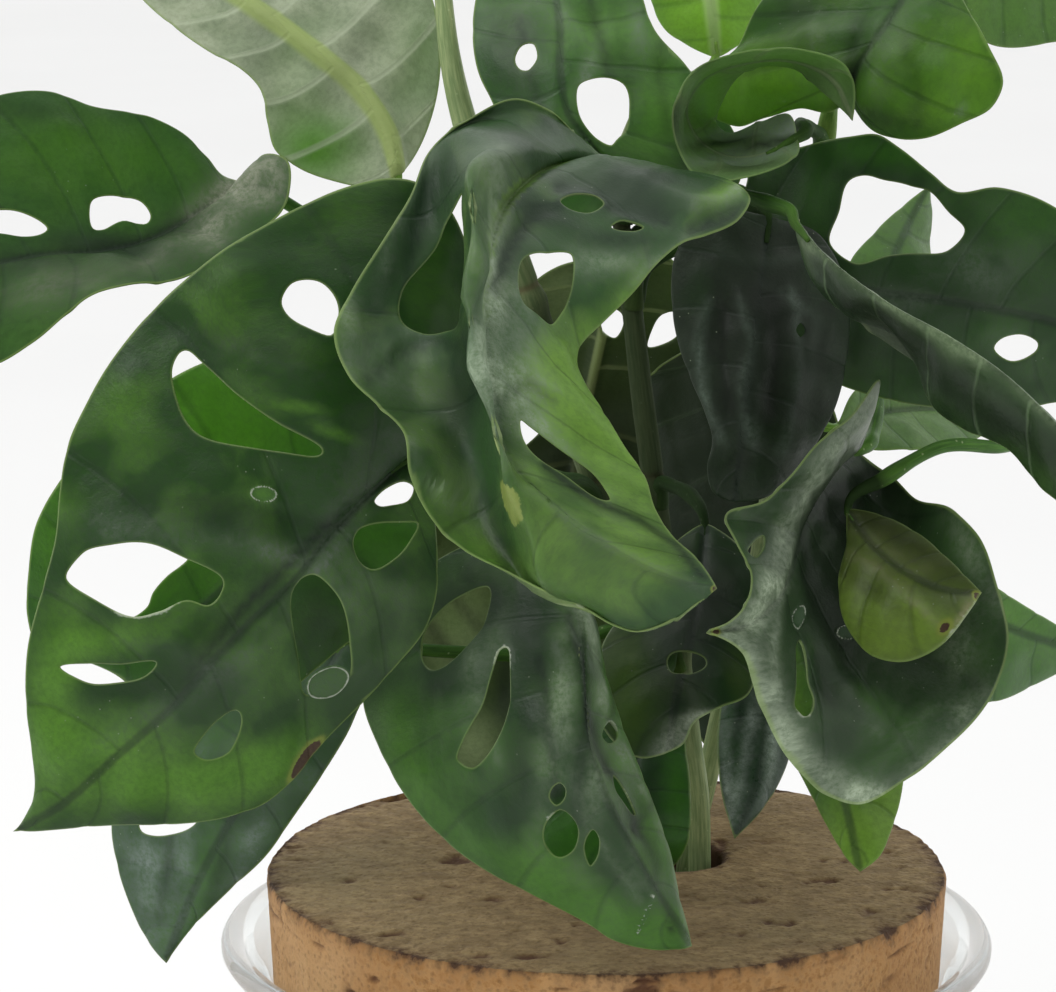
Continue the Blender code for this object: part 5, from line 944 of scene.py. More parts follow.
def fine_mesh(blade, holes, slots, spots):
    """(s, t), the flat positions, distance to the nearest edge and the triangles."""
    left, right = margin_shares(blade, -1.0, RIM), margin_shares(blade, 1.0, RIM)
    edge = (
        [(0.0, 0.0)]
        + [(a, -1.0) for a in left]
        + [(1.0, 0.0)]
        + [(a, 1.0) for a in right[::-1]]
    )
    loops = [np.array(edge)]
    outlines = [[blade.find(u, v, side) for u, v in line] for line, side in holes]
    for picks in outlines + [slot(*numbers) for numbers in slots]:
        fine = ring(picks, 96)
        p = blade.at(fine[:, 0], fine[:, 1])
        long = np.linalg.norm(p - np.roll(p, 1, axis=0), axis=1).sum()
        loops.append(ring(picks, max(14, int(round(long / RIM)))))
    flats = [blade.flat(loop[:, 0], loop[:, 1]) for loop in loops]
    s_at, wide = half_widths(blade)
    points = []
    for k, (loop, flat) in enumerate(zip(loops, flats)):
        points.append(offset_loop(blade, loop, flat, BAND, k > 0))
        points.append(offset_loop(blade, loop, flat, 2.2 * BAND, k > 0))
    ns = max(4, int(round(blade.length / H)))
    rows = []
    for i in range(1, ns):
        s = i / ns
        for sign in (-1, 1):
            w = float(np.interp(s, s_at, wide[sign]))
            nt = max(1, int(round(w / H)))
            steps = np.arange(0 if sign > 0 else 1, nt) + (0.5 if i % 2 else 0.0)
            if sign > 0:
                steps[0] = 0.0
            rows.append(np.stack([np.full(len(steps), s), sign * steps / nt], axis=1))
            if w > 3e-3:
                near = sign * np.array([0.35e-3, 0.75e-3]) / w
                rows.append(np.stack([np.full(2, s), near], axis=1))
                rows.append(np.stack([np.full(1, s - 0.5 / ns), near[:1]], axis=1))
    points += rows
    for u, v, ru, rv, turn in spots:
        centre = blade.find(u, v)
        uv0 = elevation(blade.at([centre[0]], [centre[1]]))[0]
        e = 1e-3
        a = (elevation(blade.at([centre[0] + e], [centre[1]]))[0] - uv0) / e
        b = (elevation(blade.at([centre[0]], [centre[1] + e]))[0] - uv0) / e
        inv = np.linalg.inv(np.stack([a, b], axis=1))
        for share in (0.15, 0.45, 0.7, 0.84, 0.92, 1.0, 1.08, 1.16, 1.35):
            n = max(6, int(share * (ru + rv) * 3.14 / 2.2))
            ang = np.arange(n) * 2 * math.pi / n + share
            x, y = ru * share * np.cos(ang), rv * share * np.sin(ang)
            c, d = math.cos(turn), math.sin(turn)
            shift = np.stack([u - uv0[0] + x * c - y * d, v - uv0[1] + x * d + y * c], axis=1)
            points.append(centre + shift @ inv.T)
    inner = np.concatenate(points)
    inner = inner[(inner[:, 0] > 0.002) & (inner[:, 0] < 0.998) & (np.abs(inner[:, 1]) < 0.9995)]
    xy = blade.flat(inner[:, 0], inner[:, 1])
    keep = inside(xy, flats[0])
    for flat in flats[1:]:
        keep &= ~inside(xy, flat)
    inner, xy = inner[keep], xy[keep]
    far = loop_distance(xy, flats)
    keep = far > 0.62 * BAND
    inner, xy, far = inner[keep], xy[keep], far[keep]
    # thin out points that nearly coincide
    cell = 0.26e-3
    order = np.argsort(far)
    key = np.round(xy[order] / cell).astype(np.int64)
    _, first = np.unique(key[:, 0] * 1000003 + key[:, 1], return_index=True)
    pick = order[np.sort(first)]
    inner, xy, far = inner[pick], xy[pick], far[pick]
    st = np.concatenate(loops + [inner])
    flat = np.concatenate(flats + [xy])
    far = np.concatenate([np.zeros(sum(map(len, loops))), far])
    edges, at = [], 0
    for loop in loops:
        n = len(loop)
        edges += [(at + i, at + (i + 1) % n) for i in range(n)]
        at += n
    _, _, faces, origin, _, _ = delaunay_2d_cdt(
        [Vector(p) for p in flat * 1000.0], edges, [], 1, 1e-6
    )
    index = np.array([o[0] if o else -1 for o in origin])
    tris = index[np.array(faces)]
    tris = tris[(tris >= 0).all(axis=1)]
    middle = flat[tris].mean(axis=1)
    keep = np.ones(len(tris), bool)
    for loop in flats[1:]:
        keep &= ~inside(middle, loop)
    tris = tris[keep]
    p = flat[tris]
    e, f = p[:, 1] - p[:, 0], p[:, 2] - p[:, 0]
    turn = e[:, 0] * f[:, 1] - e[:, 1] * f[:, 0]
    tris[turn > 0] = tris[turn > 0][:, ::-1]
    return st, flat, far, tris


def vertex_normals(points, tris):
    face = np.cross(points[tris[:, 1]] - points[tris[:, 0]], points[tris[:, 2]] - points[tris[:, 0]])
    out = np.zeros_like(points)
    for k in range(3):
        for axis in range(3):
            out[:, axis] += np.bincount(tris[:, k], face[:, axis], len(points))
    return unit(out)


def blobs(uv, t, items):
    """Sum of soft spots: (u, v, half width, half height, turn in degrees, strength[, t low, t high])."""
    out = np.zeros(len(uv))
    for item in items:
        u, v, ru, rv, turn, value = item[:6]
        c, d = math.cos(math.radians(turn)), math.sin(math.radians(turn))
        x, y = uv[:, 0] - u, uv[:, 1] - v
        a, b = (x * c + y * d) / ru, (-x * d + y * c) / rv
        add = value * np.exp(-(a * a + b * b))
        if len(item) > 6:
            add = add * ((t >= item[6]) & (t <= item[7]))
        out += add
    return out


def line_distance(uv, line):
    """Distance on the elevation, in pixels, of each point to a drawn line."""
    best = np.full(len(uv), 1e9)
    for a, b in zip(line, line[1:]):
        a = np.array(a, float)
        ab = np.array(b, float) - a
        q = np.clip(((uv - a) @ ab) / (ab @ ab), 0, 1)
        best = np.minimum(best, np.linalg.norm(uv - a - q[:, None] * ab, axis=1))
    return best


def ring_marks(uv, items, wide):
    """Thin closed lines round ellipses, and what is inside them."""
    line, fill = np.zeros(len(uv)), np.zeros(len(uv))
    for u, v, ru, rv, turn in items:
        c, d = math.cos(turn), math.sin(turn)
        x, y = uv[:, 0] - u, uv[:, 1] - v
        a, b = (x * c + y * d) / ru, (-x * d + y * c) / rv
        far = np.sqrt(a * a + b * b)
        line = np.maximum(line, np.exp(-(((far - 1) / wide) ** 2)))
        fill = np.maximum(fill, 1 - smooth(0.86, 1.0, far))
    return line, fill


# ----------------------------------------------------------- how a leaf looks
#
# Colours are what the eye names. veins: side veins on each half. quilt: how far
# the blade swells between them, in mm. Glow spots are painted light, the blade
# painted brighter where light shines on and through it. Dust spots are a grey bloom
# with painted sheen. Shade spots are painted shade, darkest there, towards the dark
# tone. Each as spots on the elevation. rings: scars and dried drops.
# sear: dead brown tissue.

# bloom: an even share of the grey film, part bloom and part painted sheen
TONES = {
    "dark": dict(deep="#234216", lit="#4c8420", under="#5f7a4a", trans="#64a01c", clear=0.30, bloom_and_sheen=0.06),
    "mid": dict(deep="#2a4c1c", lit="#538626", under="#738c5a", trans="#6ea424", clear=0.32, bloom_and_sheen=0.08),
    "fresh": dict(deep="#38602a", lit="#74a03c", under="#849a66", trans="#80b634", clear=0.32, bloom_and_sheen=0.08),
    "dusty": dict(deep="#2f4630", lit="#507638", under="#82907a", trans="#66962e", clear=0.22, bloom_and_sheen=0.40),
    "pale": dict(deep="#5a803e", lit="#8cae58", under="#a0b088", trans="#9cc652", clear=0.38, bloom_and_sheen=0.18),
    "under": dict(deep="#3a602a", lit="#609238", under="#8c9c82", trans="#84b046", clear=0.32, bloom_and_sheen=0.10),
    "olive": dict(deep="#405422", lit="#749034", under="#8c9a50", trans="#90ac3e", clear=0.36, bloom_and_sheen=0.10),
    "new": dict(deep="#6a9a3c", lit="#a0cc52", under="#acce70", trans="#b8de5e", clear=0.44, bloom_and_sheen=0.04),
}

LOOKS = {
    "leaf_01": dict(
        veins=7, film="#5f6c5c", quilt=1.25, pleat=0.20, lit="#6a9c36", bloom_and_sheen=0.10, deep="#224414", groove=0.6, thread=0.24, thread_tone="#14281a",
        painted_glow=[(127, 402, 34, 30, -20, 0.48), (224, 292, 60, 26, -32, 0.16), (320, 208, 80, 22, -12, 0.15), (135, 450, 34, 40, -20, 0.3), (72, 505, 22, 34, 0, 0.45), (52, 700, 26, 80, 5, 1.0), (90, 750, 60, 34, -15, 0.8), (180, 782, 100, 22, -8, 1.1), (276, 752, 45, 22, -35, 0.8), (300, 407, 22, 5, 6, 0.8), (334, 433, 24, 5, 18, 0.7), (264, 494, 11, 6, 5, 1.0), (430, 262, 50, 70, 0, 0.25), (430, 640, 8, 60, 20, 0.25), (100, 640, 50, 16, -8, 0.6)],
        shade=[(392, 440, 40, 60, 0, 0.2), (228, 520, 120, 16, 12, 0.45), (404, 610, 28, 60, 0, 0.35), (225, 630, 70, 26, -45, 0.4), (130, 690, 50, 14, -10, 0.4), (250, 345, 80, 12, 12, 0.3), (390, 230, 30, 50, 0, 0.3), (300, 552, 110, 5, -44, 0.8), (212, 648, 60, 4, -50, 0.5)],
        dust_and_sheen=[(312, 574, 80, 5, -46, 0.75), (205, 690, 60, 26, -30, 0.38), (330, 468, 50, 16, -35, 0.35), (125, 527, 60, 16, 4, 0.6), (270, 552, 60, 14, 14, 0.6), (350, 500, 50, 16, -40, 0.65), (345, 590, 26, 40, 0, 0.3), (360, 640, 40, 70, 0, 0.3), (255, 355, 60, 10, 18, 0.35), (400, 590, 14, 50, 0, 0.3), (120, 730, 50, 12, -30, 0.35), (410, 420, 20, 50, 30, 0.5)],
        films=[(327, 682, 21, 14, math.radians(-28))],
        rings=[(264, 494, 13, 7.5, math.radians(6))],
        torn_and_glint=[(150, 612, 52, 9, -4, 1.3), (392, 490, 24, 10, -40, 0.5), (264, 503, 12, 5, 0, 0.5)],
        sear=[(306, 759, 22, 5.0, -52, 1.5), (298, 757, 30, 11, -50, 0.24)],
        folds=[([(150, 545), (210, 538), (262, 548), (300, 560)], 9, 0.35, 0.35), ([(180, 500), (240, 505), (300, 520), (345, 525)], 9, -0.3, -0.3), ([(190, 700), (240, 660), (300, 610), (340, 590)], 12, 0.3, 0.25), ([(110, 640), (170, 650), (210, 668)], 8, 0.25, 0.2)],
    ),
    "leaf_02": dict(
        veins=8, dark="#1d3020", deep="#34562c", lit="#8ab64c", film="#a6b89c", quilt=0.7, pleat=0.36, rib=0.22, rib_tone="#2a4a2c", clear=0.30, rough=0.36, groove=0.42,
        painted_glow=[(566, 385, 40, 60, 0, 0.75), (600, 430, 40, 90, -38, 0.85), (650, 550, 50, 24, 34, 0.35), (636, 300, 50, 26, -42, 0.7), (722, 196, 34, 9, -35, 0.7), (600, 590, 60, 22, 18, 0.5), (640, 560, 40, 16, 34, 0.5), (455, 520, 34, 46, -35, 0.45), (535, 520, 24, 50, -24, 0.45), (500, 560, 30, 20, 20, 0.45), (492, 270, 16, 44, 18, 1.2, -0.03, 0.04), (520, 190, 34, 34, 0, 1.3, -0.03, 0.04), (570, 166, 34, 20, 0, 1.0, -0.03, 0.04)],
        shade=[(404, 385, 50, 60, 0, 0.35, -1, -0.44), (378, 300, 18, 70, 18, 0.6, -1, -0.44), (430, 200, 24, 70, 24, 0.8, -1, -0.44), (452, 430, 20, 80, 0, 0.7, -1, -0.40), (468, 360, 14, 60, 0, 0.9, -1, -0.32), (500, 540, 14, 60, -25, 0.8, -1, -0.34), (508, 235, 20, 40, 0, 0.5), (548, 215, 40, 12, 20, 0.9), (618, 240, 40, 10, 0, 0.8), (520, 140, 40, 14, 0, 0.6), (575, 488, 50, 4, 35, 0.5), (505, 300, 10, 60, 0, 0.2), (640, 210, 40, 8, 0, 0.5), (650, 180, 60, 15, 2, 0.95), (470, 118, 46, 9, -20, 0.6), (545, 122, 30, 8, 30, 0.6), (715, 224, 34, 8, -16, 0.9), (516, 158, 60, 20, -10, 0.5), (630, 200, 48, 18, 8, 0.75), (560, 185, 40, 12, 0, 0.4)],
        dust_and_sheen=[(560, 180, 80, 14, 8, 0.22), (490, 320, 13, 150, 2, 1.3, -0.31, 1), (520, 330, 20, 60, 8, 0.7, -0.3, 1), (590, 262, 60, 14, 0, 0.4), (424, 158, 10, 70, 34, 0.4, -1, -0.44), (350, 325, 9, 50, 0, 0.6, -1, -0.44), (392, 380, 50, 10, 24, 0.3, -1, -0.44), (500, 150, 46, 10, -10, 0.4), (556, 440, 9, 90, -40, 0.45), (530, 410, 22, 40, 0, 0.6, -0.3, 1), (410, 400, 50, 60, 0, 0.12, -1, -0.44), (455, 505, 30, 30, 0, 0.15, -1, -0.34), (660, 260, 40, 6, -40, 0.5), (738, 186, 20, 6, -60, 0.7)],
        torn_and_glint=[(584, 602, 8, 6, 0, 1.2), (570, 203, 14, 14, 0, 0.5)],
        scars=[(512, 502, 25, 8.5, 66)],
        folds=[([(470, 300), (486, 250), (516, 200), (547, 182), (603, 168)], 9, 1.1, 0.0, -0.3, 1), ([(494, 290), (508, 250), (534, 214), (566, 202), (600, 198)], 8, -1.0, -0.9, -0.3, 1), ([(560, 188), (600, 196), (632, 214), (668, 222)], 8, -0.9, -0.8, -0.3, 1), ([(600, 178), (640, 186), (684, 206), (720, 206)], 10, 1.0, 0.15, -0.3, 1), ([(478, 330), (470, 400), (476, 460), (492, 520), (520, 570)], 9, 0.8, 0.3, -0.3, 1), ([(498, 400), (530, 382), (552, 400)], 7, -0.4, -0.4, -0.3, 1), ([(500, 390), (524, 372), (556, 392)], 5, 0.4, 0.3, -0.3, 1), ([(545, 465), (569, 484), (605, 505), (641, 521), (678, 546), (703, 577)], 6, -0.8, -0.9, -0.3, 1), ([(530, 490), (570, 520), (620, 548), (670, 572), (700, 586)], 8, 0.7, 0.2, -0.3, 1), ([(690, 232), (720, 222), (742, 206)], 7, -0.6, -0.6, -0.3, 1), ([(690, 214), (716, 204), (738, 190)], 7, 0.6, 0.3, -0.3, 1), ([(370, 380), (400, 352), (440, 340), (460, 350)], 9, -0.4, -0.5, -1, -0.4), ([(372, 360), (410, 330), (440, 318)], 9, 0.4, 0.25, -1, -0.4), ([(400, 190), (390, 240), (380, 300)], 9, 0.5, 0.25, -1, -0.4), ([(428, 180), (414, 240), (404, 300)], 9, -0.5, -0.5, -1, -0.4), ([(410, 440), (424, 480), (450, 510)], 9, 0.4, 0.3, -1, -0.4)],
        sear=[(717, 589, 6, 5, 0, 1.0)],
    ),
    "leaf_03": dict(
        veins=7, deep="#20401a", lit="#588a30", film="#8c9e80", rib=0.5, pleat=0.44, quilt=0.7,
        painted_glow=[(612, 690, 10, 60, -6, 0.9), (640, 770, 10, 50, -24, 0.9), (672, 840, 12, 60, -18, 0.9), (398, 720, 40, 70, -8, 0.4), (430, 800, 60, 40, 35, 0.6), (520, 868, 70, 24, 24, 0.7), (606, 918, 70, 30, 16, 0.9), (664, 930, 30, 22, 0, 0.8), (622, 700, 24, 90, 8, 1.0, 0.02, 1), (655, 830, 22, 90, 8, 1.0, 0.02, 1), (560, 850, 40, 40, 0, 0.5), (440, 600, 40, 26, -30, 0.2)],
        shade=[(470, 600, 60, 26, -20, 0.65), (520, 770, 14, 60, 8, 0.6), (530, 650, 22, 70, 0, 0.55), (440, 690, 30, 14, -30, 0.4), (585, 740, 8, 100, 6, 0.7, -1, 0.0), (500, 620, 30, 30, 0, 0.4), (375, 690, 14, 60, 0, 0.3), (612, 700, 4, 60, 4, 0.5), (650, 800, 4, 50, 26, 0.5)],
        dust_and_sheen=[(500, 640, 30, 60, 0, 0.25), (560, 700, 16, 120, 10, 0.6), (592, 800, 18, 70, 10, 0.5), (470, 700, 20, 60, 0, 0.2), (628, 760, 12, 120, 8, 0.4, 0.02, 1), (589, 635, 26, 2.6, 74, 0.9), (598, 680, 24, 2.6, 85, 0.9), (606, 720, 24, 2.6, 73, 0.9), (626, 765, 32, 3, 61, 0.9), (656, 825, 40, 3, 65, 0.9), (681, 902, 46, 3, 78, 0.9), (640, 880, 40, 50, 10, 0.3)],
        rings=[(646, 914, 1.6, 20, math.radians(24))],
        folds=[([(582, 610), (596, 660), (600, 700), (612, 740), (640, 790), (672, 860), (690, 945)], 7, 1.1, 1.0), ([(568, 616), (582, 664), (587, 706), (598, 750), (624, 800), (654, 866), (672, 930)], 7, -0.9, -0.9), ([(560, 640), (566, 700), (572, 760), (590, 820)], 10, 0.6, 0.15), ([(540, 660), (548, 720), (556, 780)], 8, -0.5, -0.5), ([(470, 640), (480, 700), (500, 760)], 10, 0.4, 0.2), ([(640, 840), (660, 880), (668, 920)], 6, 0.5, 0.5), ([(600, 840), (624, 880), (640, 900)], 6, 0.4, 0.35)],
        torn_and_glint=[(504, 655, 12, 20, 0, 1.3), (548, 812, 8, 12, 0, 1.0), (611, 726, 8, 12, 0, 1.3), (600, 606, 10, 14, 0, 0.8), (625, 800, 10, 20, 0, 0.7), (690, 900, 12, 60, 0, 0.5)],
    ),
    "leaf_04": dict(
        veins=7, deep="#2b4426", lit="#456f2c", film="#b2c2a6", dark="#1b251a", pleat=0.28, quilt=0.7, bloom_and_sheen=0.10, rough=0.30, clear=0.2,
        painted_glow=[(962, 560, 30, 60, 20, 0.3), (990, 650, 20, 60, 0, 0.3), (900, 738, 60, 24, -30, 0.4), (872, 702, 26, 9, 40, 1.2), (812, 640, 6, 30, 0, 0.4)],
        shade=[(850, 540, 40, 70, 0, 0.9), (838, 500, 30, 20, -35, 0.9), (850, 640, 26, 50, 0, 0.75), (822, 600, 14, 50, -20, 0.7), (880, 480, 30, 14, 30, 0.7), (905, 560, 26, 40, 0, 0.3), (830, 705, 12, 40, -20, 0.4)],
        dust_and_sheen=[(750, 672, 45, 14, 65, 1.1), (780, 735, 42, 18, 58, 1.15), (828, 780, 42, 15, 35, 1.2), (868, 796, 34, 10, 5, 1.0), (865, 415, 44, 9, -62, 1.1), (826, 462, 46, 10, -54, 1.0), (790, 526, 48, 11, -66, 1.05), (768, 590, 40, 10, -68, 1.0), (742, 622, 26, 12, -30, 0.9), (975, 700, 30, 14, -50, 0.5), (935, 760, 40, 10, -35, 0.5), (950, 640, 30, 60, 20, 0.25), (975, 560, 10, 50, -25, 0.4)],
        rings=[(800, 617, 5, 11, 0.1), (846, 633, 8, 6, 0.5), (801, 709, 3, 5, -0.4)],
        folds=[([(872, 405), (830, 455), (795, 515), (782, 575), (772, 640), (775, 700)], 8, 0.7, 0.35), ([(800, 500), (806, 560), (812, 620), (830, 700)], 9, -0.5, -0.3), ([(846, 690), (866, 712), (880, 738)], 9, 0.5, 0.15), ([(900, 740), (940, 700), (970, 640)], 12, 0.4, 0.1)],
        torn_and_glint=[(779, 560, 8, 30, 12, 0.9), (745, 520, 30, 12, 0, 0.5), (803, 712, 8, 10, 0, 1.3)],
        sear=[(716, 632, 5, 4, 0, 0.9)],
    ),
    "leaf_05": dict(
        veins=5, film="#a09c78", deep="#4a5c28", lit="#7c9a3a", dark="#2c3018", bloom_and_sheen=0.10,
        painted_glow=[(872, 632, 46, 34, 10, 1.1), (925, 625, 40, 26, 30, 0.8), (840, 610, 20, 30, 0, 0.4)],
        shade=[(872, 522, 44, 14, 35, 0.7), (930, 556, 44, 8, 35, 0.4)],
        folds=[([(846, 552), (880, 572), (912, 600), (938, 624)], 8, 0.8, 0.35), ([(842, 572), (876, 592), (904, 616)], 8, -0.4, -0.35)],
        dust_and_sheen=[(964, 617, 24, 5, -52, 1.6), (900, 556, 40, 6, 30, 0.15)],
        torn_and_glint=[(955, 625, 24, 14, -40, 1.3), (975, 600, 10, 12, 0, 0.9)],
        sear=[(945, 627, 11, 7, -50, 0.75), (977, 596, 5, 7, -30, 0.8)],
    ),
    "leaf_06": dict(veins=5, deep="#4c7430", lit="#94bc50", trans="#98c444", painted_glow=[(862, 860, 34, 50, 0, 1.4), (890, 780, 20, 40, 0, 0.6), (790, 700, 20, 40, 0, 0.4)]),
    "leaf_07": dict(veins=6, deep="#3f6c30", lit="#6a9a44", slots=[], painted_glow=[(1010, 620, 50, 30, 20, 0.5)], dust_and_sheen=[(1030, 660, 30, 30, 0, 0.3)]),
    "leaf_08": dict(
        veins=7, film="#80946f", deep="#2a4224", lit="#4a7030", dark="#1e2a1c", keel=0.25, quilt=0.5, bloom_and_sheen=0.02, pleat=0.25, thread_tone="#7f9a70", thread=0.45,
        dust_and_sheen=[(866, 282, 70, 9, 38, 1.2), (960, 340, 60, 9, 28, 1.2), (1045, 402, 60, 10, 46, 1.2), (810, 236, 12, 24, -30, 1.0), (972, 350, 30, 14, 20, 0.8), (1000, 400, 60, 4, 38, 0.25)],
        painted_glow=[(1040, 470, 40, 20, 40, 0.4)],
        shade=[(860, 309, 30, 9, 24, 1.0), (905, 338, 44, 13, 34, 1.0), (950, 385, 44, 22, 42, 0.9), (1000, 420, 44, 20, 36, 0.9), (1048, 458, 34, 18, 42, 0.7)],
    ),
    "leaf_09": dict(
        veins=7, deep="#284420", lit="#4c7a30", film="#62725e", dark="#1e281d", quilt=0.9, rough=0.32, bloom_and_sheen=0.24,
        painted_glow=[(900, 156, 50, 16, 8, 0.6), (1030, 216, 50, 30, 0, 0.6), (860, 150, 40, 14, 0, 0.5), (1000, 330, 50, 20, 0, 0.35), (820, 200, 20, 40, 0, 0.5)],
        shade=[(790, 280, 60, 60, 0, 0.7), (930, 300, 90, 20, 4, 0.35), (860, 350, 60, 30, 0, 0.5), (775, 190, 26, 24, 0, 0.4)],
        dust_and_sheen=[(970, 270, 40, 30, 0, 0.5), (1010, 340, 26, 12, 0, 0.5), (900, 300, 60, 12, 10, 0.4)],
    ),
    "leaf_10": dict(veins=5, line=0.3),
    "leaf_11": dict(
        veins=6, deep="#32581c", lit="#68902e", film="#788c6c", thread=0.3, clear=0.34, pleat=0.4, spec=0.32,
        folds=[([(860, 20), (846, 60), (850, 100)], 10, -0.7, -0.5), ([(880, 10), (872, 60), (880, 110)], 10, 0.6, 0.2), ([(930, 20), (950, 70), (960, 120)], 12, 0.5, 0.1), ([(905, 40), (915, 80), (920, 120)], 10, -0.4, -0.3), ([(820, 10), (815, 40), (825, 60)], 8, 0.5, 0.3)],
        painted_glow=[(940, 60, 50, 60, 0, 0.7), (780, 88, 70, 36, 0, 1.6), (960, 110, 40, 20, 0, 0.6), (730, 90, 26, 26, 0, 0.7), (975, 70, 22, 40, 0, 0.8)],
        shade=[(852, 78, 9, 40, 20, 0.7), (880, 118, 50, 10, 10, 0.4), (800, 10, 30, 40, 0, 0.4)],
        dust_and_sheen=[(838, 46, 24, 50, 22, 0.6), (800, 10, 20, 50, 0, 0.35), (900, 30, 14, 60, 30, 0.4), (962, 112, 5, 4, 0, 2.0)],
    ),
    "leaf_12": dict(
        veins=5, quilt=0.35, film="#98a49a", film_under=0.9, under="#6f8c58", deep="#4c7038", lit="#648f40", trans="#86b43c", clear=0.45, rib=0.25, dark="#1c2c18", under_vein="#7c9064", under_rib="#84966c", pleat=0.45, bloom_and_sheen=0.06, keel=0.6, line=0.3,
        shade=[(672, 118, 9, 40, 0, 0.8), (725, 143, 34, 4, -6, 1.1), (770, 145, 34, 4, -12, 1.1), (750, 168, 44, 4, -5, 0.7), (852, 100, 10, 30, 0, 0.4), (705, 62, 20, 8, -40, 0.4)],
        painted_glow=[(704, 116, 12, 26, 0, 0.8), (712, 90, 14, 26, 0, 0.5), (790, 60, 50, 10, 0, 0.4), (850, 80, 14, 30, 0, 0.5)],
        dust_and_sheen=[(702, 116, 8, 30, 0, 0.6), (750, 132, 60, 6, -6, 1.6), (745, 157, 56, 7, -6, 1.6), (780, 128, 30, 10, -20, 1.2), (690, 90, 5, 30, 20, 0.4)],
    ),
    "leaf_13": dict(veins=6, line=0.3),
    "leaf_14": dict(veins=5, rib=0.9, rib_tone="#c4dc98", rib_wide=1.3, thread=0.15, painted_glow=[(712, 20, 60, 60, 0, 0.6)]),
    "leaf_15": dict(
        veins=6, deep="#345c26", lit="#6c9a46", film="#82937c", pleat=0.5,
        folds=[([(560, 0), (580, 40), (590, 90), (600, 130)], 9, 0.8, 0.35), ([(590, 0), (604, 50), (612, 100)], 8, -0.7, -0.5), ([(640, 10), (634, 60), (640, 120)], 9, 0.7, 0.2), ([(664, 30), (660, 80), (668, 130)], 9, -0.5, -0.3), ([(520, 20), (530, 70), (540, 110)], 9, -0.5, -0.4)],
        painted_glow=[(600, 30, 60, 40, 0, 0.8), (660, 110, 30, 60, 0, 0.9), (560, 120, 30, 30, 0, 0.4)],
        shade=[(510, 50, 30, 50, 0, 0.6), (560, 140, 40, 24, 0, 0.5), (625, 90, 14, 50, 0, 0.3), (700, 160, 40, 24, 0, 0.6)],
        dust_and_sheen=[(530, 20, 30, 50, 20, 0.5), (480, 30, 16, 40, 0, 0.4), (540, 100, 20, 30, 0, 0.4), (590, 66, 8, 40, 24, 0.6), (640, 40, 8, 40, -14, 0.5)],
    ),
    "leaf_16": dict(
        veins=7, keel=2.1, under="#b6c0a2", under_vein="#c6d2b2", under_rib="#adc074", quilt=0.9, pleat=0.3,
        painted_glow=[(312, 150, 46, 40, 20, 1.0), (420, 60, 30, 60, 0, 0.3), (300, 60, 30, 40, 0, 0.2)],
        shade=[(350, 60, 16, 50, 30, 0.25), (260, 40, 20, 40, 20, 0.2)],
    ),
    "leaf_17": dict(
        veins=7, film="#8f9480", deep="#284e16", lit="#406c14", rough=0.48, spec=0.25, bloom_and_sheen=0.0, quilt=0.8, under="#66805c",
        painted_glow=[(50, 150, 90, 44, 8, 0.7), (160, 160, 50, 34, 20, 0.6), (20, 340, 50, 20, -20, 0.3), (100, 300, 60, 8, -20, 0.2)],
        shade=[(110, 246, 60, 12, 6, 0.8), (30, 262, 60, 14, 0, 0.6), (170, 230, 40, 10, -20, 0.6), (30, 112, 60, 10, 6, 0.3), (60, 285, 70, 8, -14, 0.3)],
        dust_and_sheen=[(60, 286, 60, 24, -10, 0.40), (225, 208, 60, 22, -44, 1.3), (150, 262, 30, 10, -30, 0.4), (264, 180, 26, 24, 0, 0.9)],
    ),
    "leaf_18": dict(veins=6, deep="#30502a", lit="#4c7e2c", film="#84948a", bloom_and_sheen=0.28, pleat=0.3, painted_glow=[(205, 880, 16, 60, 12, 0.6), (300, 700, 30, 60, 0, 0.3), (218, 736, 30, 30, 0, 0.7), (166, 940, 20, 30, 0, 0.4)], dust_and_sheen=[(150, 880, 18, 60, -10, 0.6), (250, 850, 10, 60, 20, 0.6), (185, 850, 12, 70, 10, 0.45)], shade=[(240, 800, 30, 30, 0, 0.4), (168, 860, 5, 70, 8, 0.5), (222, 860, 6, 60, 16, 0.5)]),
    "leaf_19": dict(veins=6, deep="#32601c", lit="#5a902c", painted_glow=[(200, 430, 140, 110, 0, 0.95), (100, 560, 60, 60, 0, 0.5), (380, 560, 40, 50, 0, 0.5)], shade=[(320, 620, 40, 50, 0, 0.6), (330, 560, 30, 14, 0, 0.5)], dust_and_sheen=[(320, 650, 30, 30, 0, 0.4)]),
    "leaf_20": dict(veins=5, deep="#2a5420", lit="#447e26", painted_glow=[(562, 832, 40, 50, 0, 1.0), (676, 800, 14, 60, 0, 0.7), (600, 850, 30, 40, 0, 0.6)], shade=[(650, 780, 14, 60, 0, 0.8), (556, 792, 14, 14, 0, 1.0)]),
    "leaf_21": dict(veins=5, deep="#22391f", lit="#52682c", film="#b2bea6", dark="#1a2118", bloom_and_sheen=0.02, painted_glow=[(625, 690, 22, 60, 0, 0.9), (740, 680, 20, 40, 0, 0.5)], shade=[(700, 600, 50, 50, 0, 0.9), (680, 690, 20, 40, 0, 0.5)], dust_and_sheen=[(674, 742, 26, 12, -45, 1.3), (700, 716, 26, 5, -10, 0.9)]),
    "leaf_22": dict(veins=5, deep="#26402a", lit="#38682e", film="#a8b8aa", rough=0.28, bloom_and_sheen=0.15, pleat=0.5, dust_and_sheen=[(748, 740, 6, 70, 12, 1.1), (775, 720, 6, 70, 8, 1.0), (728, 780, 5, 40, 0, 0.8), (760, 700, 4, 50, 12, 0.5)], shade=[(762, 690, 9, 70, 10, 0.9), (738, 720, 6, 60, 8, 0.8), (790, 740, 6, 60, 8, 0.5)], painted_glow=[(735, 760, 6, 40, 0, 0.5)]),
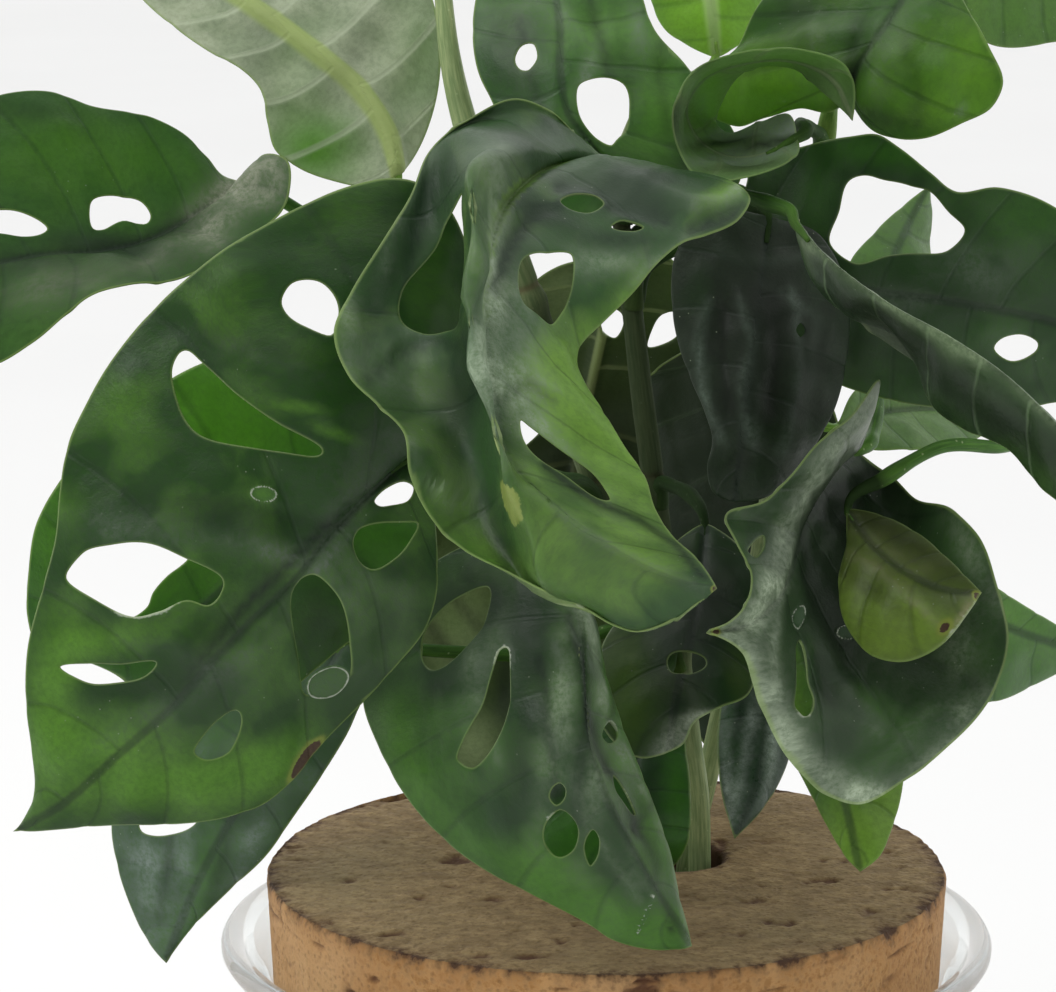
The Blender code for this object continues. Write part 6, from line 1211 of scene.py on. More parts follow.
    # leaf_23 lies deep in the middle of the plant: its colours are darkened all over as painted shade
    "leaf_23": dict(
        veins=6, deep="#1f2e1b", lit="#32502a", film="#6e7f70", trans="#1c3812", clear=0.12, dark="#161d14", thread=0.2, line=0.0, quilt=0.6, curl=1.0, crumple=1.3, pleat=0.4, rough=0.44, bloom_and_sheen=0.02,
        lines={
            0: [(770, 217, 22), (762, 280, 27), (752, 350, 31), (742, 430, 33), (735, 502, 30)],
            -1: [(770, 217, 22), (714, 212, 22), (680, 244, 24), (672, 300, 26), (679, 345, 27), (691, 378, 29), (705, 410, 31), (713, 442, 32), (708, 468, 33), (714, 492, 32), (735, 502, 30)],
            1: [(770, 217, 22), (815, 232, 19), (845, 290, 19), (850, 350, 20), (828, 420, 23), (795, 470, 27), (765, 497, 30), (735, 502, 30)],
        },
        shade=[(750, 360, 90, 140, 0, 0.5), (765, 300, 30, 30, 0, 0.5)],
        dust_and_sheen=[(700, 425, 22, 10, 60, 0.35), (745, 375, 12, 4, 100, 0.7), (755, 410, 5, 50, 0, 0.4), (790, 300, 30, 4, 30, 0.5), (812, 360, 6, 40, 10, 0.3)],
        painted_glow=[(700, 300, 14, 30, 10, 0.7), (820, 270, 16, 30, 0, 0.4)],
        folds=[([(708, 300), (700, 340), (704, 390), (722, 440)], 7, 1.0, 0.8), ([(740, 300), (752, 340), (742, 390), (748, 440)], 7, 0.9, 0.7), ([(724, 310), (722, 360), (730, 410)], 8, -0.9, -0.6), ([(790, 290), (800, 340), (792, 400), (778, 450)], 8, 0.9, 0.5), ([(772, 300), (776, 350), (768, 410)], 8, -0.9, -0.6), ([(720, 250), (760, 262), (810, 256)], 9, 0.6, 0.25)],
    ),
    "leaf_24": dict(veins=5, dust_and_sheen=[(905, 240, 20, 40, 30, 0.5)], line=0.3),
    # leaf_25 and leaf_26 hang at the back of the middle: their colours are darkened as painted shade
    "leaf_25": dict(veins=8, under="#4c6032", deep="#2c4020", lit="#a8b886", trans="#628c30", under_vein="#98aa70", clear=0.26, quilt=1.0, painted_glow=[(455, 615, 34, 50, 20, 1.1), (470, 745, 26, 30, 0, 0.8), (640, 700, 22, 60, 0, 0.35), (560, 290, 30, 30, 0, 0.4)], shade=[(620, 470, 60, 110, 0, 0.8), (505, 690, 12, 40, 0, 0.9), (660, 620, 30, 60, 0, 0.3), (560, 460, 50, 60, 0, 0.6), (440, 640, 60, 7, 50, 0.6), (466, 612, 60, 6, 50, 0.5)]),
    "leaf_26": dict(veins=7, under="#2c3f26", deep="#1f2e1c", lit="#3a5a28", trans="#2c5016", under_vein="#3c5234", under_rib="#44583a", clear=0.16, crumple=1.2, pleat=0.4, quilt=1.2, shade=[(750, 480, 80, 120, 0, 0.6), (720, 640, 40, 60, 0, 0.5)], dust_and_sheen=[(700, 500, 8, 60, 10, 0.4)]),
}


def leaf_material(name, look):
    n = Nodes(name)
    flat = n.attr("flat_mm", True)
    paint = n.new("ShaderNodeSeparateXYZ", {0: n.attr("paint", True)})
    vein = n.new("ShaderNodeSeparateXYZ", {0: n.attr("vein", True)})
    mark = n.new("ShaderNodeSeparateXYZ", {0: n.attr("mark", True)})
    cloud = n.new("ShaderNodeSeparateXYZ", {0: n.attr("cloud", True)})
    edge, side = n.attr("edge"), n.attr("side")
    # the paint attribute: painted light, grey bloom with painted sheen, painted shade
    painted_glow, dust_and_sheen, shade = paint.outputs[0], paint.outputs[1], paint.outputs[2]
    broad, patch, spot = cloud.outputs[0], cloud.outputs[1], cloud.outputs[2]
    # distance to the nearest side vein and to the midrib, in mm
    to_vein = n.math("MULTIPLY", n.math("PINGPONG", vein.outputs[0], 0.5), vein.outputs[1])
    to_rib = n.math("ABSOLUTE", vein.outputs[2])
    fine = n.noise(flat, 0.95, 3.0, 0.78)
    # colour of the upper side
    # painted light: brighter where the glow spots lie, and at random
    bright = n.math("ADD", painted_glow, n.ramp(broad, -0.45, 0.55, -0.12, 0.20))
    bright = n.math("ADD", bright, n.ramp(patch, -0.5, 0.5, -0.12, 0.12), clamp=True)
    upper = n.mix(bright, lin(look["deep"]), lin(look["lit"]))
    upper = n.mix(n.ramp(fine, 0.36, 0.70, 0.0, 0.32), upper, lin("#0a180b"))
    # side veins: a faint thread in a soft furrow
    thread = n.ramp(to_vein, 0.08, 0.50, 1.0, 0.0)
    upper = n.mix(n.math("MULTIPLY", thread, look.get("thread", 0.24)), upper, lin(look.get("thread_tone", "#16301a")))
    rib = n.ramp(to_rib, look.get("rib_wide", 0.6) * 0.5, look.get("rib_wide", 0.6) * 1.6, 1.0, 0.0)
    upper = n.mix(n.math("MULTIPLY", rib, look.get("rib", 0.55)), upper, lin(look.get("rib_tone", "#18291c")))
    # grey bloom, and painted sheen where the dust spots lie
    film = n.ramp(patch, -0.5, 0.55, 0.45, 1.0)
    film = n.math("MULTIPLY", film, n.ramp(fine, 0.28, 0.68, 0.42, 1.0))
    film = n.math("MULTIPLY", film, n.math("ADD", dust_and_sheen, look["bloom_and_sheen"]), clamp=True)
    upper = n.mix(film, upper, lin(look.get("film", "#728270")))
    # colour of the under side
    lower = n.mix(n.ramp(patch, -0.4, 0.6, 0.0, 0.35), lin(look["under"]), lin(look["deep"]))
    # painted light on the under side too, where the glow spots lie
    lower = n.mix(painted_glow, lower, lin(look["lit"]))
    lower = n.mix(n.math("MULTIPLY", film, look.get("film_under", 0.0)), lower, lin(look.get("film", "#728270")))
    lower = n.mix(n.ramp(fine, 0.35, 0.7, 0.0, 0.25), lower, lin("#2c3c24"))
    lower = n.mix(n.ramp(to_vein, 0.25, 0.9, 0.50, 0.0), lower, lin(look.get("under_vein", "#a4b684")))
    wide = look.get("keel", 1.0)
    lower = n.mix(n.ramp(to_rib, 0.55 * wide, 1.15 * wide, 0.9, 0.0), lower, lin(look.get("under_rib", "#a9bd78")))
    colour = n.mix(n.ramp(side, 0.35, 0.65), upper, lower)
    # painted shade: darker towards the dark tone where the shade spots lie
    colour = n.mix(n.math("MULTIPLY", shade, 0.80, clamp=True), colour, lin(look.get("dark", "#17241a")))
    # scars, dried drops and dead tissue
    colour = n.mix(n.math("MULTIPLY", mark.outputs[1], 0.40), colour, lin("#4c6a48"))
    scratch = n.ramp(n.math("ADD", mark.outputs[0], n.ramp(fine, 0.3, 0.7, -0.25, 0.1)), 0.35, 0.9)
    colour = n.mix(n.math("MULTIPLY", scratch, 0.85), colour, lin("#c6cfbc"))
    halo = n.ramp(mark.outputs[2], 0.16, 0.44, 0.0, 0.85)
    colour = n.mix(halo, colour, lin("#8a9642"))
    dying = n.math("ADD", mark.outputs[2], n.ramp(fine, 0.2, 0.8, -0.10, 0.10))
    sear = n.ramp(dying, 0.50, 0.60)
    colour = n.mix(sear, colour, n.mix(fine, lin("#2a1c12"), lin("#64503a")))
    torn_off = n.ramp(n.math("ADD", n.attr("scar"), n.ramp(fine, 0.2, 0.8, -0.35, 0.35)), 0.42, 0.62, 0.0, 0.85)
    colour = n.mix(torn_off, colour, n.mix(fine, lin("#7f9440"), lin("#b9c470")))
    # the pale line of the margin: partly its own paler rim, partly a painted highlight where the edge catches light
    line = n.ramp(edge, 0.04, look.get("line_wide", 0.34), 1.0, 0.0)
    colour = n.mix(n.math("MULTIPLY", line, look.get("line", 0.52)), colour, lin(look.get("line_tone", "#93ac62")))
    # small pale specks
    specks = n.new("ShaderNodeTexVoronoi", {"Vector": flat, "Scale": 0.22, "Randomness": 1.0}, feature="F1", voronoi_dimensions="2D")
    dots = n.math("MULTIPLY", n.ramp(specks.outputs[0], 0.012, 0.034, 1.0, 0.0), n.ramp(spot, 0.18, 0.40))
    colour = n.mix(n.math("MULTIPLY", dots, 0.45), colour, lin("#b4c0a4"))
    # surface relief
    height = n.math("ADD", n.math("MULTIPLY", thread, -0.8), fine)
    height = n.math("ADD", height, n.math("MULTIPLY", mark.outputs[0], 1.2))
    relief = n.bump(height, look.get("relief", 0.50), 0.00020)
    rough = n.ramp(fine, 0.2, 0.8, look.get("rough", 0.33) - 0.04, look.get("rough", 0.33) + 0.12)
    rough = n.math("ADD", rough, n.math("MULTIPLY", film, 0.20))
    rough = n.math("ADD", rough, n.math("MULTIPLY", n.ramp(side, 0.35, 0.65), 0.14), clamp=True)
    skin = n.shader(Base_Color=colour, Roughness=rough, Normal=relief, IOR=1.42, Specular_IOR_Level=look.get("spec", 0.42))
    through = n.mix(n.ramp(to_vein, 0.15, 0.8, 0.30, 0.0), lin(look["trans"]), lin(look["deep"]))
    through = n.mix(n.ramp(to_rib, 0.5, 1.3, 0.65, 0.0), through, lin(look["deep"]))
    # painted shade also darkens the light that passes through
    through = n.mix(n.math("MULTIPLY", shade, 0.9, clamp=True), through, lin("#0c180a"))
    through = n.mix(sear, through, lin("#3a2010"))
    sheer = n.new("ShaderNodeBsdfTranslucent", {"Color": through})
    # painted light: the glow spots also let more light through
    fac = n.math("ADD", look["clear"] * 0.8, n.math("MULTIPLY", painted_glow, 0.24))
    fac = n.math("SUBTRACT", fac, n.math("MULTIPLY", film, 0.15), clamp=True)
    both = n.new("ShaderNodeMixShader", {0: fac, 1: skin.outputs[0], 2: sheer.outputs[0]})
    return n.finish(both.outputs[0])


def dried_film(blade, item, at, normal, level):
    """A thin closed lens with a raised rim, lying on the blade and over the hole beside it."""
    u, v, ru, rv, turn = item
    centre = np.array(blade.find(u, v))
    uv0 = elevation(blade.at([centre[0]], [centre[1]]))[0]
    e = 1e-3
    a = (elevation(blade.at([centre[0] + e], [centre[1]]))[0] - uv0) / e
    b = (elevation(blade.at([centre[0]], [centre[1] + e]))[0] - uv0) / e
    inv = np.linalg.inv(np.stack([a, b], axis=1))
    shares = (0.2, 0.4, 0.6, 0.74, 0.84, 0.9, 0.95, 1.0, 1.05, 1.1)
    n = 60
    ang = np.arange(n) * 2 * math.pi / n
    uneven = 1 + 0.03 * np.sin(2 * ang + 1) + 0.015 * np.sin(5 * ang)
    c, d = math.cos(turn), math.sin(turn)
    st, share = [centre[None]], [np.zeros(1)]
    for x in shares:
        p, q = ru * x * np.cos(ang) * uneven, rv * x * np.sin(ang) * uneven
        st.append(centre + np.stack([p * c - q * d, p * d + q * c], axis=1) @ inv.T)
        share.append(np.full(n, x))
    st, share = np.concatenate(st), np.concatenate(share)
    base = blade.at(st[:, 0], st[:, 1])
    j = np.arange(n)
    k = (j + 1) % n
    tris = [np.stack([np.zeros(n, int), 1 + j, 1 + k], axis=1)]
    for r in range(len(shares) - 1):
        i, o = 1 + r * n, 1 + (r + 1) * n
        tris += [np.stack([i + j, o + j, o + k], axis=1), np.stack([i + j, o + k, i + k], axis=1)]
    tris = np.concatenate(tris)
    up = vertex_normals(base, tris)
    near = np.linalg.norm(at - base[0], axis=1) < 0.012
    gap = np.linalg.norm(base[:, None] - at[near][None], axis=2) + 1e-4
    weight = gap**-3
    weight /= weight.sum(axis=1, keepdims=True)
    if (up[0] @ normal[near][np.argmin(gap[0])]) < 0:
        up, tris = -up, tris[:, ::-1]
    lift = weight @ level[near] + 0.06 + 0.16 * np.clip(1 - share**2, 0, 1) + 0.22 * np.exp(-(((share - 1) / 0.05) ** 2))
    top = base + up * (lift / 1000.0)[:, None]
    low = base + up * ((lift - 0.10) / 1000.0)[:, None]
    m = len(base)
    rim = m - n + j
    last = m - n + k
    wall = np.concatenate([np.stack([rim, rim + m, last + m], axis=1), np.stack([rim, last + m, last], axis=1)])
    faces = np.concatenate([tris, tris[:, ::-1] + m, wall])
    return np.concatenate([top, low]), faces, np.tile(share, 2), np.tile(blade.flat(st[:, 0], st[:, 1]), (2, 1))


def cloudy(flat, seed, scale, octaves):
    out = np.empty(len(flat))
    for i, p in enumerate(flat):
        out[i] = noise.fractal((p[0] * scale + seed, p[1] * scale - seed, 0.37 * seed), 0.9, 2.1, octaves)
    return out


def build_leaf(name, leaf, index):
    look = dict(TONES[leaf["tone"]], veins=6, quilt=0.55, curl=0.45)
    look.update(LOOKS.get(name, {}))
    leaf = dict(leaf, **{key: look[key] for key in ("lines", "slots") if key in look})
    blade = Blade(leaf["lines"], leaf.get("arch", (0.06, 0.06)), leaf.get("wave", (0.0, 3.0, 0.0)))
    rings, sear, scars = look.get("rings", ()), look.get("sear", ()), look.get("scars", ())
    spots = list(rings) + [(u, v, ru, rv, math.radians(a)) for u, v, ru, rv, a, *_ in list(sear) + list(scars)]
    st, flat, far, tris = fine_mesh(blade, leaf["holes"], leaf.get("slots", ()), spots)
    s, t = st[:, 0], st[:, 1]
    at = blade.at(s, t)
    normal = vertex_normals(at, tris)
    uv = elevation(at)
    s_at, wide = half_widths(blade)
    reach = np.where(t < 0, np.interp(s, s_at, wide[-1]), np.interp(s, s_at, wide[1]))
    rib = np.abs(t) * reach * 1000.0  # mm
    count = look["veins"]
    phase = count * (s - look.get("lean", 0.07) * np.abs(t) ** 1.6) + 0.35 + 0.06 * np.sin(9 * s + index)
    phase = phase + np.where(t < 0, 0.45, 0.0)
    per = blade.length * 1000.0 / count
    to_vein = np.abs(phase - np.round(phase)) * per
    edge = far * 1000.0
    outline = blade.flat(*np.array([(0.0, 0.0)] + [(a, -1.0) for a in np.linspace(0, 1, 160)] + [(a, 1.0) for a in np.linspace(1, 0, 160)]).T)
    own = loop_distance(flat, [outline]) * 1000.0
    # relief, in mm
    inner = smooth(0.8, 5.0, rib) * smooth(0.3, 5.0, edge)
    swell = look["quilt"] * (np.sin(math.pi * phase) ** 2 - 0.45) * inner
    swell -= 0.16 * np.exp(-((to_vein / 1.1) ** 2)) * smooth(1.0, 3.0, rib)
    ripple = look["curl"] * wobble(at, 62.0, 3.1 * index + 1.7) * (1 - smooth(1.0, 9.0, edge)) * smooth(0.0, 0.06, s) * smooth(0.0, 0.05, 1 - s)
    swell += ripple + 0.42 * wobble(at, 150.0, 1.3 * index + 9.2) * inner
    # long pleats that run with the midrib, and soft crumpling
    across = np.sign(t) * rib
    for scale, part in ((0.24, 0.65), (0.55, 0.35)):
        pleat = wobble(np.stack([s * blade.length * 26.0, across * scale, np.full(len(s), 0.3 * index)], axis=1), 1.0, 5.3 * index + scale)
        swell += look.get("pleat", 0.12) * 1.6 * part * pleat * inner
    if "crumple" in look:
        swell += look["crumple"] * wobble(at, 75.0, 2.9 * index + 4.4) * smooth(0.0, 4.0, edge)
    # fold lines raise crests and sink valleys; each also paints a highlight along it where pale is above 0, and shade
    # where below
    folds = np.zeros(len(s))
    for line, soft, height, pale, *part in look.get("folds", ()):
        d = line_distance(uv, line)
        d = np.where((t >= part[0]) & (t <= part[1]), d, 1e9) if part else d
        swell += height * np.exp(-(np.sqrt(d * d + 2.0) / soft)) * smooth(0.2, 2.5, edge)
        folds += pale * np.exp(-((d / (0.7 * soft)) ** 2))
    groove = -look.get("groove", 0.36) * np.exp(-((rib / 0.75) ** 2)) * (1 - 0.6 * s)
    wide = look.get("keel", 1.0)
    keel = wide * (1.05 - 0.75 * s) * np.exp(-((rib / (wide * (1.15 - 0.5 * s))) ** 2)) * smooth(-0.02, 0.03, s)
    keel += 0.16 * np.exp(-((to_vein / 0.7) ** 2)) * smooth(0.6, 2.0, rib)
    line, fill = ring_marks(uv, rings, 0.12)
    # pale ragged rims at torn edges: partly the torn tissue's own colour, partly painted glints where lit edges catch
    # light
    torn_and_glint = np.clip(blobs(uv, t, look.get("torn_and_glint", ())), 0, 1.3)
    ragged = torn_and_glint * np.exp(-((edge / (0.35 + 0.5 * np.clip(wobble(at, 900.0, index + 0.5), 0, 1))) ** 2))
    line = np.maximum(line, np.clip(ragged, 0, 1))
    bead = 0.16 * line + 0.05 * fill
    half = 0.5 * THICK * 1000.0 * (1.0 - 0.25 * np.exp(-edge / 0.25))
    top = at + normal * ((swell + groove + bead + half) / 1000.0)[:, None]
    low = at + normal * ((swell - keel - half) / 1000.0)[:, None]
    # the rounded rim
    seen = set()
    for a, b, c in tris.tolist():
        seen.update(((a, b), (b, c), (c, a)))
    third = {}
    for a, b, c in tris.tolist():
        for p, q, r in ((a, b, c), (b, c, a), (c, a, b)):
            if (q, p) not in seen:
                third[(p, q)] = r
    bounds = np.array(list(third.keys()))
    tip = np.array(list(third.values()))
    ring_ids = np.unique(bounds)
    where = {int(v): i for i, v in enumerate(ring_ids)}
    along = at[bounds[:, 1]] - at[bounds[:, 0]]
    away = 0.5 * (at[bounds[:, 0]] + at[bounds[:, 1]]) - at[tip]
    away -= unit(along) * (away * unit(along)).sum(axis=1, keepdims=True)
    away = unit(away)
    push = np.zeros((len(ring_ids), 3))
    for col in (0, 1):
        ids = np.array([where[int(v)] for v in bounds[:, col]])
        np.add.at(push, ids, away)
    push = unit(push)
    brim = 0.5 * (top[ring_ids] + low[ring_ids]) + push * 0.00013
    n = len(at)
    brim_of = {int(v): 2 * n + i for i, v in enumerate(ring_ids)}
    verts = np.concatenate([top, low, brim])
    quads = []
    for a, b in bounds.tolist():
        ma, mb = brim_of[a], brim_of[b]
        quads += [(b, a, ma, mb), (mb, ma, a + n, b + n)]
    faces = np.concatenate([tris, tris[:, ::-1] + n])

    films = [dried_film(blade, item, at, normal, swell + half) for item in look.get("films", ())]
    extra = sum(len(film[0]) for film in films)
    for film in films:
        faces = np.concatenate([faces, film[1] + len(verts)])
        verts = np.concatenate([verts, film[0]])

    def spread(values, more=0.0):
        parts = [values, values, values[ring_ids]]
        if extra:
            parts.append(np.broadcast_to(np.asarray(more, float), (extra,) + values.shape[1:]))
        return np.concatenate(parts)

    # painted light, grey bloom with painted sheen, and painted shade from the spots, with the fold lines' painted
    # highlights and shade
    painted_glow = np.clip(blobs(uv, t, look.get("painted_glow", ())), 0, 1)
    dust_and_sheen = np.clip(blobs(uv, t, look.get("dust_and_sheen", ())) + np.maximum(folds, 0), -1, 1)
    shade = np.clip(blobs(uv, t, look.get("shade", ())) - np.minimum(folds, 0), 0, 1)
    dead = np.clip(blobs(uv, t, sear), 0, 1)
    scar = np.zeros(len(s))
    for u, v, ru, rv, a in scars:
        _, fill_in = ring_marks(uv, [(u, v, ru, rv, math.radians(a))], 0.1)
        scar = np.maximum(scar, fill_in)
    signed = np.sign(t) * rib
    seed = 7.3 * index
    cloud = np.stack([cloudy(flat, seed, 38.0, 3), cloudy(flat, seed + 3.1, 150.0, 4), cloudy(flat, seed + 5.7, 70.0, 1)], axis=1)
    attrs = {
        "cloud": spread(cloud),
        "flat_mm": spread(np.stack([flat[:, 0] * 1000 + 37.0 * index, flat[:, 1] * 1000, np.full(n, 11.0 * index)], axis=1)),
        "vein": spread(np.stack([phase, np.full(n, per), signed], axis=1), (0.5, per, 30.0)),
        "paint": spread(np.stack([painted_glow, dust_and_sheen, shade], axis=1), (0.25, 0.55, 0.0)),
        "mark": spread(np.stack([line, fill, dead], axis=1)),
        "edge": spread(np.minimum(own, edge + 0.14), 9.0),
        "scar": spread(scar),
        "side": np.concatenate([np.zeros(n), np.ones(n), np.full(len(ring_ids), 0.5)]),
    }
    if extra:
        share = np.concatenate([film[2] for film in films])
        place = np.concatenate([film[3] for film in films]) * 1000
        attrs["flat_mm"][-extra:] = np.stack([place[:, 0] + 37.0 * index, place[:, 1], np.full(extra, 11.0 * index)], axis=1)
        attrs["mark"][-extra:, 0] = np.exp(-(((share - 0.99) / 0.06) ** 2)) + 0.45 * np.exp(-(((share - 0.8) / 0.07) ** 2))
        attrs["mark"][-extra:, 1] = 0.5
        attrs["side"] = np.concatenate([attrs["side"], np.zeros(extra)])
    mat = leaf_material("m_" + name, look)
    ob = new_object("blade_" + name[-2:], verts, faces, mat, quads=quads, attrs=attrs)
    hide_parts(name)
    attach(ob, "root")
    return blade, len(faces) + 2 * len(quads)


# ------------------------------------------------------------ stalks and stems


def swept(path, radius, sides, step, shape=None):
    """Rings of a tube along a smooth path. radius(x) by share, shape(x, angle) a factor."""
    p = np.array(path, float)
    c = np.concatenate([[0], np.cumsum(np.linalg.norm(np.diff(p, axis=0), axis=1))])
    long = c[-1]
    c = c / long
    m = slopes(c, p)
    samples = max(8, int(long / step))
    x = np.linspace(0, 1, samples)
    i = np.clip(np.searchsorted(c, x, side="right") - 1, 0, len(c) - 2)
    h = (c[i + 1] - c[i])[:, None]
    at = blend((x[:, None] - c[i][:, None]) / h, h, p[i], p[i + 1], m[i], m[i + 1])
    along = unit(np.gradient(at, axis=0))
    side = unit(np.cross(along[0], [0.31, 0.95, 0.07]))
    rings = np.empty((samples, sides, 3))
    ang = 2 * math.pi * np.arange(sides) / sides
    for k in range(samples):
        side = unit(side - along[k] * (side @ along[k]))
        other = np.cross(along[k], side)
        r = radius(x[k]) * (shape(x[k], ang) if shape else 1.0)
        rings[k] = at[k] + (np.cos(ang) * r)[:, None] * side + (np.sin(ang) * r)[:, None] * other
    return rings, at, along, long


def tube_object(name, rings, mat, attrs=None):
    samples, sides = rings.shape[:2]
    verts = rings.reshape(-1, 3)
    caps = np.stack([rings[0].mean(axis=0), rings[-1].mean(axis=0)])
    n = len(verts)
    verts = np.concatenate([verts, caps])
    j = np.arange(sides)
    k = (j + 1) % sides
    tris = np.concatenate([
        np.stack([np.full(sides, n), k, j], axis=1),
        np.stack([np.full(sides, n + 1), n - sides + j, n - sides + k], axis=1),
    ])
    quads = grid_quads(samples, sides)
    extra = {}
    for key, values in (attrs or {}).items():
        extra[key] = np.concatenate([values, values[:1], values[-1:]])
    return new_object(name, verts, tris, mat, quads=quads, attrs=extra)


def stalk_material(name, pale, deep, blush):
    n = Nodes(name)
    at = n.attr("run_mm", True)
    tips, painted_shade = n.attr("tint"), n.attr("painted_shade")
    streak = n.new("ShaderNodeMapping", {"Vector": at, "Scale": (1.4, 1.4, 0.10)})
    lines = n.noise(streak.outputs[0], 1.6, 4.0, 0.6)
    cloud = n.noise(at, 0.12, 3.0, 0.6)
    fine = n.noise(at, 3.5, 2.0, 0.5)
    colour = n.mix(n.ramp(lines, 0.3, 0.7), lin(deep), lin(pale))
    colour = n.mix(n.ramp(cloud, 0.35, 0.75, 0.0, 0.55), colour, lin(deep))
    colour = n.mix(n.math("MULTIPLY", tips, 0.8, clamp=True), colour, lin(blush))
    spots = n.new("ShaderNodeTexVoronoi", {"Vector": at, "Scale": 0.55}, feature="F1")
    colour = n.mix(n.ramp(spots.outputs[0], 0.05, 0.16, 0.4, 0.0), colour, lin("#c2cfa0"))
    # painted shade: darker and rougher where a stem lies in shade among the leaves
    colour = n.mix(n.math("MULTIPLY", painted_shade, 0.90, clamp=True), colour, lin("#14220e"))
    height = n.math("ADD", n.math("MULTIPLY", lines, 1.0), n.math("MULTIPLY", fine, 0.4))
    relief = n.bump(height, 0.5, 0.00018)
    rough = n.math("ADD", n.ramp(cloud, 0.3, 0.7, 0.38, 0.52), n.math("MULTIPLY", painted_shade, 0.35), clamp=True)
    skin = n.shader(Base_Color=colour, Roughness=rough, Normal=relief, IOR=1.42, Specular_IOR_Level=0.16)
    return n.finish(skin.outputs[0])


# Painted shade on stems and stalks: spots on the elevation where they are darkened, deep among the leaves.
PAINTED_SHADE_SPOTS = [
    (645, 420, 70, 160, 0, 1.5), (560, 330, 60, 80, 0, 0.9), (745, 225, 60, 34, 20, 1.3), (668, 620, 40, 90, 0, 0.9),
    (850, 492, 26, 26, 0, 1.4), (868, 484, 20, 12, 0, 0.9), (700, 480, 50, 40, 0, 1.2), (600, 230, 70, 50, 0, 1.0),
    (800, 130, 40, 26, 0, 0.8), (480, 560, 90, 120, 0, 0.9), (380, 430, 60, 60, 0, 0.8), (700, 545, 60, 60, 0, 1.0),
]


def painted_shade_attr(rings):
    flat = rings.reshape(-1, 3)
    return np.clip(blobs(elevation(flat), np.zeros(len(flat)), PAINTED_SHADE_SPOTS), 0, 1)


def run_attr(rings, long):
    """Unrolled place on a tube in mm: round it, and along it."""
    samples, sides = rings.shape[:2]
    ang = 2 * math.pi * np.arange(sides) / sides
    r = np.linalg.norm(rings - rings.mean(axis=1, keepdims=True), axis=2) * 1000
    x = np.linspace(0, long * 1000, samples)
    out = np.empty((samples, sides, 3))
    out[..., 0] = np.cos(ang) * r
    out[..., 1] = np.sin(ang) * r
    out[..., 2] = x[:, None]
    return out.reshape(-1, 3)


def build_stem(name, stem, forks, mat):
    """The vine's stem, with a swollen node and a scar at each stalk."""
    path = [np.array(p) for p in stem["foot"]] + [sight(*p) for p in stem["rise"]]
    base = np.array(stem["radii"])
    xs = np.linspace(0, 1, len(base))
    probe, at, _, long = swept(path, lambda x: 0.002, 6, 0.0006)
    share = np.linspace(0, 1, len(at))
    knots = sorted(share[np.argmin(np.linalg.norm(at - f, axis=1))] for f in forks)
    low = share[np.argmin(np.abs(at[:, 2] - CORK_TOP_Z))]
    knots += [low * 0.25, low * 0.62]
    gap = 0.0013 / long

    def radius(x):
        r = float(np.interp(x, xs, base))
        for k in knots:
            d = (x - k) * long
            r += 0.00046 * math.exp(-((d / 0.0019) ** 2))
            r -= 0.00022 * math.exp(-(((d - 0.0030) / 0.0005) ** 2))
        return r * (1 - 0.6 * float(smooth(0.97, 1.0, x)))

    def shape(x, ang):
        return 1.0 + 0.035 * np.cos(2 * ang + 9 * x) + 0.018 * np.cos(5 * ang - 14 * x)

    rings, at, _, long = swept(path, radius, 20, 0.0005, shape)
    share = np.linspace(0, 1, len(at))
    tint = np.zeros(len(at))
    for k in knots:
        tint = np.maximum(tint, np.exp(-((((share - k) * long - 0.003) / 0.0006) ** 2)))
    attrs = {"run_mm": run_attr(rings, long), "tint": np.repeat(tint, rings.shape[1]), "painted_shade": painted_shade_attr(rings)}
    ob = tube_object("vine_" + name, rings, mat, attrs)
    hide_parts(name)
    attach(ob, "root")
    return ob


def stem_axis(stem):
    path = [np.array(p) for p in stem["foot"]] + [sight(*p) for p in stem["rise"]]
    _, at, along, _ = swept(path, lambda x: 0.002, 6, 0.0006)
    return at, along


def stalk_route(leaf, blade, stems):
    """As the CAD stalk runs, but on into the stem and on under the midrib."""
    base = blade.at([0.0], [0.0])[0]
    lead = blade.ahead(np.array([0.012]))[0]
    route = [sight(*p) for p in leaf["stalk"]]
    back = unit(route[-1] - base)
    end = base + unit(back - 0.4 * lead) * 0.0009
    axis, along = min(
        ((at[i], al[i]) for at, al in stems for i in range(2, len(at) - 2)),
        key=lambda found: np.linalg.norm(found[0] - route[0]),
    )
    lean = unit(route[1] - axis)
    out = unit(lean - along * (lean @ along))
    if along[2] < 0:
        along = -along
    sheath = axis + out * 0.0027 + along * 0.0018
    s = np.array([0.02, 0.05, 0.09])
    mid = blade.at(s, np.zeros(3))
    side = blade.at(s, np.full(3, 0.04))
    up = unit(np.cross(blade.ahead(s), side - mid))
    under = [mid[i] - up[i] * (0.00075 - 0.0001 * i) for i in range(3)]
    return axis, [axis + out * 0.0006 - along * 0.0030, sheath] + route[1:] + [end] + under


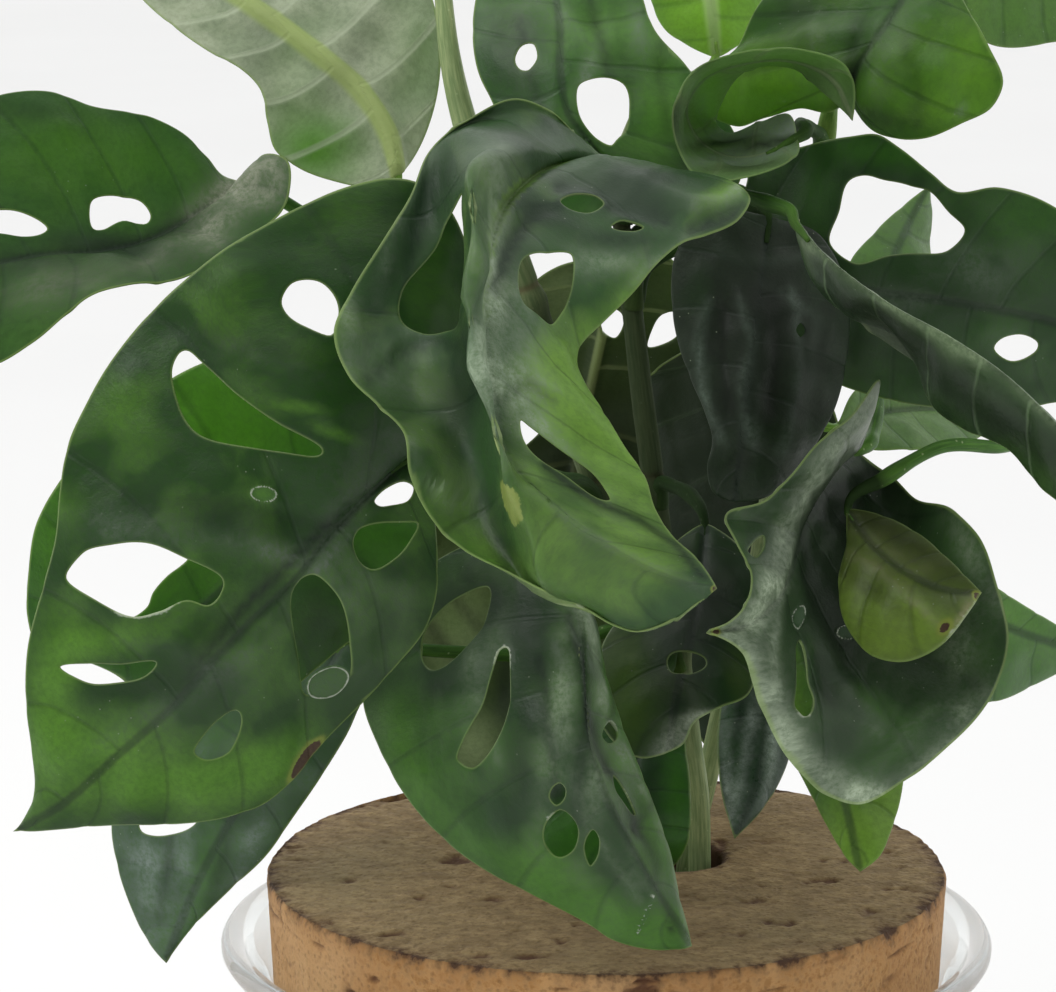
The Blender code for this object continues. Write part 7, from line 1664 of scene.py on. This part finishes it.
def build_stalk(name, route, mat, bend):
    long = sum(np.linalg.norm(b - a) for a, b in zip(route, route[1:]))
    back = 0.0085 / long  # what lies under the blade

    def radius(x):
        r = PETIOLE_R * (1.0 - 0.12 * x)
        r += 0.00052 * math.exp(-((x * long / 0.0045) ** 2))  # sheath
        d = (x - (1 - back)) * long
        r += 0.00030 * math.exp(-(((d + 0.0042) / 0.0032) ** 2))  # the swelling below the blade
        if d > 0:
            r *= 1.0 - 0.62 * min(1.0, d / 0.0085)
        return r

    def shape(x, ang):
        groove = np.exp(-(((ang - math.pi * 0.5) / 0.42) ** 2))
        return 1.0 - 0.16 * groove * (1 - float(smooth(0.88, 0.96, x))) + 0.02 * np.cos(3 * ang + 6 * x)

    rings, at, _, long = swept(route, radius, 16, 0.00055, shape)
    share = np.linspace(0, 1, len(at))
    tint = 0.6 * np.exp(-((share * long / 0.004) ** 2)) + 0.35 * smooth(0.80, 0.95, share)
    attrs = {"run_mm": run_attr(rings, long) + np.array([0, 0, bend * 17.0]), "tint": np.repeat(tint, rings.shape[1]), "painted_shade": painted_shade_attr(rings)}
    ob = tube_object("stalk_" + name[-2:], rings, mat, attrs)
    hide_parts("petiole_" + name[-2:])
    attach(ob, "root")
    return ob


# ------------------------------------------------------------ roots and water


def root_material():
    n = Nodes("m_roots")
    at = n.attr("run_mm", True)
    tone = n.attr("tint")
    streak = n.new("ShaderNodeMapping", {"Vector": at, "Scale": (1.0, 1.0, 0.25)})
    lines = n.noise(streak.outputs[0], 1.3, 4.0, 0.6)
    fuzz = n.noise(at, 4.5, 3.0, 0.6)
    colour = n.mix(n.ramp(lines, 0.3, 0.7), lin("#8a6a42"), lin("#c9ad7c"))
    colour = n.mix(n.math("MULTIPLY", tone, 0.8, clamp=True), colour, lin("#ece2c6"))
    colour = n.mix(n.ramp(fuzz, 0.45, 0.75, 0.0, 0.5), colour, lin("#5a4126"))
    height = n.math("ADD", n.math("MULTIPLY", fuzz, 0.8), lines)
    relief = n.bump(height, 0.6, 0.0002)
    skin = n.shader(Base_Color=colour, Roughness=n.ramp(fuzz, 0.3, 0.7, 0.5, 0.75), Normal=relief)
    return n.finish(skin.outputs[0])


def rand(seed):
    """A number from 0 to 1, the same each run."""
    x = math.sin(seed * 12.9898 + 4.1) * 43758.5453
    return x - math.floor(x)


def root_room(q, a):
    """Radius of the CAD beard of roots at share q of its depth, towards angle a."""
    r = 0.0078 + 0.0125 * math.sin(math.pi * min(1.0, q * 0.92 + 0.02)) ** 1.2
    r *= 1.0 - 0.45 * q**3
    return r * (1.0 + (0.04 + 0.14 * q) * math.cos(6 * a + 1.5 * q) + 0.05 * math.cos(2 * a - 1.0))


def build_roots():
    """Long wavy water roots with short side roots, in the CAD beard's outline."""
    cx, cy = STEM_HOLE
    feet = [stem["foot"][0] for stem in STEMS.values()]
    all_verts, all_quads, all_tris, run, tint = [], [], [], [], []
    count = 0

    def strand(path, r0, r1, sides, step, pale):
        nonlocal count
        rings, at, _, long = swept(path, lambda x: r0 + (r1 - r0) * x ** 0.8, sides, step)
        k = len(rings)
        verts = rings.reshape(-1, 3)
        all_verts.append(np.concatenate([verts, [rings[0].mean(axis=0)], [rings[-1].mean(axis=0)]]))
        all_quads.append(grid_quads(k, sides) + count)
        j = np.arange(sides)
        e = count + k * sides
        all_tris.append(np.stack([np.full(sides, e), count + (j + 1) % sides, count + j], axis=1))
        all_tris.append(np.stack([np.full(sides, e + 1), e - sides + j, e - sides + (j + 1) % sides], axis=1))
        r = run_attr(rings, long)
        run.append(np.concatenate([r, r[:1], r[-1:]]))
        q = np.repeat(np.linspace(0, 1, k), sides)
        w = pale * smooth(0.55, 1.0, q)
        tint.append(np.concatenate([w, w[:1], w[-1:]]))
        count += k * sides + 2
        return at

    main_count = 34
    for i in range(main_count):
        foot = feet[i % 3]
        a0 = 2 * math.pi * (i * 0.381966 + 0.1 * rand(i))
        share = 0.25 + 0.72 * math.sqrt(rand(i + 40))
        depth = 0.45 + 0.53 * rand(i + 90)
        path = [(foot[0], foot[1], ROOT_TOP_Z - 0.0004), (foot[0] + 0.001 * math.cos(a0), foot[1] + 0.001 * math.sin(a0), ROOT_TOP_Z - 0.002)]
        levels = 7
        for k in range(1, levels + 1):
            q = depth * k / levels
            a = a0 + 0.35 * math.sin(2.2 * k + i) + 0.5 * q
            far = root_room(q, a) - 0.0011
            r = far * share * min(1.0, 0.35 + 1.6 * k / levels)
            spread = min(1.0, k / 2.5)
            x = cx + r * math.cos(a)
            y = cy + r * math.sin(a)
            path.append((foot[0] + (x - foot[0]) * spread, foot[1] + (y - foot[1]) * spread, ROOT_TOP_Z - 0.0006 + (ROOT_LOW_Z + 0.0008 - ROOT_TOP_Z) * q))
        at = strand([np.array(p) for p in path], 0.00085, 0.00034, 8, 0.0011, 1.0)
        # short side roots
        for m in range(7):
            q0 = 0.25 + 0.7 * rand(i * 9 + m)
            start = at[int(q0 * (len(at) - 1))]
            turn = a0 + 5.0 * rand(i * 13 + m * 3)
            long = 0.003 + 0.0045 * rand(i * 5 + m)
            tip = start + np.array([math.cos(turn) * long, math.sin(turn) * long, -long * 0.8])
            q = (ROOT_TOP_Z - tip[2]) / (ROOT_TOP_Z - ROOT_LOW_Z)
            if not 0.02 < q < 0.97:
                continue
            off = tip[:2] - np.array([cx, cy])
            room = root_room(q, math.atan2(off[1], off[0])) - 0.0008
            if np.linalg.norm(off) > room:
                tip[:2] = np.array([cx, cy]) + off / np.linalg.norm(off) * room
            mid = 0.5 * (start + tip) + np.array([0.0004, -0.0003, 0.0005])
            strand([start, mid, tip], 0.00036, 0.00014, 6, 0.0008, 1.0)
    ob = new_object(
        "water_roots",
        np.concatenate(all_verts),
        np.concatenate(all_tris),
        root_material(),
        quads=np.concatenate(all_quads),
        attrs={"run_mm": np.concatenate(run), "tint": np.concatenate(tint)},
    )
    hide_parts("roots")
    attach(ob, "root")


def smooth_profile(points, sharp, step):
    """A finer profile: a smooth curve between its sharp corners."""
    out = []
    cuts = [0] + [i for i in sharp] + [len(points) - 1]
    for a, b in zip(cuts, cuts[1:]):
        part = np.array(points[a : b + 1], float)
        c = np.concatenate([[0], np.cumsum(np.linalg.norm(np.diff(part, axis=0), axis=1))])
        m = slopes(c, part)
        n = max(2, int(c[-1] / step))
        x = np.linspace(0, c[-1], n + 1)
        if b != len(points) - 1:
            x = x[:-1]
        i = np.clip(np.searchsorted(c, x, side="right") - 1, 0, len(c) - 2)
        h = (c[i + 1] - c[i])[:, None]
        out.append(blend((x[:, None] - c[i][:, None]) / h, h, part[i], part[i + 1], m[i], m[i + 1]))
    return np.concatenate(out)


def revolve(name, profile, count, mat, bend=None, attrs=None):
    """A closed solid of revolution; the profile starts and ends on the axis."""
    inner = np.array(profile[1:-1])
    ang = 2 * math.pi * np.arange(count) / count
    rings = np.empty((len(inner), count, 3))
    rings[..., 0] = inner[:, 0][:, None] * np.cos(ang)
    rings[..., 1] = inner[:, 0][:, None] * np.sin(ang)
    rings[..., 2] = inner[:, 1][:, None]
    if bend is not None:
        rings = bend(rings)
    verts = np.concatenate([rings.reshape(-1, 3), [(0, 0, profile[0][1])], [(0, 0, profile[-1][1])]])
    n = len(inner) * count
    j = np.arange(count)
    k = (j + 1) % count
    tris = np.concatenate([
        np.stack([np.full(count, n), k, j], axis=1),
        np.stack([np.full(count, n + 1), n - count + j, n - count + k], axis=1),
    ])
    return new_object(name, verts, tris, mat, quads=grid_quads(len(inner), count), attrs=attrs)


def glass_material():
    n = Nodes("m_glass")
    where = n.new("ShaderNodeTexCoord").outputs["Object"]
    long = n.new("ShaderNodeMapping", {"Vector": where, "Scale": (60.0, 60.0, 26.0)})
    wave = n.noise(long.outputs[0], 0.5, 2.0, 0.4)
    smear = n.noise(where, 90.0, 3.0, 0.6)
    relief = n.bump(wave, 0.35, 0.0006)
    rough = n.ramp(smear, 0.55, 0.85, 0.015, 0.07)
    body = n.shader(Roughness=rough, Normal=relief)
    body.inputs["Base Color"].default_value = (0.905, 0.920, 0.910, 1)
    body.inputs["Transmission Weight"].default_value = 1.0
    body.inputs["IOR"].default_value = 1.42
    straight = n.new("ShaderNodeBsdfTransparent")
    straight.inputs["Color"].default_value = (0.930, 0.940, 0.935, 1)
    facing = n.new("ShaderNodeLayerWeight", {"Normal": relief})
    facing.inputs["Blend"].default_value = 0.35
    share = n.ramp(facing.outputs["Facing"], 0.05, 0.95, 0.50, 0.86)
    both = n.new("ShaderNodeMixShader", {0: share, 1: straight.outputs[0], 2: body.outputs[0]})
    return n.finish(both.outputs[0])


def water_material():
    n = Nodes("m_water")
    where = n.new("ShaderNodeTexCoord").outputs["Object"]
    ripple = n.noise(where, 55.0, 2.0, 0.5)
    relief = n.bump(ripple, 0.12, 0.0006)
    haze = n.noise(where, 30.0, 3.0, 0.6)
    tone = n.mix(n.ramp(haze, 0.3, 0.7), lin("#eaf5f0"), lin("#f6faf6"))
    body = n.shader(Base_Color=tone, Normal=relief, Roughness=n.ramp(haze, 0.4, 0.8, 0.0, 0.02))
    body.inputs["Transmission Weight"].default_value = 1.0
    body.inputs["IOR"].default_value = 1.333
    return n.finish(body.outputs[0])


def build_jar():
    outer = [
        (0.0, 0.0004), (FOOT_R - 0.016, 0.0004), (FOOT_R - 0.0045, 0.0004), (FOOT_R - 0.0022, 0.0), (FOOT_R, 0.0),
        (FOOT_R + 0.0060, 0.0014), (BODY_R - 0.0065, 0.0130), (BODY_R - 0.0012, 0.0330),
        (BODY_R, 0.0560), (BODY_R - 0.0022, 0.0800), (BODY_R - 0.0075, 0.0975),
        (NECK_R + 0.0012, 0.1090), (NECK_R, 0.1160), (NECK_R + 0.0010, 0.1215),
        (LIP_R - 0.0012, 0.1252), (LIP_R, LIP_Z), (LIP_R - 0.0012, LIP_Z + 0.0017), (LIP_R - 0.0030, LIP_Z + 0.0014),
        (NECK_R - GLASS + 0.0022, LIP_Z - 0.0020), (NECK_R - GLASS, 0.1190), (NECK_R - GLASS + 0.0002, 0.1110),
        (BODY_R - 0.0075 - GLASS, 0.0965), (BODY_R - 0.0022 - GLASS, 0.0790), (BODY_R - GLASS, 0.0560),
        (BODY_R - 0.0012 - GLASS, 0.0340), (BODY_R - 0.0070 - GLASS, 0.0160),
        (FOOT_R - 0.0010, FLOOR_THICK + 0.0008), (FOOT_R - 0.0120, FLOOR_THICK), (0.0, FLOOR_THICK),
    ]
    step = 0.0011
    profile = smooth_profile(outer, [3, 4], step)
    ob = revolve("jar_glass", profile, 192, glass_material())
    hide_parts("glass_jar")
    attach(ob, "root")


def build_water():
    g = GLASS
    outer = [
        (0.0, FLOOR_THICK - 0.0001), (FOOT_R - 0.0120, FLOOR_THICK - 0.0001), (FOOT_R - 0.0008, FLOOR_THICK + 0.0007),
        (BODY_R - 0.0069 - g, 0.0160), (BODY_R - 0.0011 - g, 0.0340), (BODY_R + 0.0001 - g, 0.0560),
        (BODY_R - 0.0018 - g, WATER_Z - 0.0022), (BODY_R - 0.00205 - g, WATER_Z + 0.0002),
        (BODY_R - 0.0029 - g, WATER_Z - 0.0011), (BODY_R - 0.0060 - g, WATER_Z - 0.0018),
        (BODY_R - 0.020, WATER_Z - 0.0019), (0.0, WATER_Z - 0.0019),
    ]
    profile = smooth_profile(outer, [7], 0.0016)
    ob = revolve("jar_water", profile, 144, water_material())
    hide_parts("water")
    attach(ob, "root")


# ----------------------------------------------------------------- the cork lid


def cork_material():
    n = Nodes("m_cork")
    where = n.new("ShaderNodeTexCoord").outputs["Object"]
    kind = n.new("ShaderNodeSeparateXYZ", {0: n.attr("cork", True)})
    face, pit, rim_and_hole_dark = kind.outputs[0], kind.outputs[1], kind.outputs[2]
    # short flecks lie along x in the top; the side shows pressed crumbs
    along = n.new("ShaderNodeMapping", {"Vector": where, "Scale": (330.0, 360.0, 360.0), "Rotation": (0.0, 0.0, 0.10)})
    fleck = n.noise(along.outputs[0], 1.0, 4.0, 0.66)
    layer = n.new("ShaderNodeMapping", {"Vector": where, "Scale": (85.0, 95.0, 95.0), "Rotation": (0.0, 0.0, 0.16)})
    bands = n.noise(layer.outputs[0], 1.0, 4.0, 0.62, 0.8)
    cells = n.new("ShaderNodeTexVoronoi", {"Vector": where, "Scale": 800.0}, feature="F1")
    crumbs = n.noise(where, 620.0, 4.0, 0.65)
    broad = n.noise(where, 30.0, 3.0, 0.6)
    top = n.mix(n.ramp(fleck, 0.34, 0.68), lin("#7c6641"), lin("#9a835a"))
    top = n.mix(n.ramp(bands, 0.46, 0.74, 0.0, 0.50), top, lin("#6c5636"))
    top = n.mix(n.ramp(broad, 0.45, 0.75, 0.0, 0.45), top, lin("#96865e"))
    top = n.mix(n.ramp(fleck, 0.64, 0.78, 0.0, 0.45), top, lin("#bca47a"))
    side = n.mix(n.ramp(crumbs, 0.32, 0.68), lin("#986c38"), lin("#c49862"))
    side = n.mix(n.ramp(bands, 0.40, 0.70, 0.0, 0.5), side, lin("#a97c4c"))
    side = n.mix(n.ramp(broad, 0.45, 0.75, 0.0, 0.5), side, lin("#d0ac7e"))
    colour = n.mix(face, top, side)
    speck = n.ramp(cells.outputs[0], 0.10, 0.42, 0.26, 0.0)
    colour = n.mix(speck, colour, lin("#553c24"))
    # darker along the crumbled rim, and painted shade round and inside the stem hole
    colour = n.mix(n.math("MULTIPLY", n.math("ADD", rim_and_hole_dark, n.ramp(crumbs, 0.3, 0.7, -0.16, 0.10)), 3.0, clamp=True), colour, lin("#4c3420"))
    colour = n.mix(n.math("MULTIPLY", pit, 0.85, clamp=True), colour, lin("#4a2716"))
    height = n.math("ADD", n.math("MULTIPLY", fleck, 0.7), n.math("MULTIPLY", crumbs, 0.8))
    height = n.math("SUBTRACT", height, n.math("MULTIPLY", speck, 1.2))
    relief = n.bump(height, 0.75, 0.0005)
    rough = n.ramp(crumbs, 0.3, 0.7, 0.78, 0.95)
    skin = n.shader(Base_Color=colour, Roughness=rough, Normal=relief)
    return n.finish(skin.outputs[0])


def build_cork():
    """Lid with a crumbly rim, pores in its side, dents in its top and the stem hole."""
    top, low = CORK_TOP_Z, CORK_TOP_Z - CORK_THICK
    hx, hy = STEM_HOLE
    na = 640
    ang = 2 * math.pi * np.arange(na) / na
    verts, faces, kinds = [], [], []

    def side_r(z):
        return float(np.interp(z, [low, low + 0.0012, top - 0.004, top - 0.0012, top], [CORK_FOOT_R - 0.0010, CORK_FOOT_R, CORK_TOP_R - 0.0003, CORK_TOP_R, CORK_TOP_R - 0.0004]))

    def chips(p):
        """How far the rim is crumbled away, 0 to 1."""
        big = noise.fractal((p[0] * 150, p[1] * 150, 3.0), 1.0, 2.1, 4)
        small = noise.fractal((p[0] * 520, p[1] * 520, 8.0), 1.0, 2.1, 3)
        return max(0.0, 0.35 + 0.8 * big) * 0.7 + max(0.0, 0.3 + 0.9 * small) * 0.5

    chip_at = np.array([sight(390, 785, 0)[0], 0.0])
    # outer side, from the foot to the rim
    sides = []
    zs = np.arange(low, top - 0.0003, 0.0011)
    zs = np.concatenate([np.arange(low, top - 0.0083, 0.0009), np.arange(top - 0.0080, top - 0.0003, 0.00042)])
    base = len(verts)
    rows = []
    for z in zs:
        r0 = side_r(z)
        row = []
        for a in ang:
            p = (r0 * math.cos(a), r0 * math.sin(a), z)
            q = (p[0] * 70, p[1] * 70, z * 260)
            pore = noise.fractal((q[0] * 1.6, q[1] * 1.6, q[2] * 1.0 + 9), 0.9, 2.2, 4)
            deep = max(0.0, pore - 0.52) / 0.4
            crack = noise.fractal((p[0] * 44 + 30, p[1] * 44, z * 600), 0.8, 2.0, 3)
            slit = max(0.0, crack - 0.56) / 0.3
            grit = noise.noise((p[0] * 900, p[1] * 900, z * 900))
            hollow = min(1.0, deep) * 0.0011 + min(1.0, slit) * 0.0007
            edge = math.exp(-((top - z) / 0.0014)) * chips(p)
            r = r0 - hollow + 0.00007 * grit - 0.0009 * min(1.2, edge) - 0.00012
            row.append((r * math.cos(a), r * math.sin(a), z))
            kinds.append((1.0, min(1.0, 1.5 * deep + slit), min(1.0, edge * 0.9)))
        rows.append(row)
        verts += row
    side_rows = len(rows)
    # top face, from the rim to the hole
    shares = [0.0, 0.004, 0.010, 0.018, 0.028]
    rest = np.linspace(0.040, 1.0, 66)
    shares = np.concatenate([shares, rest])
    crumble = []
    for a in ang:
        crumble.append(chips((side_r(top) * math.cos(a), side_r(top) * math.sin(a), top)))
    for s in shares:
        for a, c in zip(ang, crumble):
            rim = side_r(top) - 0.0002 - 0.0009 * min(1.2, c)
            hole = STEM_HOLE_R + 0.00035 * noise.noise((3 * math.cos(a), 3 * math.sin(a), 5.0)) + 0.00015 * noise.noise((9 * math.cos(a), 9 * math.sin(a), 1.0))
            ox, oy = rim * math.cos(a), rim * math.sin(a)
            ix, iy = hx + hole * math.cos(a), hy + hole * math.sin(a)
            x, y = ox + (ix - ox) * s, oy + (iy - oy) * s
            d = math.hypot(x, y)
            from_rim = max(0.0, side_r(top) - d)
            near_hole = math.hypot(x - hx, y - hy) - STEM_HOLE_R
            fray = math.exp(-(from_rim / 0.0016)) * c
            z = top - 0.0003
            grain = noise.fractal((x * 420, y * 420, 2.0), 0.9, 2.1, 4)
            dent = noise.fractal((x * 170 + 7, y * 170, 6.0), 0.9, 2.1, 3)
            pit = max(0.0, dent - 0.46) / 0.35
            z += 0.00012 * grain - 0.0006 * min(1.0, pit) - 0.0011 * min(1.2, fray)
            z -= 0.0008 * math.exp(-max(0.0, near_hole) / 0.0007)
            chip = math.exp(-(((x - (-0.0375)) / 0.0030) ** 2) - ((from_rim / 0.0022) ** 2)) if y > 0 else 0.0
            z -= 0.0022 * chip
            verts.append((x, y, min(z, top - 0.00005)))
            dark = min(1.0, 1.1 * pit + chip * 1.3)
            # the last channel: darker at the crumbled rim, and painted shade round the stem hole
            kinds.append((min(1.0, 0.5 * fray), dark, min(1.0, fray + 0.8 * math.exp(-max(0.0, near_hole) / 0.0009))))
    # the hole's wall, darkened inside the hole as painted shade, and the underside
    for z in np.arange(top - 0.0016, low + 0.0003, -0.0013):
        for a in ang:
            r = STEM_HOLE_R + 0.00030 * noise.noise((3 * math.cos(a), 3 * math.sin(a), z * 300)) - 0.0003 * max(0.0, noise.noise((8 * math.cos(a), 8 * math.sin(a), z * 900)))
            verts.append((hx + r * math.cos(a), hy + r * math.sin(a), z))
            kinds.append((0.8, 0.35, 0.5))
    for s in np.linspace(0.0, 1.0, 19)[:-1]:
        for a in ang:
            ix, iy = hx + STEM_HOLE_R * math.cos(a), hy + STEM_HOLE_R * math.sin(a)
            ox, oy = side_r(low) * math.cos(a), side_r(low) * math.sin(a)
            x, y = ix + (ox - ix) * s, iy + (oy - iy) * s
            grain = noise.fractal((x * 120, y * 520, 22.0), 0.9, 2.1, 3)
            verts.append((x, y, low + 0.0002 + 0.0001 * grain))
            kinds.append((0.1, max(0.0, grain - 0.5), 0.1))
    total = len(verts) // na
    quads = grid_quads(total, na)
    close = np.stack([(total - 1) * na + np.arange(na), (total - 1) * na + (np.arange(na) + 1) % na, (np.arange(na) + 1) % na, np.arange(na)], axis=1)
    ob = new_object("cork_disc", verts, None, cork_material(), quads=np.concatenate([quads, close]), attrs={"cork": np.array(kinds)})
    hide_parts("cork_lid")
    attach(ob, "root")


# ------------------------------------------------------------- make everything

axes = [stem_axis(stem) for stem in STEMS.values()]
blades, routes, forks = {}, {}, {name: [] for name in STEMS}
stem_names = list(STEMS)
total_faces = 0
for index, (name, leaf) in enumerate(LEAVES.items()):
    blade, count = build_leaf(name, leaf, index)
    total_faces += count
    blades[name] = blade
    start, route = stalk_route(leaf, blade, axes)
    owner = min(range(3), key=lambda k: np.linalg.norm(axes[k][0] - start, axis=1).min())
    forks[stem_names[owner]].append(start)
    routes[name] = route
print("leaf faces", total_faces)

stem_mat = stalk_material("m_stem", "#a6b480", "#7a9060", "#8a7a5c")
stalk_mats = {
    "dark": stalk_material("m_stalk_dark", "#4f7c2c", "#355a22", "#6f9440"),
    "light": stalk_material("m_stalk_light", "#7fa648", "#527c2e", "#9cb860"),
}
for name, stem in STEMS.items():
    build_stem(name, stem, forks[name], stem_mat)
for index, (name, route) in enumerate(routes.items()):
    light = LEAVES[name]["tone"] in ("pale", "new", "under", "fresh")
    build_stalk(name, route, stalk_mats["light" if light else "dark"], index)
build_jar()
build_water()
build_roots()
build_cork()

# ----------------------------------------------------------- stage and camera

scene = bpy.context.scene
scene.view_settings.view_transform = "Standard"
scene.view_settings.look = "None"


def plain(name, colour, rough):
    n = Nodes(name)
    where = n.new("ShaderNodeTexCoord").outputs["Object"]
    cloud = n.noise(where, 3.0, 3.0, 0.5)
    tone = n.mix(n.ramp(cloud, 0.3, 0.7), colour, tuple(c * 0.985 for c in colour))
    return n.finish(n.shader(Base_Color=tone, Roughness=rough).outputs[0])


floor_mesh = bpy.data.meshes.new("floor")
e = 9.0
floor_mesh.from_pydata([(-e, -e, 0), (e, -e, 0), (e, e, 0), (-e, e, 0)], [], [(0, 1, 2, 3)])
floor = bpy.data.objects.new("floor", floor_mesh)
scene.collection.objects.link(floor)
floor_mesh.materials.append(plain("m_floor", (0.83, 0.83, 0.825), 0.9))

world = bpy.data.worlds.new("studio")
scene.world = world
world.use_nodes = True
wt = world.node_tree
wt.nodes.clear()
out = wt.nodes.new("ShaderNodeOutputWorld")
back = wt.nodes.new("ShaderNodeBackground")
coord = wt.nodes.new("ShaderNodeTexCoord")
part = wt.nodes.new("ShaderNodeSeparateXYZ")
wt.links.new(coord.outputs["Generated"], part.inputs[0])


def world_ramp(socket, low, high, to_low, to_high):
    node = wt.nodes.new("ShaderNodeMapRange")
    node.interpolation_type = "SMOOTHSTEP"
    wt.links.new(socket, node.inputs["Value"])
    for key, x in (("From Min", low), ("From Max", high), ("To Min", to_low), ("To Max", to_high)):
        node.inputs[key].default_value = x
    return node.outputs["Result"]


behind = world_ramp(part.outputs[1], -0.55, 0.75, 0.30, 1.32)
above = world_ramp(part.outputs[2], 0.10, 0.95, 0.0, 1.25)
top = wt.nodes.new("ShaderNodeMath")
top.operation = "MAXIMUM"
wt.links.new(behind, top.inputs[0])
wt.links.new(above, top.inputs[1])
wt.links.new(top.outputs[0], back.inputs["Strength"])
back.inputs["Color"].default_value = (1.0, 1.0, 1.0, 1)
wt.links.new(back.outputs[0], out.inputs[0])


def area(name, place, aim, size, power, colour=(1, 1, 1)):
    lamp = bpy.data.lights.new(name, "AREA")
    lamp.shape = "SQUARE"
    lamp.size = size
    lamp.energy = power
    lamp.color = colour
    ob = bpy.data.objects.new(name, lamp)
    ob.location = place
    ob.rotation_euler = (Vector(aim) - Vector(place)).to_track_quat("-Z", "Y").to_euler()
    scene.collection.objects.link(ob)
    return ob


area("key", (-0.9, -0.7, 1.3), (0, 0, 0.2), 0.9, 9.0)

cam_data = bpy.data.cameras.new("camera")
cam_data.sensor_width = 36.0
cam_data.sensor_fit = "HORIZONTAL"
cam_data.lens = 36.0 * VIEW_FOCAL / 1056.0
cam_data.clip_start = 0.05
cam_data.clip_end = 60.0
cam = bpy.data.objects.new("camera", cam_data)
cam.location = tuple(EYE)
cam.rotation_euler = (math.pi / 2 - VIEW_PITCH, 0.0, 0.0)
scene.collection.objects.link(cam)
scene.camera = cam
